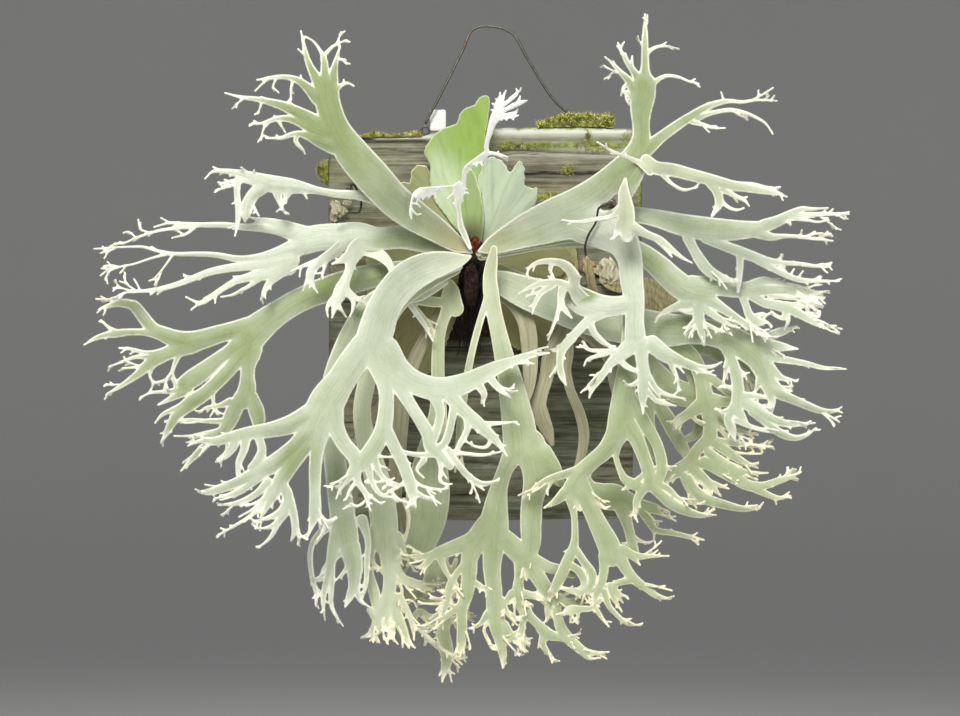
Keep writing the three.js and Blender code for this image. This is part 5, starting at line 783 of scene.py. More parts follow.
376 528 7, 371 550 5, 369 572 5, 374 592 6, 377 608 5
394 560 5, 402 576 4, 412 582 4.6, 428 586 4, 440 582 1.6
390 580 4, 387 602 4, 388 622 4.4, 394 641 1.8
394 596 5, 396 612 6, 402 628 5.4, 408 641 3.6, 415 648 1.2
400 596 4, 408 612 3.4, 413 628 3, 414 640 1.2
398 536 5, 402 552 4, 396 564 2.6
396 552 5, 388 566 3.6, 376 568 2, 374 560 1
@ frond_bottom_back 3.6
450 284 5, 451 296 9.5, 447 310 6.4, 440 332 6, 438 356 6.6, 438 384 7, 438 412 9, 434 440 13, 430 468 18, 428 494 22, 426 520 20, 420 545 15
440 602 3, 430 602 3, 420 603 2.4, 418 605 1.2
452 548 3, 446 560 3, 452 572 3, 462 584 3, 470 590 1.6
456 560 3, 452 574 3, 455 588 3, 450 600 3, 441 606 1.6
460 616 3, 450 620 3, 438 624 3, 424 628 2, 419 627 1.2
446 628 2.4, 440 634 1.6, 435 638 1.0
456 622 4, 462 634 4, 461 646 3.6, 457 656 1.8
451 297 9.5, 455 308 9
447 302 5, 434 302 5.4, 420 300 5.4, 409 300 4
409 300 4, 415 308 3.6, 423 318 3.6, 430 328 3.8, 433 336 2
428 552 10, 432 570 8, 428 586 7, 418 594 5, 404 596 4, 390 590 1.4
436 560 6, 444 580 5, 448 600 5.4, 446 618 6, 443 632 7, 446 648 7.4, 447 660 6, 444 671 4, 442 682 1.4
440 618 4.4, 428 618 5, 420 612 4.4, 414 620 3.4, 424 634 3.4, 436 645 3.4, 450 655 3, 467 657 1
412 552 7, 404 566 5, 398 580 4, 390 586 1.4
446 600 4, 456 606 3, 466 616 3, 476 616 1.2
@ frond_old_right 2.2
489 290 5, 497 294 6, 507 298 7, 518 307 8, 526 322 8.6, 529 340 8.6, 530 358 8, 530 374 7, 529 390 5, 527 404 2
@ frond_old_centre 1.4
494 286 4, 520 294 5, 545 306 6, 561 318 7.6, 564 330 9, 558 343 8.4, 550 357 8, 546 378 7, 541 394 7, 539 406 7.4, 542 418 8, 548 432 6, 552 444 3
564 330 6, 568 350 6, 566 370 5.4, 571 392 5, 579 411 5.4, 584 432 5.6, 582 452 5, 576 474 4
562 322 5, 580 330 6, 596 340 7, 610 358 7, 616 378 8, 618 398 6, 612 414 4
@ frond_old_left 1.7
453 295 4, 443 310 5, 428 334 6, 412 366 7, 403 400 8, 400 430 8, 397 462 8, 394 492 8, 392 516 9, 391 540 8, 390 560 3
410 380 5, 392 396 5, 376 412 6, 363 430 6, 357 448 4, 355 472 4, 355 498 3.4, 352 522 1.4
398 500 4, 404 520 4, 408 540 3.4, 411 556 1.4
388 500 4, 381 522 3.4, 377 546 2.6, 374 570 1.2
@ frond_right_inner 1.95
500 267 4, 530 281 5, 566 302 6, 602 330 8, 636 352 9, 656 372 10, 672 388 12, 690 396 12, 704 392 8
664 384 8, 660 404 7, 668 420 8, 676 436 7, 684 450 6, 690 462 3
690 400 7, 700 418 6, 696 434 5, 684 440 4
676 360 4, 688 371 4.6, 694 386 4.6, 695 399 4
640 352 6, 668 351 6.5, 690 350 6, 706 350 5.6, 720 358 5.4, 733 370 5, 744 384 4, 750 396 2
704 350 5, 722 350 5, 738 358 5, 750 369 4.8, 759 381 4, 763 394 2.4
650 372 6, 650 400 6, 648 424 7, 654 446 7, 660 462 5
@ frond_low_right_back 2.45
494 280 4, 530 293 5, 568 308 6, 598 324 6, 618 345 6, 626 370 7, 624 396 7.5, 616 424 7.5, 605 450 6.5, 592 463 6, 583 477 8, 589 490 10, 602 496 13, 614 497 13.5, 628 502 10, 642 506 7, 658 510 5, 672 519 1.6
622 508 8, 628 526 5.6, 632 542 5.4, 636 554 4
631 536 4, 640 541 2.6, 650 543 1
630 544 3, 622 543 1.2
640 508 5, 648 520 4.6, 656 530 4, 672 533 3.4, 690 537 3, 704 540 1.4
654 522 3, 662 521 1.2
654 530 3, 654 538 1.4
@ frond_young_inner 4.2
446 283 2.6, 433 291 3.2, 420 297 4.6, 409 301 3.6, 414 310 3.2, 424 324 2.8, 433 341 1.2
424 296 2.4, 419 291 1.2
412 300 2.4, 405 303 1.1
417 314 1.8, 413 317 1.0
427 329 1.6, 431 328 1.0
@ frond_young_top 10
470 248 2.2, 467 241 3.0, 464 234 3.5, 461 227 3.5, 459.8 219 2.9, 459 212 2.8, 458 206 3.4, 458 200 3.8
458 209 2.4, 454.6 205 1.5, 453.3 203 1.0
458.5 183 2.0, 457.5 187 4.4, 457.5 192 5.4, 459.3 197 4.4, 460.3 200.5 3.4
461 198 2.4, 463.3 201.3 1.0
453 194 1.8, 450 196.5 1.3, 447.3 199 1.0
463 194 1.8, 466.5 192.6 1.2, 468.6 193.6 1.0
464 188 2.2, 466.8 189.2 1.0
459 184 2.2, 459.6 181.3 1.0
455 187.5 2.6, 451 186.4 1.5, 446 186.7 1.2, 440 187.6 1.9, 435 189.6 3.4, 430 191.4 4.8, 425 192.2 5.2, 420 194 4.4, 416.6 196.6 2.4
421 189.6 2.6, 415.5 192.6 2.1, 412.7 198 1.7, 411.2 205 1.5, 410.6 212 1.7, 411.4 218.8 1.2
435 193 2.2, 436.3 198.2 1.0
419 198 2.0, 417 201.9 1.0
412.6 203.5 1.4, 416 203.8 1.2, 418.6 205 1.1, 420 206.9 1.0
412 209 1.4, 414.2 212.4 1.2, 417 214.6 1.3, 420.8 213.8 1.0
430 195 2.0, 428.4 198.2 1.0
424 196.5 2.0, 422.6 199.4 1.0
440 189 1.3, 442 190.8 1.0
463 190 2.8, 464 180 2.8, 464.3 174 2.8, 465.6 169.6 2.7, 468.2 166.4 2.9, 472 163.6 3.2, 476 161 3.4, 480 159 4.1, 484 156 4.0, 486.6 152.6 3.0, 486.4 147 2.7, 487.6 140 2.6, 489.3 134 3.1, 491 128 3.6, 493 122 4.2, 495 118 5.0, 496.4 113 4.6
481 161 2.4, 482 165.6 1.0
485 158 2.6, 487.8 162.2 1.1
476 163 2.0, 476.5 166 1.0
472 165 1.9, 470.8 167.6 1.0
487 153.4 2.8, 493 153.4 2.1, 499 154.9 2.1, 504 156.8 2.2, 507.8 157.6 1.1
504 157.4 1.6, 507.4 160.8 1.0
497 153.6 1.4, 498.4 151.4 1.0
494.6 111 2.4, 491 109.7 1.0
495 105.4 2.0, 492 103.3 1.0
497 112 4.2, 498 106 4.0, 499 101 3.2, 500.2 96.4 1.8, 500.1 92.4 1.0
498 101.4 2.0, 495.8 98.7 1.0
501 104 2.4, 503 99 1.8, 504 94.8 1.5, 506 90.6 1.0
499 110 3.0, 503 105.4 2.3, 508 101.5 2.3, 512 98 2.4, 515.8 94.6 2.1, 517.4 92 1.4, 516.2 88.8 1.0
517.6 92.4 1.3, 520 90.5 1.3, 520.9 88.2 1.1
499 114 3.4, 505 109.9 2.3, 510 107.4 2.6, 515 105 2.9, 519 103.5 2.6, 523 101.8 2.1, 526.8 100.7 1.0
517.5 102.8 2.0, 519.4 99 1.5, 520 96.4 1.0
499 117 4.0, 504 116.4 3.2, 508 115.8 3.2, 512 114.6 3.0, 516 111.8 1.8, 517.7 109.4 1.0
511 116.6 2.3, 515 116.4 1.6, 518.2 115.4 1.0
507 117.6 1.9, 506.4 120 1.0
512 117.2 1.9, 513.4 119.8 1.0
500 118 2.2, 501.6 120.2 1.0
"""


def parse(text):
    fronds, sheet = [], None
    for line in text.splitlines():
        line = line.strip()
        if not line or line.startswith("#"):
            continue
        if line.startswith("@"):
            w = line.split()[1:]
            name, a = w[0], float(w[1])
            b, reach = (float(w[2]), float(w[3])) if len(w) > 2 else (a, 1.0)
            sheet = {"from": a, "to": b, "reach": reach, "strokes": [], "gaps": []}
            fronds.append({"name": name, "sheets": [sheet]})
        elif line.startswith("+"):
            a, b, reach = (float(v) for v in line.split()[1:])
            sheet = {"from": a, "to": b, "reach": reach, "strokes": [], "gaps": []}
            fronds[-1]["sheets"].append(sheet)
        else:
            gap = line.startswith("-")
            pts = [tuple(float(v) for v in p.split()) for p in line.lstrip("-").split(",")]
            sheet["gaps" if gap else "strokes"].append(pts)
    return fronds


def curve(pts, n=4, shrink=0.5, least=1.05):
    P = np.array(pts)
    Q = np.vstack([2 * P[0] - P[1], P, 2 * P[-1] - P[-2]])
    out = []
    for i in range(1, len(Q) - 2):
        p0, p1, p2, p3 = Q[i - 1 : i + 3]
        for k in range(n):
            t = k / n
            out.append(0.5 * (2 * p1 + (p2 - p0) * t + (2 * p0 - 5 * p1 + 4 * p2 - p3) * t * t + (3 * p1 - p0 - 3 * p2 + p3) * t**3))
    out.append(P[-1])
    out = np.array(out)
    out[:, 2] = np.maximum(out[:, 2] - shrink * smooth01((7 - out[:, 2]) / 4.5), least)
    return out


def along_at(S, s, at):
    return np.array([np.interp(at, s, S[:, k]) for k in range(3)])


def turned(d, angle):
    c, s = math.cos(angle), math.sin(angle)
    return np.array([d[0] * c - d[1] * s, d[0] * s + d[1] * c])


def with_spurs(strokes, rng, bounds, amount, reach_tip):
    """Adds the short knobs and forked ends that the slender tips carry.

    Returns the strokes and, for each, None or the paleness and girth of its parent there.
    """
    out, grown = list(strokes), [None] * len(strokes)
    (bx0, by0), (bx1, by1) = bounds
    for S in strokes:
        seg = np.hypot(*np.diff(S[:, :2], axis=0).T)
        s = np.concatenate([[0], np.cumsum(seg)])
        L = s[-1]
        if S[-1, 2] > 3.2 or L < 11:
            continue
        side = rng.choice([-1, 1])
        reach = min(reach_tip, 0.75 * L)
        shoots = []
        if rng.rand() < 0.5 * amount:
            shoots.append((L - rng.uniform(1.5, 3.5), rng.uniform(3.0, 6.5), rng.uniform(0.45, 0.8)))
        a = L - rng.uniform(6, 13)
        while a > 0.28 * L and len(shoots) < 4:
            if rng.rand() < 0.55 * amount:
                shoots.append((a, min(2.4 + rng.gamma(2.0, 1.5), 10.5), rng.uniform(0.5, 1.15)))
            a -= rng.uniform(7, 17)
        for u, length, angle in shoots:
            p, q = along_at(S, s, u), along_at(S, s, min(u + 1.5, L))
            d = q[:2] - p[:2]
            d /= np.hypot(*d) + 1e-9
            side = -side if rng.rand() < 0.7 else side
            d = turned(d, side * angle)
            hook = -side * rng.uniform(-0.2, 0.75)
            w = min(p[2] * 0.85, 1.2 + 0.14 * length)
            pts, here = [[*p[:2], max(w, 1.3)]], p[:2] + d * p[2] * 0.5
            for k in range(3):
                here = here + d * length / 3
                d = turned(d, hook / 3)
                pts.append([*here, max(1.0, w * (1 - 0.24 * (k + 1)))])
            end = pts[-1]
            if not (bx0 < end[0] < bx1 and by0 < end[1] < by1):
                continue
            out.append(np.array(pts))
            grown.append((max(0.0, 1 - (L - u) / reach), p[2]))
            if length > 6.5 and rng.rand() < 0.5:
                q2 = np.array(pts[2][:2])
                d2 = turned(d, side * rng.uniform(0.5, 0.9))
                fork = q2 + d2 * rng.uniform(2.2, 3.6)
                if bx0 < fork[0] < bx1 and by0 < fork[1] < by1:
                    out.append(np.array([pts[2], [*fork, 1.0]]))
                    grown.append((max(0.0, 1 - (L - u) / reach), p[2]))
    return out, grown


def second_fingers(sheet, seed, amount):
    """Slender fingers that part from the outer branches and stand a little in front of them."""
    rng = np.random.RandomState(seed)
    strokes = [curve(s) for s in sheet["strokes"]]
    allp = np.concatenate(strokes)
    lo, hi = allp[:, :2].min(0), allp[:, :2].max(0)
    out = []
    for S in strokes:
        seg = np.hypot(*np.diff(S[:, :2], axis=0).T)
        s = np.concatenate([[0], np.cumsum(seg)])
        L = s[-1]
        if S[-1, 2] > 3.2 or L < 18:
            continue
        for _ in range(1 + (L > 55) + (amount > 0.7)):
            if rng.rand() > amount:
                continue
            u = max(L - rng.uniform(14, 40), L * rng.uniform(0.25, 0.5))
            p, q = along_at(S, s, u), along_at(S, s, min(u + 2.0, L))
            d = q[:2] - p[:2]
            d /= np.hypot(*d) + 1e-9
            side = rng.choice([-1, 1])
            d = turned(d, side * rng.uniform(0.15, 0.5))
            length = min((L - u) * rng.uniform(0.65, 1.05), 34.0)
            hook = side * rng.uniform(-0.7, 0.35)
            w = min(p[2] * 0.7, rng.uniform(2.0, 3.4))
            here, pts = p[:2], [(p[0], p[1], w)]
            for k in range(5):
                d = turned(d, hook / 5)
                here = here + d * length / 5
                pts.append((here[0], here[1], max(1.0, w * (1 - 0.15 * (k + 1)) * rng.uniform(0.85, 1.1))))
            if not (lo[0] < pts[-1][0] < hi[0] and lo[1] < pts[-1][1] < hi[1]):
                continue
            pts[-1] = (pts[-1][0], pts[-1][1], 1.2)
            out.append(pts)
            if length > 15 and rng.rand() < 0.6:
                k = rng.randint(2, 5)
                d2 = turned(d, -side * rng.uniform(0.5, 1.0))
                a = np.array(pts[k])
                e = a[:2] + d2 * rng.uniform(4, 8)
                out.append([(a[0], a[1], max(1.2, a[2] * 0.8)), ((a[0] + e[0]) / 2, (a[1] + e[1]) / 2, 1.3), (e[0], e[1], 1.0)])
    return out


# how many such fingers
SECOND = {
    "frond_right": 0.55, "frond_right_low": 0.75, "frond_right_drooping": 0.7, "frond_right_back": 0.8, "frond_lower_right": 0.65, "frond_centre": 0.75,
    "frond_bottom_left": 0.9, "frond_bottom_back": 0.8, "frond_front_left": 0.4, "frond_lower_left": 0.3, "frond_upper_right": 0.25, "frond_left": 0.25,
    "frond_low_right_back": 0.8, "frond_right_inner": 0.6,
}
# silver-green base tone of each frond, and how far it turns green away from the bud
# the greener tone of the back fronds is partly painted shade, as if they lay in the shadow of the fronds in front
TONE_AND_SHADE = {
    "frond_upper_left": (0.42, 0.85), "frond_upper_right": (0.30, 0.75), "frond_left": (-0.3, -0.1), "frond_left_thin": (0.0, -0.1),
    "frond_lower_left": (0.50, 0.65), "frond_front_left": (-0.05, 0.22), "frond_centre": (0.25, 0.45), "frond_lower_right": (0.3, 0.5),
    "frond_right": (0.1, 0.15), "frond_right_low": (0.15, 0.25), "frond_right_drooping": (0.1, 0.35), "frond_right_back": (0.45, 0.5),
    "frond_inner_left": (0.2, 0.3), "frond_bottom_left": (0.1, 0.05), "frond_bottom_back": (0.4, 0.3), "frond_right_inner": (0.45, 0.45), "frond_low_right_back": (0.5, 0.5),
}
# where a blade shows more (or less) of its green: x, y, half-width, half-height, how much. Some of these are painted
# shade: greener where a blade lies in shadow under another frond
GREEN_AND_SHADE_PATCHES = {
    "frond_upper_right": ((634, 300, 60, 90, -0.7), (560, 216, 60, 16, -0.25), (582, 292, 16, 9, 1.2)),
    # painted shade: greener where this blade lies in shadow
    "frond_left": ((408, 240, 34, 12, 0.75),),
    # the first patch here is painted shade, greener where this blade lies in shadow
    "frond_lower_left": ((334, 280, 18, 20, 0.35), (290, 330, 60, 30, -0.1)),
    "frond_right": ((690, 222, 60, 8, 0.2),),
    "frond_right_low": ((648, 258, 20, 16, 0.3),),
    "frond_front_left": ((300, 460, 18, 26, 0.45),),
    "frond_inner_left": ((446, 300, 16, 18, -0.9),),
    "frond_young_top": ((463, 228, 9, 24, 1.3),),
}
# how far the rust-coloured felt round the bud shows on each; partly painted shade, where the blades crowd together at
# the bud
RUST_AND_SHADE = {"frond_upper_left": 1.5, "frond_upper_right": 0.95, "frond_left": 0.8, "frond_front_left": 0.45, "frond_centre": 0.3, "frond_inner_left": 0.3}
# how white the slender branches are, short of their tips
WHITE_BRANCH = {"frond_left": 0.7, "frond_left_thin": 0.75, "frond_right": 0.5, "frond_right_low": 0.55, "frond_lower_left": 0.25, "frond_upper_left": 0.55, "frond_upper_right": 0.5,
                "frond_front_left": 0.5, "frond_centre": 0.25, "frond_lower_right": 0.3}
SPACING = 1.25   # of the mesh on the drawing
MARGIN = 6.0


def blade_fields(sheet, seed, reach_tip=16.0, spurs=1.0, fine=False):
    """Signed distance to the blade's outline on a grid, with what each point's branch says."""
    H, BLEND = (0.55, 0.7) if fine else (SPACING, 1.3)
    rng = np.random.RandomState(seed)
    strokes = [curve(s, 4, 0.2, 0.85) if fine else curve(s) for s in sheet["strokes"]]
    reach = np.concatenate(strokes)
    strokes, grown = with_spurs(strokes, np.random.RandomState(seed + 500), (reach[:, :2].min(0), reach[:, :2].max(0)), spurs, reach_tip)
    gaps = [curve(s) for s in sheet["gaps"]]
    allp = np.concatenate(strokes)
    x0, y0 = (allp[:, :2] - allp[:, 2:]).min(0) - MARGIN
    x1, y1 = (allp[:, :2] + allp[:, 2:]).max(0) + MARGIN
    xs, ys = np.arange(x0, x1 + H, H), np.arange(y0, y1 + H, H)
    X, Y = np.meshgrid(xs, ys)
    D = np.full(X.shape, 50.0)
    first, second = np.full(X.shape, 50.0), np.full(X.shape, 50.0)
    along, across, tip, curl, label, girth, lean = (np.zeros(X.shape) for _ in range(7))
    for n, S in enumerate(strokes):
        is_tip = S[-1, 2] <= 3.2
        parent = grown[n]
        bend = rng.uniform(-1, 1) if rng.rand() < 0.8 else rng.uniform(-2, 2)
        seg = np.hypot(*np.diff(S[:, :2], axis=0).T)
        s = np.concatenate([[0], np.cumsum(seg)])
        r = S[:, 2].max() + MARGIN
        i0 = max(0, int((S[:, 1].min() - r - y0) / H)); i1 = min(len(ys), int((S[:, 1].max() + r - y0) / H) + 2)
        j0 = max(0, int((S[:, 0].min() - r - x0) / H)); j1 = min(len(xs), int((S[:, 0].max() + r - x0) / H) + 2)
        x, y = X[i0:i1, j0:j1], Y[i0:i1, j0:j1]
        d = np.full(x.shape, 50.0)
        sa, sv, sr = np.zeros(x.shape), np.zeros(x.shape), np.zeros(x.shape)
        twist = rng.uniform(-1, 1)
        for k in range(len(S) - 1):
            (ax, ay, ar), (bx, by, br) = S[k], S[k + 1]
            dx, dy = bx - ax, by - ay
            L2 = dx * dx + dy * dy + 1e-9
            t = np.clip(((x - ax) * dx + (y - ay) * dy) / L2, 0, 1)
            q = np.hypot(x - ax - t * dx, y - ay - t * dy) - (ar + (br - ar) * t)
            near = q < d
            d = np.where(near, q, d)
            sa = np.where(near, s[k] + t * seg[k], sa)
            sv = np.where(near, ((x - ax) * dy - (y - ay) * dx) / np.sqrt(L2), sv)
            sr = np.where(near, ar + (br - ar) * t, sr)
        w = D[i0:i1, j0:j1]
        h = np.clip(0.5 + 0.5 * (w - d) / BLEND, 0, 1)
        D[i0:i1, j0:j1] = w * (1 - h) + d * h - BLEND * h * (1 - h)
        f, g = first[i0:i1, j0:j1], second[i0:i1, j0:j1]
        win = d < f
        second[i0:i1, j0:j1] = np.where(win, f, np.minimum(g, d))
        first[i0:i1, j0:j1] = np.where(win, d, f)
        if parent:
            sr = np.maximum(sr, parent[1] * (1 - 0.45 * sa / s[-1]))
        for field, v in ((along, sa), (across, sv), (label, n + 1.0), (girth, sr), (lean, sv * twist)):
            part = field[i0:i1, j0:j1]
            field[i0:i1, j0:j1] = np.where(win, v, part)
        if is_tip:
            left = s[-1] - sa
            reach = min(reach_tip, 0.75 * s[-1])
            c = np.clip(1 - left / reach, 0, 1)
            if parent:
                c = parent[0] + (1 - parent[0]) * 0.6 * sa / s[-1]
            part = tip[i0:i1, j0:j1]
            tip[i0:i1, j0:j1] = np.where(win, c, part)
            part = curl[i0:i1, j0:j1]
            curl[i0:i1, j0:j1] = np.where(win, c * c * bend + (0.25 * bend * sa / s[-1] if parent else 0.0), part)
        else:
            for field in (tip, curl):
                part = field[i0:i1, j0:j1]
                field[i0:i1, j0:j1] = np.where(win, 0.0, part)
    for S in gaps:
        d = np.full(X.shape, 50.0)
        for k in range(len(S) - 1):
            (ax, ay, ar), (bx, by, br) = S[k], S[k + 1]
            dx, dy = bx - ax, by - ay
            t = np.clip(((X - ax) * dx + (Y - ay) * dy) / (dx * dx + dy * dy + 1e-9), 0, 1)
            d = np.minimum(d, np.hypot(X - ax - t * dx, Y - ay - t * dy) - (ar + (br - ar) * t))
        D = np.maximum(D, -d)
    calm = np.clip((second - first) / 4.0, 0, 1)
    return X, Y, D, {"along": along, "across": across, "label": label, "tip": tip, "curl": curl, "calm": calm, "girth": girth, "lean": lean}


def contour_mesh(D):
    """Polygons of the region D < 0: ids of inside points, then of cuts on the grid's edges."""
    inside = D < 0
    ny, nx = D.shape
    pid = np.full(D.shape, -1)
    pid[inside] = np.arange(inside.sum())
    n = int(inside.sum())
    ch = inside[:, :-1] != inside[:, 1:]
    cv = inside[:-1, :] != inside[1:, :]
    hid = np.full(ch.shape, -1); hid[ch] = n + np.arange(ch.sum()); n2 = n + int(ch.sum())
    vid = np.full(cv.shape, -1); vid[cv] = n2 + np.arange(cv.sum()); n3 = n2 + int(cv.sum())
    code = inside[:-1, :-1] * 1 + inside[:-1, 1:] * 2 + inside[1:, 1:] * 4 + inside[1:, :-1] * 8
    # well inside the outline four cells make one, which keeps the corners that its neighbours use
    by, bx = (ny - 1) // 2, (nx - 1) // 2
    well = D < -2.0
    merged = np.ones((by + 2, bx + 2), bool)
    for a in range(3):
        for b in range(3):
            merged[1:-1, 1:-1] &= well[a:a + 2 * by:2, b:b + 2 * bx:2][:by, :bx]
    merged[0], merged[-1], merged[:, 0], merged[:, -1] = False, False, False, False
    J, I = np.nonzero(merged)
    open_side = [~merged[J - 1, I], ~merged[J, I + 1], ~merged[J + 1, I], ~merged[J, I - 1]]
    sides = sum(o.astype(int) << k for k, o in enumerate(open_side))
    blocks = []
    for kind in range(16):
        y, x = 2 * (J[sides == kind] - 1), 2 * (I[sides == kind] - 1)
        if len(y):
            ring = [(0, 0), (0, 1), (0, 2), (1, 2), (2, 2), (2, 1), (2, 0), (1, 0)]
            blocks.append(np.stack([pid[y + a, x + b] for k, (a, b) in enumerate(ring) if k % 2 == 0 or kind >> (k // 2) & 1], -1))
    whole = code == 15
    for a in range(2):
        for b in range(2):
            part = whole[a:a + 2 * by:2, b:b + 2 * bx:2][:by, :bx]
            part &= ~merged[1:-1, 1:-1]
    jj, ii = np.nonzero(whole)
    quads = np.stack([pid[jj, ii], pid[jj, ii + 1], pid[jj + 1, ii + 1], pid[jj + 1, ii]], -1)
    polys = {3: [], 4: [], 5: [], 6: []}
    for j, i in zip(*np.nonzero((code > 0) & (code < 15))):
        c = code[j, i]
        corner = (pid[j, i], pid[j, i + 1], pid[j + 1, i + 1], pid[j + 1, i])
        edge = (hid[j, i], vid[j, i + 1], hid[j + 1, i], vid[j, i])
        p = []
        for k in range(4):
            a, b = c >> k & 1, c >> ((k + 1) % 4) & 1
            if a:
                p.append(corner[k])
            if a != b:
                p.append(edge[k])
        polys[len(p)].append(p)
    faces = [quads] + blocks + [np.array(v) for v in polys.values() if v]
    kept = np.zeros(n3, bool)
    kept[n:] = True
    for f in faces:
        kept[f] = True
    renumber = np.cumsum(kept) - 1
    faces = [renumber[f] for f in faces]
    inner = kept[:n]
    # where each id lies, as weights on two grid points
    J, I = np.nonzero(inside)
    J, I = J[inner], I[inner]
    n, n3 = len(J), n3 - n + len(J)
    hj, hi = np.nonzero(ch)
    vj, vi = np.nonzero(cv)
    th = np.clip(D[hj, hi] / (D[hj, hi] - D[hj, hi + 1]), 0.04, 0.96)
    tv = np.clip(D[vj, vi] / (D[vj, vi] - D[vj + 1, vi]), 0.04, 0.96)
    ja = np.concatenate([J, hj, vj]); ia = np.concatenate([I, hi, vi])
    jb = np.concatenate([J, hj, vj + 1]); ib = np.concatenate([I, hi + 1, vi])
    t = np.concatenate([np.zeros(n), th, tv])

    def pick(F):
        return F[ja, ia] * (1 - t) + F[jb, ib] * t

    return faces, n, n3, pick


def two_sided(faces, n, total):
    """The back of the blade shares the rim's points with the front."""
    back = np.arange(total)
    back[:n] = total + np.arange(n)
    out = []
    for f in faces:
        out.append(f[:, ::-1])
        out.append(back[f])
    return out


def frond_piece(frond, number, material, slot, thick=1.6, cup=3.0, wave=1.0, white=0.55, spurs=1.0, fine=False):
    H = 0.55 if fine else SPACING
    parts, base = [], 0
    faces_all, verts_all, att = [], [], {k: [] for k in ("edge", "tip", "tone", "calm", "root", "flow")}
    tone0, tone1 = TONE_AND_SHADE.get(frond["name"], (0.0, 0.0))
    sheets = list(frond["sheets"])
    if SECOND.get(frond["name"]):
        main = sheets[0]
        more = second_fingers(main, 900 + number, SECOND[frond["name"]])
        if more:
            sheets.append({"from": main["from"], "to": main["to"], "reach": main["reach"], "strokes": more, "gaps": [], "root": main["strokes"][0][0][:2]})
    for n, sheet in enumerate(sheets):
        X, Y, D, F = blade_fields(sheet, number * 31 + n, spurs=spurs, fine=fine)
        rx, ry = sheet.get("root", sheet["strokes"][0][0][:2])
        order = sheet["from"] + (sheet["to"] - sheet["from"]) * smooth01(np.hypot(X - rx, Y - ry) / sheet["reach"])
        R = np.hypot(X - BUD[0], Y - BUD[1])
        far = smooth01((R - 30) / 90)
        depth = arch(order, X, Y) + (0.5 if n and "root" not in sheet else 0.0)
        if "root" in sheet:
            depth = depth - 1.2 + 5.5 * blur(smooth01(F["along"] / 20.0), 1.6 / H)
        # the blade is channelled near the bud and crowned further out, and waves a little
        e = np.clip(-D, 0, 40)
        crown = blur(1 - np.exp(-((e / 6.5) ** 1.6)), 1.2 / H)
        depth = depth + cup * crown * (-0.55 + 1.55 * smooth01((R - 45) / 70)) - 0.2 * cup * far
        depth = depth + far * (2.0 * np.sin(X / 41 + Y / 67 + 1) + 1.6 * np.sin(Y / 53 - X / 88 + 2.1))
        depth = depth + wave * far * 1.3 * np.sin(X / 19.0 + number * 1.7) * np.sin(Y / 23.0 + number * 2.3)
        depth = depth + blur(F["curl"], 1.6 / H) * 6.5 * (0.35 + 0.65 * far)
        # each branch is turned a little about its own length
        slim = np.clip(1.25 - F["girth"] / 12.0, 0.25, 1)
        depth = depth + blur(F["lean"] * F["calm"] * slim, 1.8 / H) * 0.5 * far
        half = 0.5 * thick * np.sqrt(1 - (1 - np.clip(-D / 1.5, 0, 1)) ** 2)
        faces, ni, total, pick = contour_mesh(D)
        px, py, dep, hf = pick(X), pick(Y), pick(depth), pick(half)
        hf[ni:] = 0.0
        front = place(px, py, dep + hf)
        rear = place(px[:ni], py[:ni], dep[:ni] - hf[:ni])
        verts_all.append(np.concatenate([front, rear]))
        faces_all += [f + base for f in two_sided(faces, ni, total)]
        base += total + ni
        # the frond's tone towards green: partly its own colour, partly painted shade
        green = tone0 + (tone1 - tone0) * smooth01((R - 60) / 170)
        # greener patches, some of them painted shade
        for cx, cy, rx_, ry_, more in GREEN_AND_SHADE_PATCHES.get(frond["name"], ()):
            green = green + more * smooth01(1.6 - np.hypot((X - cx) / rx_, (Y - cy) / ry_)) * (n == 0)
        values = {
            "edge": np.clip(-D, 0, 30) * GRID,
            "tip": np.clip(blur(np.maximum(F["tip"], white * smooth01((4.4 - F["girth"]) / 2.9)), 1.5 / H), 0, 1) * (0.25 + 0.75 * far),
            "tone": green,
            "calm": F["calm"],
            "root": np.clip((1 - smooth01((R - 4) / 74)) * RUST_AND_SHADE.get(frond["name"], 0.6), 0, 1.5),
        }
        if n:
            values["tip"] = np.clip(values["tip"] + (0.08 if "root" in sheet else 0.30), 0, 1)
        for k, v in values.items():
            v = pick(v)
            att[k].append(np.concatenate([v, v[:ni]]))
        fl = np.stack([pick(F["along"]), pick(F["across"]), pick(F["label"]) + number * 40], -1)
        att["flow"].append(np.concatenate([fl, fl[:ni]]))
    by_size = {}
    for f in faces_all:
        by_size.setdefault(f.shape[1], []).append(f)
    faces = [np.concatenate(v) for v in by_size.values()]
    ob = build(frond["name"] + "_blade", np.concatenate(verts_all), faces, material, True, {k: np.concatenate(v) for k, v in att.items()})
    return settle(ob, slot, frond["name"])


# the silver is the blade's colour in light; the green is partly its own colour and partly its colour in shade, painted
# in wherever the tone turns green
SILVER, GREEN_AND_SHADE = srgb(208, 214, 196), srgb(144, 158, 108)
CREAM, WHITE = srgb(240, 240, 222), srgb(250, 249, 240)
blade_green = frond_material("frond_felt", SILVER, GREEN_AND_SHADE, CREAM, srgb(246, 244, 228))
blade_low = frond_material("frond_felt_lower", srgb(204, 210, 184), srgb(144, 158, 106), srgb(238, 236, 204), srgb(246, 240, 212), rim_width=1.3)
blade_young = frond_material("frond_white_felt", srgb(250, 251, 246), srgb(206, 212, 182), srgb(254, 254, 250), srgb(254, 254, 248), sheen=0.8, stripes=0.08, rusty=0.25)
blade_old = frond_material("frond_dry", srgb(190, 184, 158), srgb(140, 132, 102), srgb(214, 208, 184), srgb(200, 186, 154), sheen=0.1, stripes=0.9, rim_width=0.8, streaks=0.5)
LOW = {"frond_bottom_left", "frond_bottom_back", "frond_right_back", "frond_right_inner", "frond_low_right_back", "frond_lower_right", "frond_centre"}
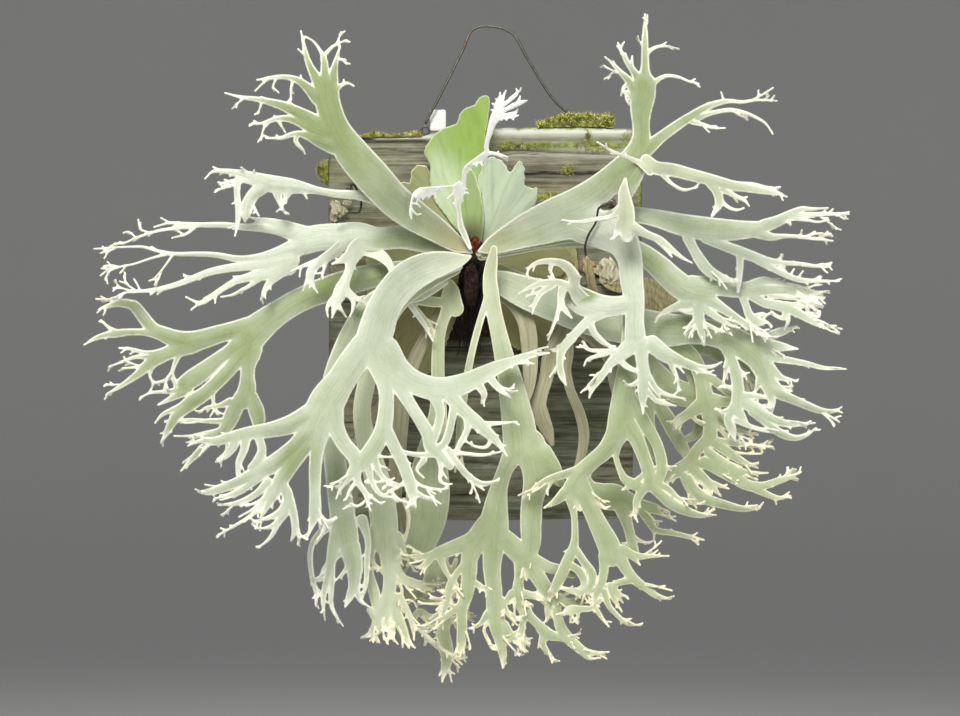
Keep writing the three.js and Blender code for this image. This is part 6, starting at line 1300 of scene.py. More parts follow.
for number, frond in enumerate(parse(MIDRIBS)):
    name = frond["name"]
    if name.startswith("frond_old"):
        frond_piece(frond, number, blade_old, "frond_old", cup=1.2, wave=0.8, white=0.0, spurs=0.0)
    elif name.startswith("frond_young"):
        frond_piece(frond, number, blade_young if name == "frond_young_top" else blade_green, "frond_young", thick=2.0, cup=1.4, spurs=0.0, fine=True)
    else:
        frond_piece(frond, number, blade_low if name in LOW else blade_green, "frond_green", white=WHITE_BRANCH.get(name, 0.4))


# ---- shield fronds ---------------------------------------------------------------------
def ring_curve(outline, n=6):
    P = np.array(outline, dtype=float)
    out = []
    for i in range(len(P)):
        p0, p1, p2, p3 = P[i - 1], P[i], P[(i + 1) % len(P)], P[(i + 2) % len(P)]
        m1, m2 = 0.35 * (p2 - p0), 0.35 * (p3 - p1)
        for k in range(n):
            t = k / n
            out.append((2 * t**3 - 3 * t**2 + 1) * p1 + (t**3 - 2 * t**2 + t) * m1 + (-2 * t**3 + 3 * t**2) * p2 + (t**3 - t**2) * m2)
    return np.array(out)


def polygon_field(ring, X, Y):
    d = np.full(X.shape, 1e9)
    inside = np.zeros(X.shape, bool)
    for (ax, ay), (bx, by) in zip(ring, np.roll(ring, -1, 0)):
        dx, dy = bx - ax, by - ay
        t = np.clip(((X - ax) * dx + (Y - ay) * dy) / (dx * dx + dy * dy + 1e-9), 0, 1)
        d = np.minimum(d, np.hypot(X - ax - t * dx, Y - ay - t * dy))
        inside ^= ((ay > Y) != (by > Y)) & (X < (bx - ax) * (Y - ay) / (by - ay + 1e-12) + ax)
    return np.where(inside, -d, d)


def shield_material(name, pale, deep, rim, spots, veins=0.5):
    n = Nodes(name)
    pos = n.coords()
    edge, tone, flow = n.attribute("edge"), n.attribute("tone"), n.attribute("flow", "Vector")
    broad = n.noise(pos, 38, 4)
    fine = n.noise(pos, 300, 4, 0.6)
    vein = n.noise(flow, 1.0, 2, 0.5)
    shade = n.math("ADD", tone, n.math("MULTIPLY", n.math("SUBTRACT", broad, 0.5), 0.9), clamp=True)
    body = n.mix(shade, pale, deep)
    body = n.mix(n.math("MULTIPLY", n.range(vein, 0.5, 0.66), veins), body, n.mix(1.0, body, (0.70, 0.74, 0.55, 1), "MULTIPLY"))
    body = n.mix(n.math("MULTIPLY", n.range(fine, 0.58, 0.75), 0.35), body, spots)
    body = n.mix(n.range(edge, 0.3, 1.1, 0.8, 0.0), body, rim)
    # painted shade: the shields turn dark olive-brown towards the bud, where the fronds crowd over them
    body = n.mix(n.math("MULTIPLY", n.attribute("near"), 0.85), body, srgb(70, 60, 34))
    normal = n.bump(n.math("ADD", vein, n.math("MULTIPLY", n.noise(pos, 1100, 3), 0.4)), 0.0006, 0.6)
    n.set(Roughness=0.8, Sheen_Weight=0.12, Sheen_Roughness=0.6, Specular_IOR_Level=0.3)
    return n.finish(body, None, normal)


SHIELDS = [
    ("shield_old_left", 0, [(464, 268), (440, 246), (404, 232), (376, 240), (366, 262), (368, 300), (380, 336), (396, 362), (414, 375), (434, 370), (446, 344), (458, 312)]),
    ("shield_old_right", 0, [(482, 270), (506, 248), (548, 232), (572, 236), (578, 262), (580, 296), (572, 330), (548, 346), (520, 350), (500, 334), (488, 302)]),
    ("shield_inner_left", 1, [(461, 274), (438, 262), (410, 276), (396, 300), (394, 330), (402, 356), (416, 364), (424, 344), (434, 312), (452, 294)]),
    ("shield_inner_right", 1, [(484, 262), (504, 246), (540, 236), (566, 246), (574, 262), (560, 276), (530, 284), (500, 282)]),
    ("shield_brown_top", 1, [(452, 238), (430, 222), (408, 212), (396, 200), (397, 186), (402, 182), (410, 183), (411, 172), (418, 165), (426, 166), (430, 174), (433, 188), (446, 206), (460, 232)]),
    ("shield_green_top", 2, [(462, 236), (446, 216), (434, 200), (430, 182), (430, 166), (424, 152), (433, 136), (444, 128), (456, 124), (460, 114), (466, 108), (474, 105), (479, 98), (486, 95), (490, 99), (489, 114), (486, 132), (484, 152), (487, 178), (486, 206), (480, 238)]),
    ("shield_grey_top", 3, [(473, 236), (470, 214), (474, 192), (480, 172), (486, 159), (494, 157), (502, 161), (507, 168), (511, 171), (520, 160), (525, 170), (525, 184), (531, 188), (537, 188), (536, 204), (526, 220), (508, 234), (492, 241), (480, 243)]),
    ("shield_inner_top", 4, [(474, 242), (464, 226), (458, 208), (458, 194), (464, 180), (470, 168), (474, 172), (480, 190), (484, 214), (482, 240)]),
]
LOOK = {
    "shield_green_top": (srgb(190, 206, 168), srgb(148, 176, 88), srgb(214, 222, 176), srgb(150, 170, 100)),
    "shield_grey_top": (srgb(194, 206, 186), srgb(176, 194, 156), srgb(222, 228, 204), srgb(160, 170, 126)),
    "shield_inner_top": (srgb(158, 176, 126), srgb(140, 162, 100), srgb(238, 238, 206), srgb(120, 138, 84)),
    "shield_brown_top": (srgb(158, 168, 120), srgb(138, 132, 90), srgb(232, 228, 196), srgb(124, 106, 70)),
    "shield_inner_left": (srgb(158, 152, 112), srgb(128, 128, 82), srgb(196, 186, 142), srgb(110, 92, 62)),
    "shield_inner_right": (srgb(150, 148, 104), srgb(126, 128, 82), srgb(186, 180, 134), srgb(106, 94, 60)),
    "shield_old_left": (srgb(166, 168, 120), srgb(128, 132, 80), srgb(186, 180, 132), srgb(112, 96, 62)),
    "shield_old_right": (srgb(172, 170, 122), srgb(138, 134, 86), srgb(196, 186, 140), srgb(118, 100, 66)),
}


def shield_piece(number, name, layer, outline):
    ring = ring_curve(outline)
    h = 1.0
    x0, y0 = ring.min(0) - 4
    x1, y1 = ring.max(0) + 4
    X, Y = np.meshgrid(np.arange(x0, x1, h), np.arange(y0, y1, h))
    D = polygon_field(ring, X, Y)
    torn = (vnoise(X / 3.1, Y / 3.1, number) - 0.5) * 1.6 + (vnoise(X / 1.3, Y / 1.3, number + 9) - 0.5) * 0.8
    away = smooth01((np.hypot(X - BUD[0], Y - BUD[1]) - 25) / 25)
    D = D + torn * away * (1.0 if name != "shield_green_top" else 0.6)
    R = np.hypot(X - 474, Y - 262)
    A = np.arctan2(Y - 262, X - 474)
    depth = shield_depth(layer, X, Y)
    depth = depth + away * (0.8 * np.sin(A * 21 + number) * smooth01((R - 30) / 60) + 1.0 * (fractal(X / 26, Y / 26, number) - 0.5))
    if name == "shield_grey_top":
        depth = depth + 2.2 * np.exp(-(((X - 490 - (Y - 200) * 0.02) / 2.2) ** 2)) * smooth01((236 - Y) / 40)
    if name == "shield_green_top":
        depth = depth + 1.2 * np.sin((X - 430) / 9.0) * smooth01((170 - Y) / 50)
    half = 0.75 * np.sqrt(1 - (1 - np.clip(-D / 1.8, 0, 1)) ** 2)
    faces, ni, total, pick = contour_mesh(D)
    px, py, dep, hf = pick(X), pick(Y), pick(depth), pick(half)
    hf[ni:] = 0.0
    verts = np.concatenate([place(px, py, dep + hf), place(px[:ni], py[:ni], dep[:ni] - hf[:ni])])
    tone = 0.5 + 0 * X
    if name == "shield_green_top":
        tone = smooth01((205 - Y) / 75) * 0.95 + 0.05
        tone = tone - 0.55 * np.exp(-(((X - 438) / 11) ** 2) - ((Y - 168) / 30) ** 2) + 0.3 * np.exp(-(((X - 474) / 12) ** 2) - ((Y - 158) / 26) ** 2)
    if name.startswith("shield_old") or name.startswith("shield_inner"):
        tone = 0.35 + 0.5 * fractal(X / 30, Y / 30, number + 4)
    # painted shade towards the bud, for the shield's skin
    near = 1 - smooth01((np.hypot(X - 470, (Y - 240) * 0.85) - 3) / 24)
    att = {"edge": np.clip(-D, 0, 30) * GRID, "tone": tone, "near": near, "fx": A * 16.0 + number * 9, "fy": R * 0.03}
    values = {}
    for k in ("edge", "tone", "near"):
        v = pick(att[k])
        values[k] = np.concatenate([v, v[:ni]])
    fl = np.stack([pick(att["fx"]), pick(att["fy"]), 0 * px], -1)
    values["flow"] = np.concatenate([fl, fl[:ni]])
    by_size = {}
    for f in two_sided(faces, ni, total):
        by_size.setdefault(f.shape[1], []).append(f)
    pale, deep, rim, spots = LOOK[name]
    ob = build(name + "_leaf", verts, [np.concatenate(v) for v in by_size.values()], shield_material(name + "_skin", pale, deep, rim, spots), True, values)
    settle(ob, "shield_green" if name in ("shield_green_top", "shield_grey_top", "shield_inner_top") else "shield_old", name)


for number, (name, layer, outline) in enumerate(SHIELDS):
    shield_piece(number, name, layer, outline)


# ---- the plaque ---------------------------------------------------------------------------
BW, BH = 252.0, 316.0


def board_edges(u, v):
    """The plaque's slightly uneven outline: u, v run 0..1 across and up."""
    z = -158 + 316 * v
    left = np.interp(z, [-158, -155, 20, 138, 147], [-124, -126, -125, -126, -124.6])
    right = np.interp(z, [-157, -98, -40, 40, 110, 146, 156], [117, 119, 123, 125, 126, 125, 120])
    x = left + (right - left) * u
    top = np.interp(x, [-126, -124, -112, -50, -36, 10, 80, 120, 126], [143, 147, 149, 150, 155, 156.8, 158, 156, 151])
    low = np.interp(x, [-126, -124, -60, 0, 62, 117], [-155, -158, -157.2, -158, -156.8, -157])
    return x, low + (top - low) * v


def board_relief(x, z):
    """How far the weathered face is worn back from the front plane, in mm, and how dark it is."""
    wave = 3.0 * (fractal(x / 60, z / 40, 11, 3) - 0.5) + 0.02 * x
    zz = z + wave
    fine = fractal(x / 34, zz / 1.5, 21, 4, 0.6)
    ribs = fractal(x / 70, zz / 5.0, 31, 3)
    broad = fractal(x / 90, zz / 22, 41, 3)
    deep = np.zeros_like(x)
    rng = np.random.RandomState(5)
    lines = [(144.5, -126, -40, 1.3, 1.0), (138.5, 4, 120, 0.9, 0.8), (122.0, 10, 118, 0.8, 1.1), (109, -120, -60, 0.7, 0.8), (96, 20, 126, 1.0, 0.9)]
    lines += [(rng.uniform(-154, 140), *(sorted((rng.uniform(-135, 100), rng.uniform(-80, 130)))), rng.uniform(0.35, 0.9), rng.uniform(0.35, 1.0)) for _ in range(46)]
    for z0, xa, xb, width, depth in lines:
        path = z0 + 1.6 * (vnoise(x / 22, 0 * x + z0, 51) - 0.5) * 2
        span = smooth01((x - xa) / 12) * smooth01((xb - x) / 12)
        deep = np.maximum(deep, depth * span * np.exp(-(((zz - path) / width) ** 2)))
    worn = 0.35 + 0.9 * np.clip(fine - 0.42, 0, 1) + 1.1 * (1 - ribs) * 0.5 + 0.8 * (1 - broad) * 0.6 + 1.9 * deep
    return worn, np.clip(deep + 0.5 * np.clip(fine - 0.5, 0, 1), 0, 1)


def wood_material():
    n = Nodes("weathered_wood")
    pos = n.coords()
    crack, soil, face = n.attribute("crack"), n.attribute("moss"), n.attribute("pale")
    grain = n.noise(n.vec("MULTIPLY", pos, (9, 60, 260)), 1.0, 5, 0.65, 0.4)
    streak = n.noise(n.vec("MULTIPLY", pos, (14, 80, 900)), 1.0, 4, 0.7, 0.2)
    patch = n.noise(n.vec("MULTIPLY", pos, (10, 12, 34)), 1.0, 3)
    warm = n.noise(n.vec("MULTIPLY", pos, (6, 8, 26)), 1.0, 2)
    base = n.ramp(grain, (0.25, srgb(70, 68, 56)), (0.42, srgb(116, 116, 97)), (0.58, srgb(153, 154, 132)), (0.8, srgb(192, 193, 172)))
    base = n.mix(n.math("MULTIPLY", n.range(warm, 0.42, 0.66), 0.4), base, srgb(146, 126, 100))
    base = n.mix(n.math("MULTIPLY", n.range(patch, 0.46, 0.7), 0.5), base, srgb(116, 124, 80))
    mottle = n.noise(n.vec("MULTIPLY", pos, (60, 80, 150)), 1.0, 3, 0.6)
    base = n.mix(n.math("MULTIPLY", n.range(mottle, 0.5, 0.72), 0.45), base, n.mix(1.0, base, (0.52, 0.56, 0.46, 1), "MULTIPLY"))
    base = n.mix(n.math("MULTIPLY", n.range(mottle, 0.5, 0.3), 0.25), base, srgb(196, 200, 178))
    base = n.mix(n.math("MULTIPLY", n.range(streak, 0.52, 0.68), 0.6), base, srgb(58, 52, 46))
    base = n.mix(n.math("MULTIPLY", face, 0.9), base, srgb(238, 240, 224))
    # darker and greyer low on the plaque under the fern: partly moist wood, partly painted shade under the fronds
    base = n.mix(n.math("MULTIPLY", n.attribute("damp_and_shade"), 0.6), base, n.mix(1.0, base, (0.50, 0.56, 0.52, 1), "MULTIPLY"))
    base = n.mix(n.math("MULTIPLY", crack, 0.92), base, srgb(30, 27, 23))
    spots = n.noise(pos, 130, 4, 0.65)
    green = n.ramp(n.noise(pos, 240, 2), (0.35, srgb(84, 98, 26)), (0.65, srgb(158, 172, 62)))
    base = n.mix(n.math("MULTIPLY", n.range(n.math("ADD", soil, n.math("SUBTRACT", spots, 0.5)), 0.35, 0.62), 0.95), base, green)
    h = n.math("ADD", n.math("MULTIPLY", streak, 0.8), n.math("MULTIPLY", n.noise(n.vec("MULTIPLY", pos, (90, 300, 2600)), 1.0, 3, 0.6), 0.6))
    normal = n.bump(h, 0.0007, 0.7)
    n.set(Roughness=0.88, Specular_IOR_Level=0.25)
    return n.finish(base, None, normal)


def make_board():
    nx, nz, ny = 150, 290, 7
    wood = wood_material()
    verts, quads, base, att = [], [], 0, {"crack": [], "moss": [], "pale": [], "damp_and_shade": []}

    def sheet(P, extra):
        nonlocal base
        r, c = P.shape[:2]
        verts.append(P.reshape(-1, 3))
        i, j = np.meshgrid(np.arange(r - 1), np.arange(c - 1), indexing="ij")
        a = base + i * c + j
        quads.append(np.stack([a, a + 1, a + c + 1, a + c], -1).reshape(-1, 4))
        base += r * c
        for k in att:
            att[k].append(np.broadcast_to(extra.get(k, 0.0), (r, c)).reshape(-1).astype(float))

    v, u = np.meshgrid(np.linspace(0, 1, nz), np.linspace(0, 1, nx), indexing="ij")
    x, z = board_edges(u, v)
    worn, dark = board_relief(x, z)
    # the front's edges are rounded by weather
    xl, _ = board_edges(0 * u, v); xr, _ = board_edges(0 * u + 1, v)
    _, zb = board_edges(u, 0 * v); _, zt = board_edges(u, 0 * v + 1)
    e = np.minimum(np.minimum(x - xl, xr - x), np.minimum(z - zb, zt - z))
    round_r = 2.6 + 1.8 * fractal(x / 14, z / 14, 61)
    edge_drop = round_r * (1 - np.sqrt(np.clip(1 - (1 - np.clip(e / round_r, 0, 1)) ** 2, 0, 1)))
    y = -25.0 + np.clip(worn, 0.0, 4) + edge_drop
    px, py = 480 + (x - EX) / GRID, 358 - (z - EZ) / GRID
    pale = np.exp(-(((py - 131) / 4.5) ** 2)) * smooth01((px - 488) / 14) * smooth01((640 - px) / 20) * 0.95
    pale = np.maximum(pale, np.exp(-(((py - 136.5) / 2.4) ** 2)) * smooth01((450 - px) / 20))
    pale = np.maximum(pale, 0.35 * np.exp(-(((py - 152) / 4.0) ** 2)) * smooth01((px - 500) / 14))
    moss = 0.62 * np.exp(-(((py - 145) / 5.0) ** 2)) * smooth01((px - 488) / 14)
    moss = np.maximum(moss, 0.8 * np.exp(-(((px - 550) / 17) ** 2) - ((py - 196) / 6.5) ** 2))
    moss = np.maximum(moss, 0.55 * np.exp(-(((px - 568) / 12) ** 2) - ((py - 171) / 7) ** 2))
    moss = np.maximum(moss, 0.6 * np.exp(-(((py - 126) / 6) ** 2)))
    moss = np.maximum(moss, 0.6 * np.exp(-(((px - 398) / 9) ** 2) - ((py - 318) / 12) ** 2))
    moss = np.maximum(moss, 0.5 * np.exp(-(((px - 640) / 6) ** 2)) * smooth01((260 - py) / 60))
    brown = 0.75 * np.exp(-(((py - 175) / 6.5) ** 2)) * smooth01((px - 495) / 10) * smooth01((645 - px) / 10)
    dark = np.clip(dark + brown * (0.45 + 0.4 * fractal(x / 20, z / 2.0, 71)), 0, 1)
    dark = np.maximum(dark, 0.9 * np.exp(-(((py - 141.5) / 2.2) ** 2)) * smooth01((436 - px) / 12))
    # low on the plaque under the fern: partly moist wood, partly painted shade
    damp_and_shade = smooth01((py - 285) / 40) * smooth01((px - 385) / 30) * smooth01((625 - px) / 30)
    sheet(np.stack([x, y, z], -1), {"crack": dark, "moss": moss, "pale": pale, "damp_and_shade": damp_and_shade})
    grid_front = np.arange(nz * nx).reshape(nz, nx)
    # sides: from the front's rim back to the wall
    t = np.linspace(0, 1, ny)[1:]
    rims = [grid_front[0, :], grid_front[:, -1], grid_front[-1, ::-1], grid_front[::-1, 0]]
    P = np.stack([x, y, z], -1).reshape(-1, 3)
    loop = np.concatenate([r[:-1] for r in rims])
    rim = P[loop]
    rows = [loop]
    for k, tt in enumerate(t):
        q = rim.copy()
        q[:, 1] = rim[:, 1] * (1 - tt)
        inset = 0.5 * (fractal(q[:, 0] / 30 + q[:, 2] / 30, q[:, 1] / 2.2 + k, 81) - 0.5) * (1 if tt < 1 else 0)
        c = np.array([-1.0, 0, -1.0])
        d = q - c
        d[:, 1] = 0
        q -= d / (np.linalg.norm(d, axis=1)[:, None] + 1e-9) * (0.25 + np.clip(inset + 0 * q[:, 0], 0, 1) * 1.4)[:, None]
        verts.append(q)
        rows.append(base + np.arange(len(q)))
        base += len(q)
        att["crack"].append(0.35 * (inset + 0 * q[:, 0] > 0.12) + 0.1)
        att["moss"].append(0.55 * smooth01((q[:, 2] - 100) / 40) * (1 - 0.6 * tt))
        att["pale"].append(0 * q[:, 0])
        att["damp_and_shade"].append(0 * q[:, 0])
    for a, b in zip(rows[:-1], rows[1:]):
        quads.append(np.stack([a, np.roll(a, -1), np.roll(b, -1), b], -1)[:, ::-1])
    # the back, flat against the wall
    vb, ub = np.meshgrid(np.linspace(0, 1, 40), np.linspace(0, 1, 32), indexing="ij")
    last = rows[-1]
    centre = verts[-1].mean(0)
    rings = [last]
    ring_pts = verts[-1]
    for s in np.linspace(0.94, 0.04, 7):
        q = centre + (ring_pts - centre) * s
        q[:, 1] = 0.0
        verts.append(q)
        rings.append(base + np.arange(len(q)))
        base += len(q)
        for k in att:
            att[k].append(0 * q[:, 0] + (0.12 if k == "crack" else 0.0))
    for a, b in zip(rings[:-1], rings[1:]):
        quads.append(np.stack([a, np.roll(a, -1), np.roll(b, -1), b], -1)[:, ::-1])
    verts.append(centre[None] * [1, 0, 1])
    for k in att:
        att[k].append(np.zeros(1))
    fan = np.stack([rings[-1], np.full(len(rings[-1]), base), np.roll(rings[-1], -1)], -1)
    ob = build("board_wood", np.concatenate(verts), [np.concatenate(quads), fan], wood, True, {k: np.concatenate(a) for k, a in att.items()})
    settle(ob, "weathered_wood", "board")


make_board()


# ---- moss -------------------------------------------------------------------------------------
def moss_material(name, dark, mid, light):
    n = Nodes(name)
    pos = n.coords()
    up = n.attribute("up")
    c = n.ramp(n.noise(pos, 230, 3), (0.34, dark), (0.48, mid), (0.64, light))
    c = n.mix(n.range(up, 0.0, 0.8, 0.75, 0.0), c, n.mix(0.6, dark, srgb(66, 52, 26)))
    c = n.mix(n.math("MULTIPLY", n.range(n.noise(pos, 90, 2), 0.52, 0.7), 0.55), c, srgb(150, 118, 60))
    n.set(Roughness=0.85, Sheen_Weight=0.15, Specular_IOR_Level=0.2)
    return n.finish(c, None, n.bump(n.noise(pos, 1800, 2), 0.0003, 0.5))


moss_mat = moss_material("moss_green", srgb(84, 92, 24), srgb(190, 194, 72), srgb(250, 249, 176))


def sprig(heap, root, direction, length, rng, leaves=5, width=0.5):
    """One shoot of moss: a thin stem with small pointed leaves round it."""
    d = np.asarray(direction, float)
    d /= np.linalg.norm(d) + 1e-9
    a = np.cross(d, [0.3, 0.9, 0.1]); a /= np.linalg.norm(a) + 1e-9
    b = np.cross(d, a)
    tipp = root + d * length
    heap.add([root + a * width * 0.4, root - a * width * 0.2 + b * width * 0.35, root - a * width * 0.2 - b * width * 0.35, tipp], [[0, 1, 3], [1, 2, 3], [2, 0, 3]], up=[0.1, 0.1, 0.1, 1])
    for k in range(leaves):
        s = (k + 0.7) / (leaves + 0.4)
        an = k * 2.4 + rng.rand()
        out = np.cos(an) * a + np.sin(an) * b
        p = root + d * length * s
        w = np.cross(d, out)
        l = width * (2.6 - 1.2 * s)
        q = p + out * l + d * l * 0.8
        m = p + out * l * 0.5 + d * l * 0.25
        heap.add([p, m + w * width * 0.38, q, m - w * width * 0.38], [[0, 1, 2], [0, 2, 3]], up=[s, s, min(1, s + 0.3), s])


def mound(heap, rows):
    """A lumpy cushion under the shoots, as rows of (x, y, z) rings."""
    R = np.asarray(rows, float)
    r, c = R.shape[:2]
    i, j = np.meshgrid(np.arange(r - 1), np.arange(c - 1), indexing="ij")
    a = i * c + j
    heap.add(R.reshape(-1, 3), quads=np.stack([a, a + 1, a + c + 1, a + c], -1).reshape(-1, 4), up=0.05)


def edge_moss(name, node, x_range, top_of, ground_of, y_range, count, seed, reach=3.2, lean=(0, -0.5, 1), leaf=(0.4, 0.8)):
    rng = np.random.RandomState(seed)
    heap = Heap()
    xs = np.linspace(*x_range, 60)
    rows = []
    for s in np.linspace(0, 1, 14):
        an = np.pi * s
        t, g = top_of(xs), ground_of(xs)
        y = (y_range[0] + y_range[1]) / 2 - np.cos(an) * (y_range[1] - y_range[0]) / 2 * -1
        z = g + (t - g) * 0.75 * np.sin(an) ** 0.7 + 0.7 * (vnoise(xs / 2.2, 0 * xs + s * 9, seed) - 0.5)
        rows.append(np.stack([xs, y + 0 * xs + 0.6 * (vnoise(xs / 3, 0 * xs + s * 5, seed + 3) - 0.5), z], -1))
    mound(heap, rows)
    for _ in range(count):
        x = rng.uniform(*x_range)
        y = rng.uniform(*y_range)
        side = (y - y_range[0]) / (y_range[1] - y_range[0])
        t, g = float(top_of(np.array([x]))[0]), float(ground_of(np.array([x]))[0])
        z = g + (t - g) * 0.72 * math.sin(math.pi * min(max(side, 0.04), 0.96)) ** 0.7
        d = np.array(lean, float) + rng.normal(0, 0.45, 3)
        clump = float(vnoise(np.array(x / 3.4), np.array(y / 4.0), seed + 11))
        if rng.rand() > 0.25 + 1.1 * clump:
            continue
        length = reach * rng.uniform(0.35, 0.8) * (0.45 + 1.15 * clump) * (1.5 if rng.rand() < 0.06 else 1)
        sprig(heap, np.array([x, y, z - 0.4]), d, length, rng, leaves=4, width=rng.uniform(*leaf))
    ob = heap.make(name, moss_mat, smooth=False)
    settle(ob, "moss", node)


top_right = lambda x: 158 + np.interp(x, [42, 46, 52, 58, 66, 76, 84, 92, 97, 101, 103], [1.0, 3.0, 6, 9, 14, 11, 13.6, 9.5, 11.5, 11, 0.4]) * 0.72 + 1.6 * (vnoise(x / 2.6, 0 * x + 3.0, 77) - 0.5)
edge_moss("moss_top_right_tufts", "moss_top_right", (43, 102), top_right, lambda x: np.interp(x, [10, 80, 120], [156.4, 157.6, 155.6]), (-24.5, -9), 2300, 3, reach=7.6, lean=(0, -0.5, 1.2), leaf=(0.6, 1.3))
edge_moss("moss_top_left_tufts", "moss_top_left", (-111, -51), lambda x: 151.5 + 1.6 * np.sin(x / 5) + np.interp(x, [-111, -80, -51], [0.5, 1.5, 2.5]), lambda x: np.interp(x, [-112, -50], [148.6, 149.6]), (-24.5, -12), 1000, 4, reach=2.6)


def side_moss():
    rng = np.random.RandomState(9)
    heap = Heap()
    zs = np.linspace(112, 132, 30)
    rows = []
    for s in np.linspace(0, 1, 10):
        an = np.pi * s
        out = np.interp(zs, [112, 118, 124, 129, 132], [1.5, 7, 9, 7, 1.5]) * np.sin(an) ** 0.7
        rows.append(np.stack([-125.6 - out, -14.5 - np.cos(an) * 8 + 0 * zs, zs], -1))
    mound(heap, rows[::-1])
    for _ in range(420):
        z = rng.uniform(112.5, 131)
        s = rng.uniform(0.05, 0.95)
        out = np.interp(z, [112, 118, 124, 129, 132], [1.5, 7, 9, 7, 1.5]) * math.sin(math.pi * s) ** 0.7
        root = np.array([-125.4 - out, -14.5 - math.cos(math.pi * s) * 8, z])
        sprig(heap, root, np.array([-1, -0.4 * math.cos(math.pi * s) * 2, 0.25]) + rng.normal(0, 0.4, 3), rng.uniform(1.2, 2.9), rng, leaves=4, width=rng.uniform(0.35, 0.55))
    settle(heap.make("moss_left_edge_tufts", moss_mat, smooth=False), "moss", "moss_left_edge")


side_moss()

# small cushions of moss on the plaque's face
spots = Heap()
rng = np.random.RandomState(12)
for cx, cy, sx, sy, count in ((550, 197, 15, 3.5, 240), (567, 171, 8, 5, 120), (588, 139, 3, 6, 130), (398, 318, 4.5, 8, 120), (520, 147, 26, 3, 160), (600, 149, 22, 4, 160), (628, 137, 8, 4, 60)):
    for _ in range(count):
        u, w = rng.normal(0, 0.55, 2)
        q = place(np.array(cx + u * sx), np.array(cy + w * sy), np.array(-1.0))
        sprig(spots, q, np.array([0, -1, 0.35]) + rng.normal(0, 0.4, 3), rng.uniform(0.9, 2.2), rng, leaves=3, width=rng.uniform(0.3, 0.5))
settle(spots.make("moss_face_spots", moss_mat, smooth=False), "moss")


# ---- the pad of moss and old roots ---------------------------------------------------------------
def pad_material():
    n = Nodes("pad_roots")
    pos = n.coords()
    fibre = n.noise(n.vec("MULTIPLY", pos, (700, 500, 160)), 1.0, 4, 0.65, 1.2)
    c = n.ramp(fibre, (0.3, srgb(24, 17, 11)), (0.5, srgb(62, 48, 30)), (0.72, srgb(112, 92, 58)))
    c = n.mix(n.math("MULTIPLY", n.range(n.noise(pos, 60, 3), 0.5, 0.66), 0.75), c, srgb(96, 108, 40))
    # darker below the bud: partly moist roots and moss, partly painted shade under the stem and fronds
    c = n.mix(n.attribute("wet_and_shade"), c, n.mix(0.8, c, srgb(34, 34, 26)))
    n.set(Roughness=0.95, Specular_IOR_Level=0.15)
    return n.finish(c, None, n.bump(fibre, 0.0015, 0.9))


def root_material(name, a, b, c):
    n = Nodes(name)
    pos = n.coords()
    col = n.ramp(n.noise(pos, 320, 3, 0.6), (0.32, a), (0.5, b), (0.7, c))
    n.set(Roughness=0.9, Specular_IOR_Level=0.2, Sheen_Weight=0.1)
    return n.finish(col, None, n.bump(n.noise(pos, 1500, 2), 0.0003, 0.7))


def make_pad():
    na, nr = 160, 46
    an = np.arange(na) / na * 2 * np.pi
    wob = 1.12 * (1 + 0.05 * np.sin(3 * an + 1) + 0.03 * np.sin(7 * an))
    rs = np.linspace(0, 1, nr)[1:]
    px = 472 + 78 * (rs[:, None] * wob * np.cos(an))
    py = 270 + 64 * (rs[:, None] * wob * np.sin(an))
    lump = (fractal(px / 9, py / 9, 91, 4) - 0.5) * 2.4 * np.minimum(1, 4 * (1 - rs[:, None]))
    d = 0.9 + 23 * pad_bump(px, py) + lump
    P = place(px, py, d)
    c = place(np.array([472.0]), np.array([270.0]), np.array([23.5]))
    verts = np.concatenate([c, P.reshape(-1, 3), place(px[-1], py[-1], 0 * px[-1] + 0.2)])
    i, j = np.meshgrid(np.arange(nr - 1), np.arange(na), indexing="ij")
    a = 1 + i * na + j
    b = 1 + i * na + (j + 1) % na
    quads = np.stack([a, b, b + na, a + na], -1).reshape(-1, 4)
    fan = np.stack([np.zeros(na, int), 1 + (np.arange(na) + 1) % na, 1 + np.arange(na)], -1)
    # below the bud: partly moist, partly painted shade
    wet_and_shade = np.exp(-(((px - 466) / 22) ** 2)) * smooth01((py - 262) / 20)
    ob = build("moss_pad_mat", verts, [quads[:, ::1], fan], pad_material(), True, {"wet_and_shade": np.concatenate([[0.6], wet_and_shade.ravel(), wet_and_shade[-1]])})
    settle(ob, "moss_and_roots", "moss_pad")
    # fine roots that wander over the pad and hang below it
    heap = Heap()
    rng = np.random.RandomState(17)
    for _ in range(260):
        an0 = rng.uniform(0, 2 * np.pi)
        r0 = rng.uniform(0.2, 0.95)
        x, y = 472 + 80 * r0 * math.cos(an0), 274 + 64 * r0 * math.sin(an0)
        pts = []
        th = rng.uniform(0, 2 * np.pi)
        for k in range(7):
            x += 4.2 * math.cos(th); y += 4.2 * math.sin(th) + 0.9
            th += rng.normal(0, 0.6)
            lift = 0.9 + 23 * float(pad_bump(np.array(x), np.array(y))) + rng.uniform(0.1, 1.4)
            pts.append(place(np.array(x), np.array(y), np.array(max(lift, 0.6))))
        r = rng.uniform(0.16, 0.38)
        v, t, q = tube(spline(pts, 11), np.linspace(r, r * 0.5, 12), 4)
        heap.add(v, t, q)
    settle(heap.make("pad_fine_roots", root_material("root_brown", srgb(40, 28, 18), srgb(84, 64, 40), srgb(138, 116, 80))), "moss_and_roots")


make_pad()


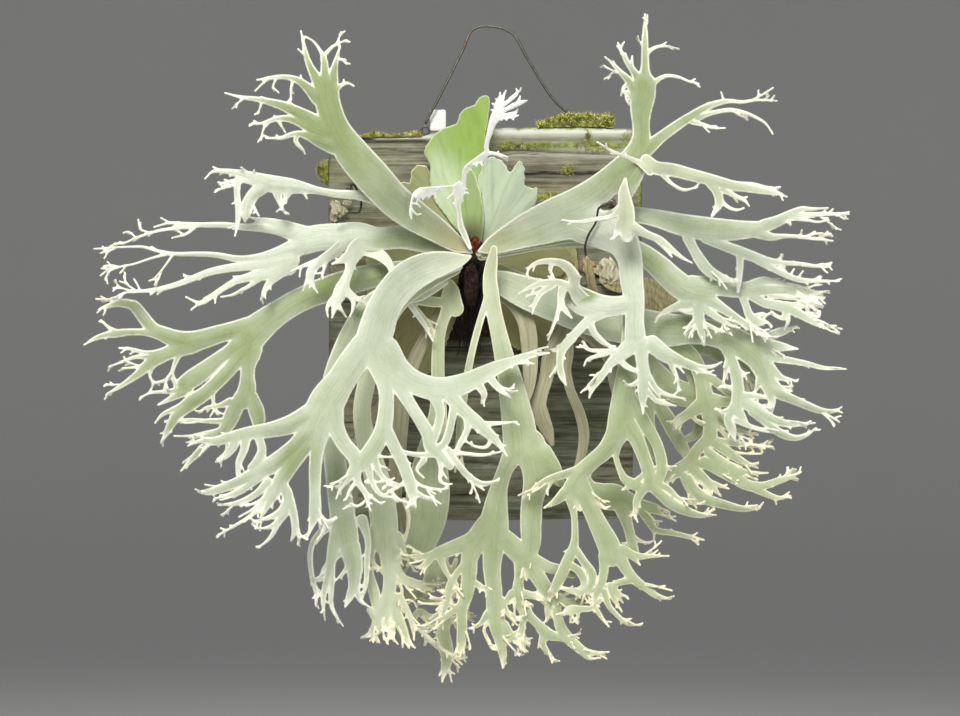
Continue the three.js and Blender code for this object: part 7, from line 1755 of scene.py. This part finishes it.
# ---- the creeping stem, its bud and its roots -------------------------------------------------------
def make_rhizome():
    c = place(np.array(471.0), np.array(284.0), np.array(48.0)) + [0, -1.5, 0]
    nu, nv = 96, 64
    u = np.arange(nu) / nu * 2 * np.pi
    v = np.linspace(0, np.pi, nv)[1:-1]
    dirs = np.stack([np.sin(v)[:, None] * np.cos(u), np.sin(v)[:, None] * np.sin(u), np.cos(v)[:, None] + 0 * u], -1)
    lump = 1 + 0.16 * (fractal(dirs[..., 0] * 4 + 9, dirs[..., 2] * 4 + dirs[..., 1] * 3, 101, 4) - 0.5) * 2
    P = c + dirs * np.array([5.6, 19.5, 16.5]) * lump[..., None]
    verts = np.concatenate([P.reshape(-1, 3), c[None] + [0, 0, 16.5], c[None] - [0, 0, 16.5]])
    nr = len(v)
    i, j = np.meshgrid(np.arange(nr - 1), np.arange(nu), indexing="ij")
    a, b = i * nu + j, i * nu + (j + 1) % nu
    quads = np.stack([a, a + nu, b + nu, b], -1).reshape(-1, 4)
    fans = np.concatenate([np.stack([np.arange(nu), (np.arange(nu) + 1) % nu, np.full(nu, nr * nu)], -1), np.stack([(nr - 1) * nu + (np.arange(nu) + 1) % nu, (nr - 1) * nu + np.arange(nu), np.full(nu, nr * nu + 1)], -1)])
    dark = root_material("rhizome_dark", srgb(12, 9, 7), srgb(30, 21, 16), srgb(62, 44, 32))
    core = build("rhizome_core", verts, [quads, fans], dark, True)
    settle(core, "rhizome", "rhizome")
    # narrow papery scales all over it
    heap = Heap()
    rng = np.random.RandomState(23)
    for _ in range(1500):
        d = rng.normal(0, 1, 3); d /= np.linalg.norm(d)
        p = c + d * np.array([5.6, 19.5, 16.5]) * 0.99
        nrm = d / np.array([5.6, 19.5, 16.5]); nrm /= np.linalg.norm(nrm)
        t = np.cross(nrm, rng.normal(0, 1, 3)); t /= np.linalg.norm(t)
        w = np.cross(nrm, t)
        L, W = rng.uniform(1.8, 4.2), rng.uniform(0.25, 0.5)
        tipv = p + t * L + nrm * rng.uniform(0.3, 1.3)
        mid = p + t * L * 0.5 + nrm * 0.25
        heap.add([p, mid + w * W, tipv, mid - w * W], [[0, 1, 2], [0, 2, 3]])
    settle(heap.make("rhizome_scales", root_material("scale_brown", srgb(20, 12, 9), srgb(54, 34, 24), srgb(104, 68, 46)), False), "rhizome")
    # roots: ragged dark strands below the stem, down to the foot of the pad
    heap = Heap()
    for k in range(520):
        x, y = rng.uniform(459, 487), rng.uniform(258, 306)
        dep = rng.uniform(30, 57) - 14 * smooth01((y - 280) / 30)
        pts = []
        fall = rng.uniform(18, 64) if k % 3 else rng.uniform(8, 24)
        foot = min(y + fall, 356.0)
        dx = (465 - x) * 0.35 + rng.uniform(-9, 8)
        low = 3.0 + 22 * float(pad_bump(np.array(x + dx), np.array(foot)))
        kink = rng.normal(0, 1.6, 7)
        for i, s in enumerate(np.linspace(0, 1, 7)):
            pts.append(place(np.array(x + dx * s + kink[i] * s), np.array(y + (foot - y) * s), np.array(dep + (low + rng.uniform(0.5, 9) - dep) * s ** 1.4 + rng.normal(0, 0.8))))
        r = rng.uniform(0.16, 0.5)
        v, t, q = tube(spline(pts, 11), np.linspace(r, r * 0.35, 12), 4)
        heap.add(v, t, q)
    settle(heap.make("rhizome_roots", dark), "rhizome")
    # the bud: tight pointed scales, red-brown
    heap = Heap()
    rng = np.random.RandomState(29)
    b = place(np.array(475.0), np.array(243.5), np.array(66.0))
    for k in range(420):
        s = rng.uniform(0, 1)
        an = rng.uniform(0, 2 * np.pi)
        rad = 3.8 * math.sqrt(1 - 0.8 * s)
        p = b + np.array([math.cos(an) * rad * 0.85, -s * 7.0, math.sin(an) * rad * 1.35])
        t = np.array([math.cos(an) * 0.25, -1.0, math.sin(an) * 0.25]) + rng.normal(0, 0.25, 3); t /= np.linalg.norm(t)
        w = np.cross(t, [math.cos(an), 0, math.sin(an)]); w /= np.linalg.norm(w) + 1e-9
        L, W = rng.uniform(1.6, 3.4), rng.uniform(0.25, 0.5)
        heap.add([p, p + t * L * 0.5 + w * W, p + t * L, p + t * L * 0.5 - w * W], [[0, 1, 2], [0, 2, 3]])
    v, t, q = tube(spline([b + [0, 3, 0], b + [0, -2, 0], b + [0, -5.5, 0.4]], 10), np.array([3.0, 3.1, 3.1, 3.0, 2.8, 2.5, 2.2, 1.8, 1.3, 0.8, 0.3]), 14)
    heap.add(v, t, q)
    # the palest orange on the bud's red-brown scales is a painted glint
    settle(heap.make("rhizome_bud", root_material("bud_red_and_painted_glint", srgb(84, 22, 12), srgb(172, 60, 30), srgb(238, 142, 88)), False), "rhizome")


make_rhizome()


# ---- metal -------------------------------------------------------------------------------------------
def metal_material(name, a, b, rust, rough=0.5, metallic=0.75):
    n = Nodes(name)
    pos = n.coords()
    c = n.mix(n.noise(pos, 600, 3), a, b)
    c = n.mix(n.math("MULTIPLY", n.range(n.noise(pos, 230, 4, 0.6), 0.5, 0.66), 0.7), c, rust)
    n.set(Metallic=metallic)
    return n.finish(c, n.range(n.noise(pos, 800, 2), 0.3, 0.7, rough - 0.12, rough + 0.2), n.bump(n.noise(pos, 1600, 3), 0.0002, 0.5))


wire_mat = metal_material("wire_green", srgb(70, 74, 62), srgb(42, 46, 38), srgb(84, 66, 48), 0.5, 0.4)
steel_mat = metal_material("steel_dull", srgb(120, 120, 112), srgb(84, 82, 76), srgb(104, 72, 48), 0.45, 0.85)
TOP = 158.0


def at(px, py, d):
    return place(np.array(float(px)), np.array(float(py)), np.array(float(d)))


def arch_at(order, px, py):
    return float(arch(order, np.array(float(px)), np.array(float(py))))


def wire(name, node, points, diameter, steps, material, slot):
    v, t, q = tube(spline(points, steps), diameter / 2, 12)
    ob = build(name, v, [t, q], material)
    settle(ob, slot, node)


wire("hanger_wire_loop", "hanger_wire", [(-48, -12.5, TOP + 3.2), (-36, -12.5, TOP + 26), (-18, -11, TOP + 62), (-10, -9, TOP + 79), (4, -8, TOP + 82), (22, -9, TOP + 76), (34, -11, TOP + 56), (54, -12.5, TOP + 24), (68, -12.5, TOP + 10.2)], 2.2, 120, steel_mat, "steel_wire")
wire("tie_wire_right_strand", "tie_wire_right", [at(612, 203, 5.2), at(611, 203, 40), at(609, 203.5, 90), at(606, 205, arch_at(10.5, 606, 205)), at(599, 208, arch_at(10.5, 599, 208)), at(596, 222, arch_at(10.35, 596, 222)), at(588, 236, arch_at(10.4, 588, 236)), at(585, 247, arch_at(10.2, 585, 247)), at(585.5, 253, arch_at(9.4, 585, 253)), at(586, 255, 80), at(586, 255, 40)], 1.7, 130, wire_mat, "steel_wire")
wire("tie_wire_left_strand", "tie_wire_left", [at(350, 190, 5.2), at(351, 186.5, 30), at(352, 184.8, 78), at(355, 186, 99), at(361, 200, 104), at(359, 212, arch_at(6.7, 359, 212)), at(348, 213, arch_at(6.8, 348, 213)), at(336, 223, arch_at(6.6, 336, 223))], 1.7, 110, wire_mat, "steel_wire")


def ring_eye(name, node, x, z):
    """The eye of a screw eye: a bent rod whose ends nearly meet, with the top of its shank."""
    c = np.array([x, -12.5, z])
    pts = [c + 3.2 * np.array([math.cos(a), 0.0, math.sin(a)]) for a in np.linspace(-math.pi / 2 + 0.2, 1.5 * math.pi - 0.05, 40)]
    h = Heap()
    v, t, q = tube(np.array(pts), 0.85, 12, up=(0, 1, 0))
    h.add(v, t, q)
    v, t, q = tube(np.array([c + [0, 0, -3.0], c + [0, 0, -4.2], c + [0, 0, -5.2]]), [0.85, 0.9, 0.9], 12)
    h.add(v, t, q)
    settle(h.make(name, steel_mat), "nail_steel", node)


ring_eye("screw_eye_left_ring", "screw_eye_left", -48, TOP - 2.4)
ring_eye("screw_eye_right_ring", "screw_eye_right", 68, TOP + 4.6)


def nail(name, node, px, py):
    """Shank and slightly domed, hammered head, turned about the nail's own axis."""
    prof = [(0.0, 0.0), (1.1, 0.0), (1.1, 1.9), (1.5, 2.15), (2.8, 2.25), (3.05, 2.5), (3.0, 3.0), (2.5, 3.3), (1.5, 3.5), (0.0, 3.6)]
    q = at(px, py, 0)
    n = 28
    a = np.arange(n) / n * 2 * np.pi
    verts = []
    for k, (r, h) in enumerate(prof):
        w = r * (1 + 0.05 * np.sin(3 * a + k) + 0.03 * np.sin(5 * a)) if k > 3 else r + 0 * a
        verts.append(np.stack([q[0] + w * np.cos(a), q[1] - 0.35 - h + 0.12 * np.sin(2 * a + k) * (k > 4) + 0 * a, q[2] + w * np.sin(a)], -1))
    i, j = np.meshgrid(np.arange(len(prof) - 1), np.arange(n), indexing="ij")
    s, e = i * n + j, i * n + (j + 1) % n
    quads = np.stack([s, e, e + n, s + n], -1).reshape(-1, 4)
    ob = build(name, np.concatenate(verts), [quads], steel_mat)
    settle(ob, "nail_steel", node)


nail("nail_right_head", "nail_right", 612, 203)
nail("nail_left_head", "nail_left", 350, 190)


# ---- dead stalk, papery scraps, plant tag -------------------------------------------------------
def dry_material(name, a, b, c):
    n = Nodes(name)
    pos = n.coords()
    grain = n.noise(n.vec("MULTIPLY", pos, (900, 300, 120)), 1.0, 4, 0.6)
    col = n.ramp(grain, (0.3, a), (0.5, b), (0.72, c))
    n.set(Roughness=0.9, Specular_IOR_Level=0.2)
    return n.finish(col, None, n.bump(grain, 0.0004, 0.8))


dry_mat = dry_material("dry_stalk", srgb(150, 130, 92), srgb(200, 182, 140), srgb(226, 214, 178))
paper_mat = dry_material("papery_scrap", srgb(176, 166, 132), srgb(212, 206, 178), srgb(236, 234, 214))


def ribbon(heap, pts, width, rng, thick=0.5, steps=26):
    """A dry torn strip: a flattened, crinkled tube."""
    P = spline(pts, steps)
    s = np.linspace(0, 1, steps + 1)
    w = width * (0.75 + 0.5 * vnoise(s * 6, 0 * s, rng.randint(99))) * np.clip(np.minimum(s, 1 - s) * 9, 0.15, 1)
    P = P + 0.35 * np.stack([vnoise(s * 9, 0 * s, 3) - 0.5, vnoise(s * 8, 0 * s, 5) - 0.5, 0 * s], -1)
    v, t, q = tube(P, w, 10, flat=thick / width, up=(1, 0, 0))
    heap.add(v, t, q)


h = Heap()
rng = np.random.RandomState(41)
ribbon(h, [at(586.5, 256, 34), at(589, 270, 38), at(592, 284, 41), at(595, 302, 43)], 3.2, rng, 1.3)
for k in range(5):
    o = rng.uniform(-2.4, 2.4)
    ribbon(h, [at(586.5 + o, 258 + rng.uniform(0, 8), 33 + k), at(589 + o, 270, 37 + k), at(592 + o * 1.2, 284, 40 + k), at(595 + o * 1.5, 292 + rng.uniform(0, 8), 42 + k)], rng.uniform(0.5, 0.9), rng, 0.3)
settle(h.make("dead_stipe_right_strips", dry_mat), "frond_old", "dead_stipe_right")

def shard(heap, centre, wide, tall, rng, turn=0.0):
    """A torn scrap of old frond: a thin closed sheet, folded along its length, with a ragged rim."""
    nu, nw = 13, 17
    w, u = np.meshgrid(np.linspace(-1, 1, nw), np.linspace(-1, 1, nu), indexing="ij")
    k = rng.randint(1000)
    side = 0.62 + 0.5 * vnoise(w * 2.6, 0 * w, k) - 0.45 * np.abs(w) ** 3
    end = 1 + 0.45 * (vnoise(u * 2.2, 0 * u, k + 1) - 0.5)
    x = u * side * wide + 0.8 * (vnoise(w * 1.4, 0 * w, k + 2) - 0.5) * wide
    z = w * end * tall
    fold = np.abs((u * 1.35 + 0.5 * w + k % 3 * 0.4) % 1.0 - 0.5) * 2
    y = -1.7 * fold - 0.9 * np.sin(w * 2.2 + k) + 0.5 * (vnoise(u * 3, w * 3, k + 3) - 0.5)
    x, z = x * math.cos(turn) - z * math.sin(turn), x * math.sin(turn) + z * math.cos(turn)
    th = 0.18 * np.sqrt(np.clip((1 - u ** 2) * (1 - w ** 2), 0, 1)) + 0.05
    P = np.stack([x, y, z], -1)
    T = np.stack([0 * th, th, 0 * th], -1)
    n = nu * nw
    i, j = np.meshgrid(np.arange(nw - 1), np.arange(nu - 1), indexing="ij")
    a = (i * nu + j).reshape(-1)
    quads = [np.stack([a, a + 1, a + nu + 1, a + nu], -1), n + np.stack([a, a + nu, a + nu + 1, a + 1], -1)]
    g = np.arange(n).reshape(nw, nu)
    loop = np.concatenate([g[0, :-1], g[:-1, -1], g[-1, :0:-1], g[:0:-1, 0]])
    nxt = np.roll(loop, -1)
    quads.append(np.stack([loop, loop + n, nxt + n, nxt], -1))
    heap.add(np.concatenate([(P - T).reshape(-1, 3), (P + T).reshape(-1, 3)]) + centre, quads=np.concatenate(quads))


h = Heap()
for px, py, wide, tall, dep, turn in ((607, 269, 7.2, 9.0, 9.5, 0.2), (613, 274, 5.6, 8.0, 7.5, -0.25), (603, 277, 4.2, 5.0, 7, 0.35), (337, 207, 4.5, 5.5, 5.5, 0.3), (343, 213, 4.0, 4.8, 4, -0.4), (334, 217, 3.2, 4.4, 3, 0.1), (347, 203, 3.0, 3.0, 4.5, 0.9)):
    shard(h, at(px, py, dep), wide, tall, rng, turn)
settle(h.make("papery_scraps", paper_mat), "frond_old")
h = Heap()
for px, py, wide, tall, dep, turn in ((588, 262, 2.6, 6.4, 6, 1.15), (583, 268, 2.0, 5.0, 5, 0.75)):
    shard(h, at(px, py, dep), wide, tall, rng, turn)
settle(h.make("rusty_scraps", dry_material("rusty_scrap", srgb(150, 112, 74), srgb(196, 160, 116), srgb(222, 204, 166))), "frond_old")
h = Heap()
for px, py, wide, tall, dep, turn in ((637, 287, 10.0, 35.0, 5, 1.17), (646, 301, 7.0, 28.0, 4, 1.0)):
    shard(h, at(px, py, dep), wide, tall, rng, turn)
settle(h.make("tan_scraps", dry_material("tan_scrap", srgb(142, 130, 94), srgb(180, 168, 128), srgb(208, 198, 160))), "frond_old")


def make_tag():
    """A blank plastic tag: thin, slightly bowed, with rounded corners and a bevelled rim."""
    w, hgt, r = 13.0, 17.0, 1.6
    out = []
    for cx, cz, a0 in ((w / 2 - r, hgt / 2 - r, 0), (-w / 2 + r, hgt / 2 - r, 90), (-w / 2 + r, -hgt / 2 + r, 180), (w / 2 - r, -hgt / 2 + r, 270)):
        for a in np.linspace(a0, a0 + 90, 8):
            out.append((cx + r * math.cos(math.radians(a)), cz + r * math.sin(math.radians(a))))
    ring = np.array(out)
    n = len(ring)
    rows, faces = [], []
    for s, y in ((0.0, -0.4), (0.35, -0.4), (0.7, -0.4), (0.95, -0.4), (1.0, -0.25), (1.0, 0.25), (0.95, 0.4), (0.7, 0.4), (0.35, 0.4), (0.0, 0.4)):
        q = ring * max(s, 0.001) if s < 0.95 else ring - (1 - s) * np.sign(ring) * 4
        bow = 0.5 * (1 - (q[:, 0] / (w / 2)) ** 2)
        rows.append(np.stack([q[:, 0], y - bow, q[:, 1]], -1))
    P = np.concatenate(rows)
    c, s_ = math.cos(0.1), math.sin(0.1)
    P = np.stack([P[:, 0] * c - P[:, 1] * s_, P[:, 0] * s_ + P[:, 1] * c, P[:, 2]], -1) + [-38, -6, TOP + 6.4]
    i, j = np.meshgrid(np.arange(len(rows) - 1), np.arange(n), indexing="ij")
    a, b = i * n + j, i * n + (j + 1) % n
    quads = np.stack([a, a + n, b + n, b], -1).reshape(-1, 4)
    m = Nodes("tag_white")
    pos = m.coords()
    col = m.mix(m.math("MULTIPLY", m.range(m.noise(pos, 190, 4, 0.6), 0.5, 0.75), 0.5), srgb(254, 254, 252), srgb(236, 236, 226))
    m.set(Roughness=0.42)
    m.finish(col, m.range(m.noise(pos, 500, 2), 0.3, 0.7, 0.34, 0.55), m.bump(m.noise(pos, 700, 3), 0.0001, 0.4))
    settle(build("plant_tag_blank", P, [quads], m.mat), "tag_plastic", "plant_tag")


make_tag()


# ---- floor, backdrop, light and camera -------------------------------------------------------------
def stage_mesh():
    verts, quads = [], []
    n = 96
    a = np.arange(n) / n * 2 * np.pi
    prof = [(0.02, -0.80), (1.5, -0.80), (3.5, -0.80), (5.0, -0.80), (6.2, -0.72), (7.0, -0.45), (7.5, 0.05), (7.7, 0.8), (7.8, 2.0), (7.8, 4.5)]
    for r, z in prof:
        verts.append(np.stack([r * np.cos(a), r * np.sin(a), z + 0 * a], -1) * 1000)
    i, j = np.meshgrid(np.arange(len(prof) - 1), np.arange(n), indexing="ij")
    s, e = i * n + j, i * n + (j + 1) % n
    quads = np.stack([s, s + n, e + n, e], -1).reshape(-1, 4)
    m = Nodes("studio_grey")
    pos = m.coords()
    col = m.mix(m.noise(pos, 0.5, 2), srgb(206, 206, 203), srgb(212, 212, 209))
    m.set(Roughness=0.95, Specular_IOR_Level=0.1)
    m.finish(col, None, m.bump(m.noise(pos, 30, 3), 0.001, 0.2))
    ob = build("studio_floor", np.concatenate(verts), [quads], m.mat)


stage_mesh()

world = bpy.data.worlds.new("studio")
bpy.context.scene.world = world
world.use_nodes = True
world.node_tree.nodes["Background"].inputs[0].default_value = (0.93, 0.96, 1.0, 1)
world.node_tree.nodes["Background"].inputs[1].default_value = 0.24


def area(name, where, size, power, colour, look=(0.0, -0.08, -0.03)):
    data = bpy.data.lights.new(name, "AREA")
    data.shape, data.size, data.energy, data.color = "DISK", size, power, colour
    ob = bpy.data.objects.new(name, data)
    bpy.context.scene.collection.objects.link(ob)
    ob.location = where
    ob.rotation_euler = (Vector(look) - Vector(where)).to_track_quat("-Z", "Y").to_euler()
    return ob


area("key", (-0.45, -2.3, 1.65), 1.3, 80, (1.0, 0.985, 0.95))
area("fill", (1.4, -2.6, 0.2), 1.8, 22, (0.97, 0.99, 1.0))
area("back", (0.2, 2.4, 1.7), 2.0, 30, (1.0, 1.0, 1.0))

cam = bpy.data.cameras.new("photo_angle")
cam.lens, cam.sensor_width, cam.sensor_fit = 93.75, 36.0, "HORIZONTAL"
cam.clip_start, cam.clip_end = 0.05, 60.0
cam_ob = bpy.data.objects.new("photo_angle", cam)
bpy.context.scene.collection.objects.link(cam_ob)
cam_ob.location = (-0.004, -2.025, -0.0276)
cam_ob.rotation_euler = (math.radians(90), 0.0, 0.0)
bpy.context.scene.camera = cam_ob
bpy.context.scene.view_settings.view_transform = "Standard"
bpy.context.scene.view_settings.look = "None"
bpy.context.scene.view_settings.exposure = 0.0
bpy.context.scene.view_settings.gamma = 1.0
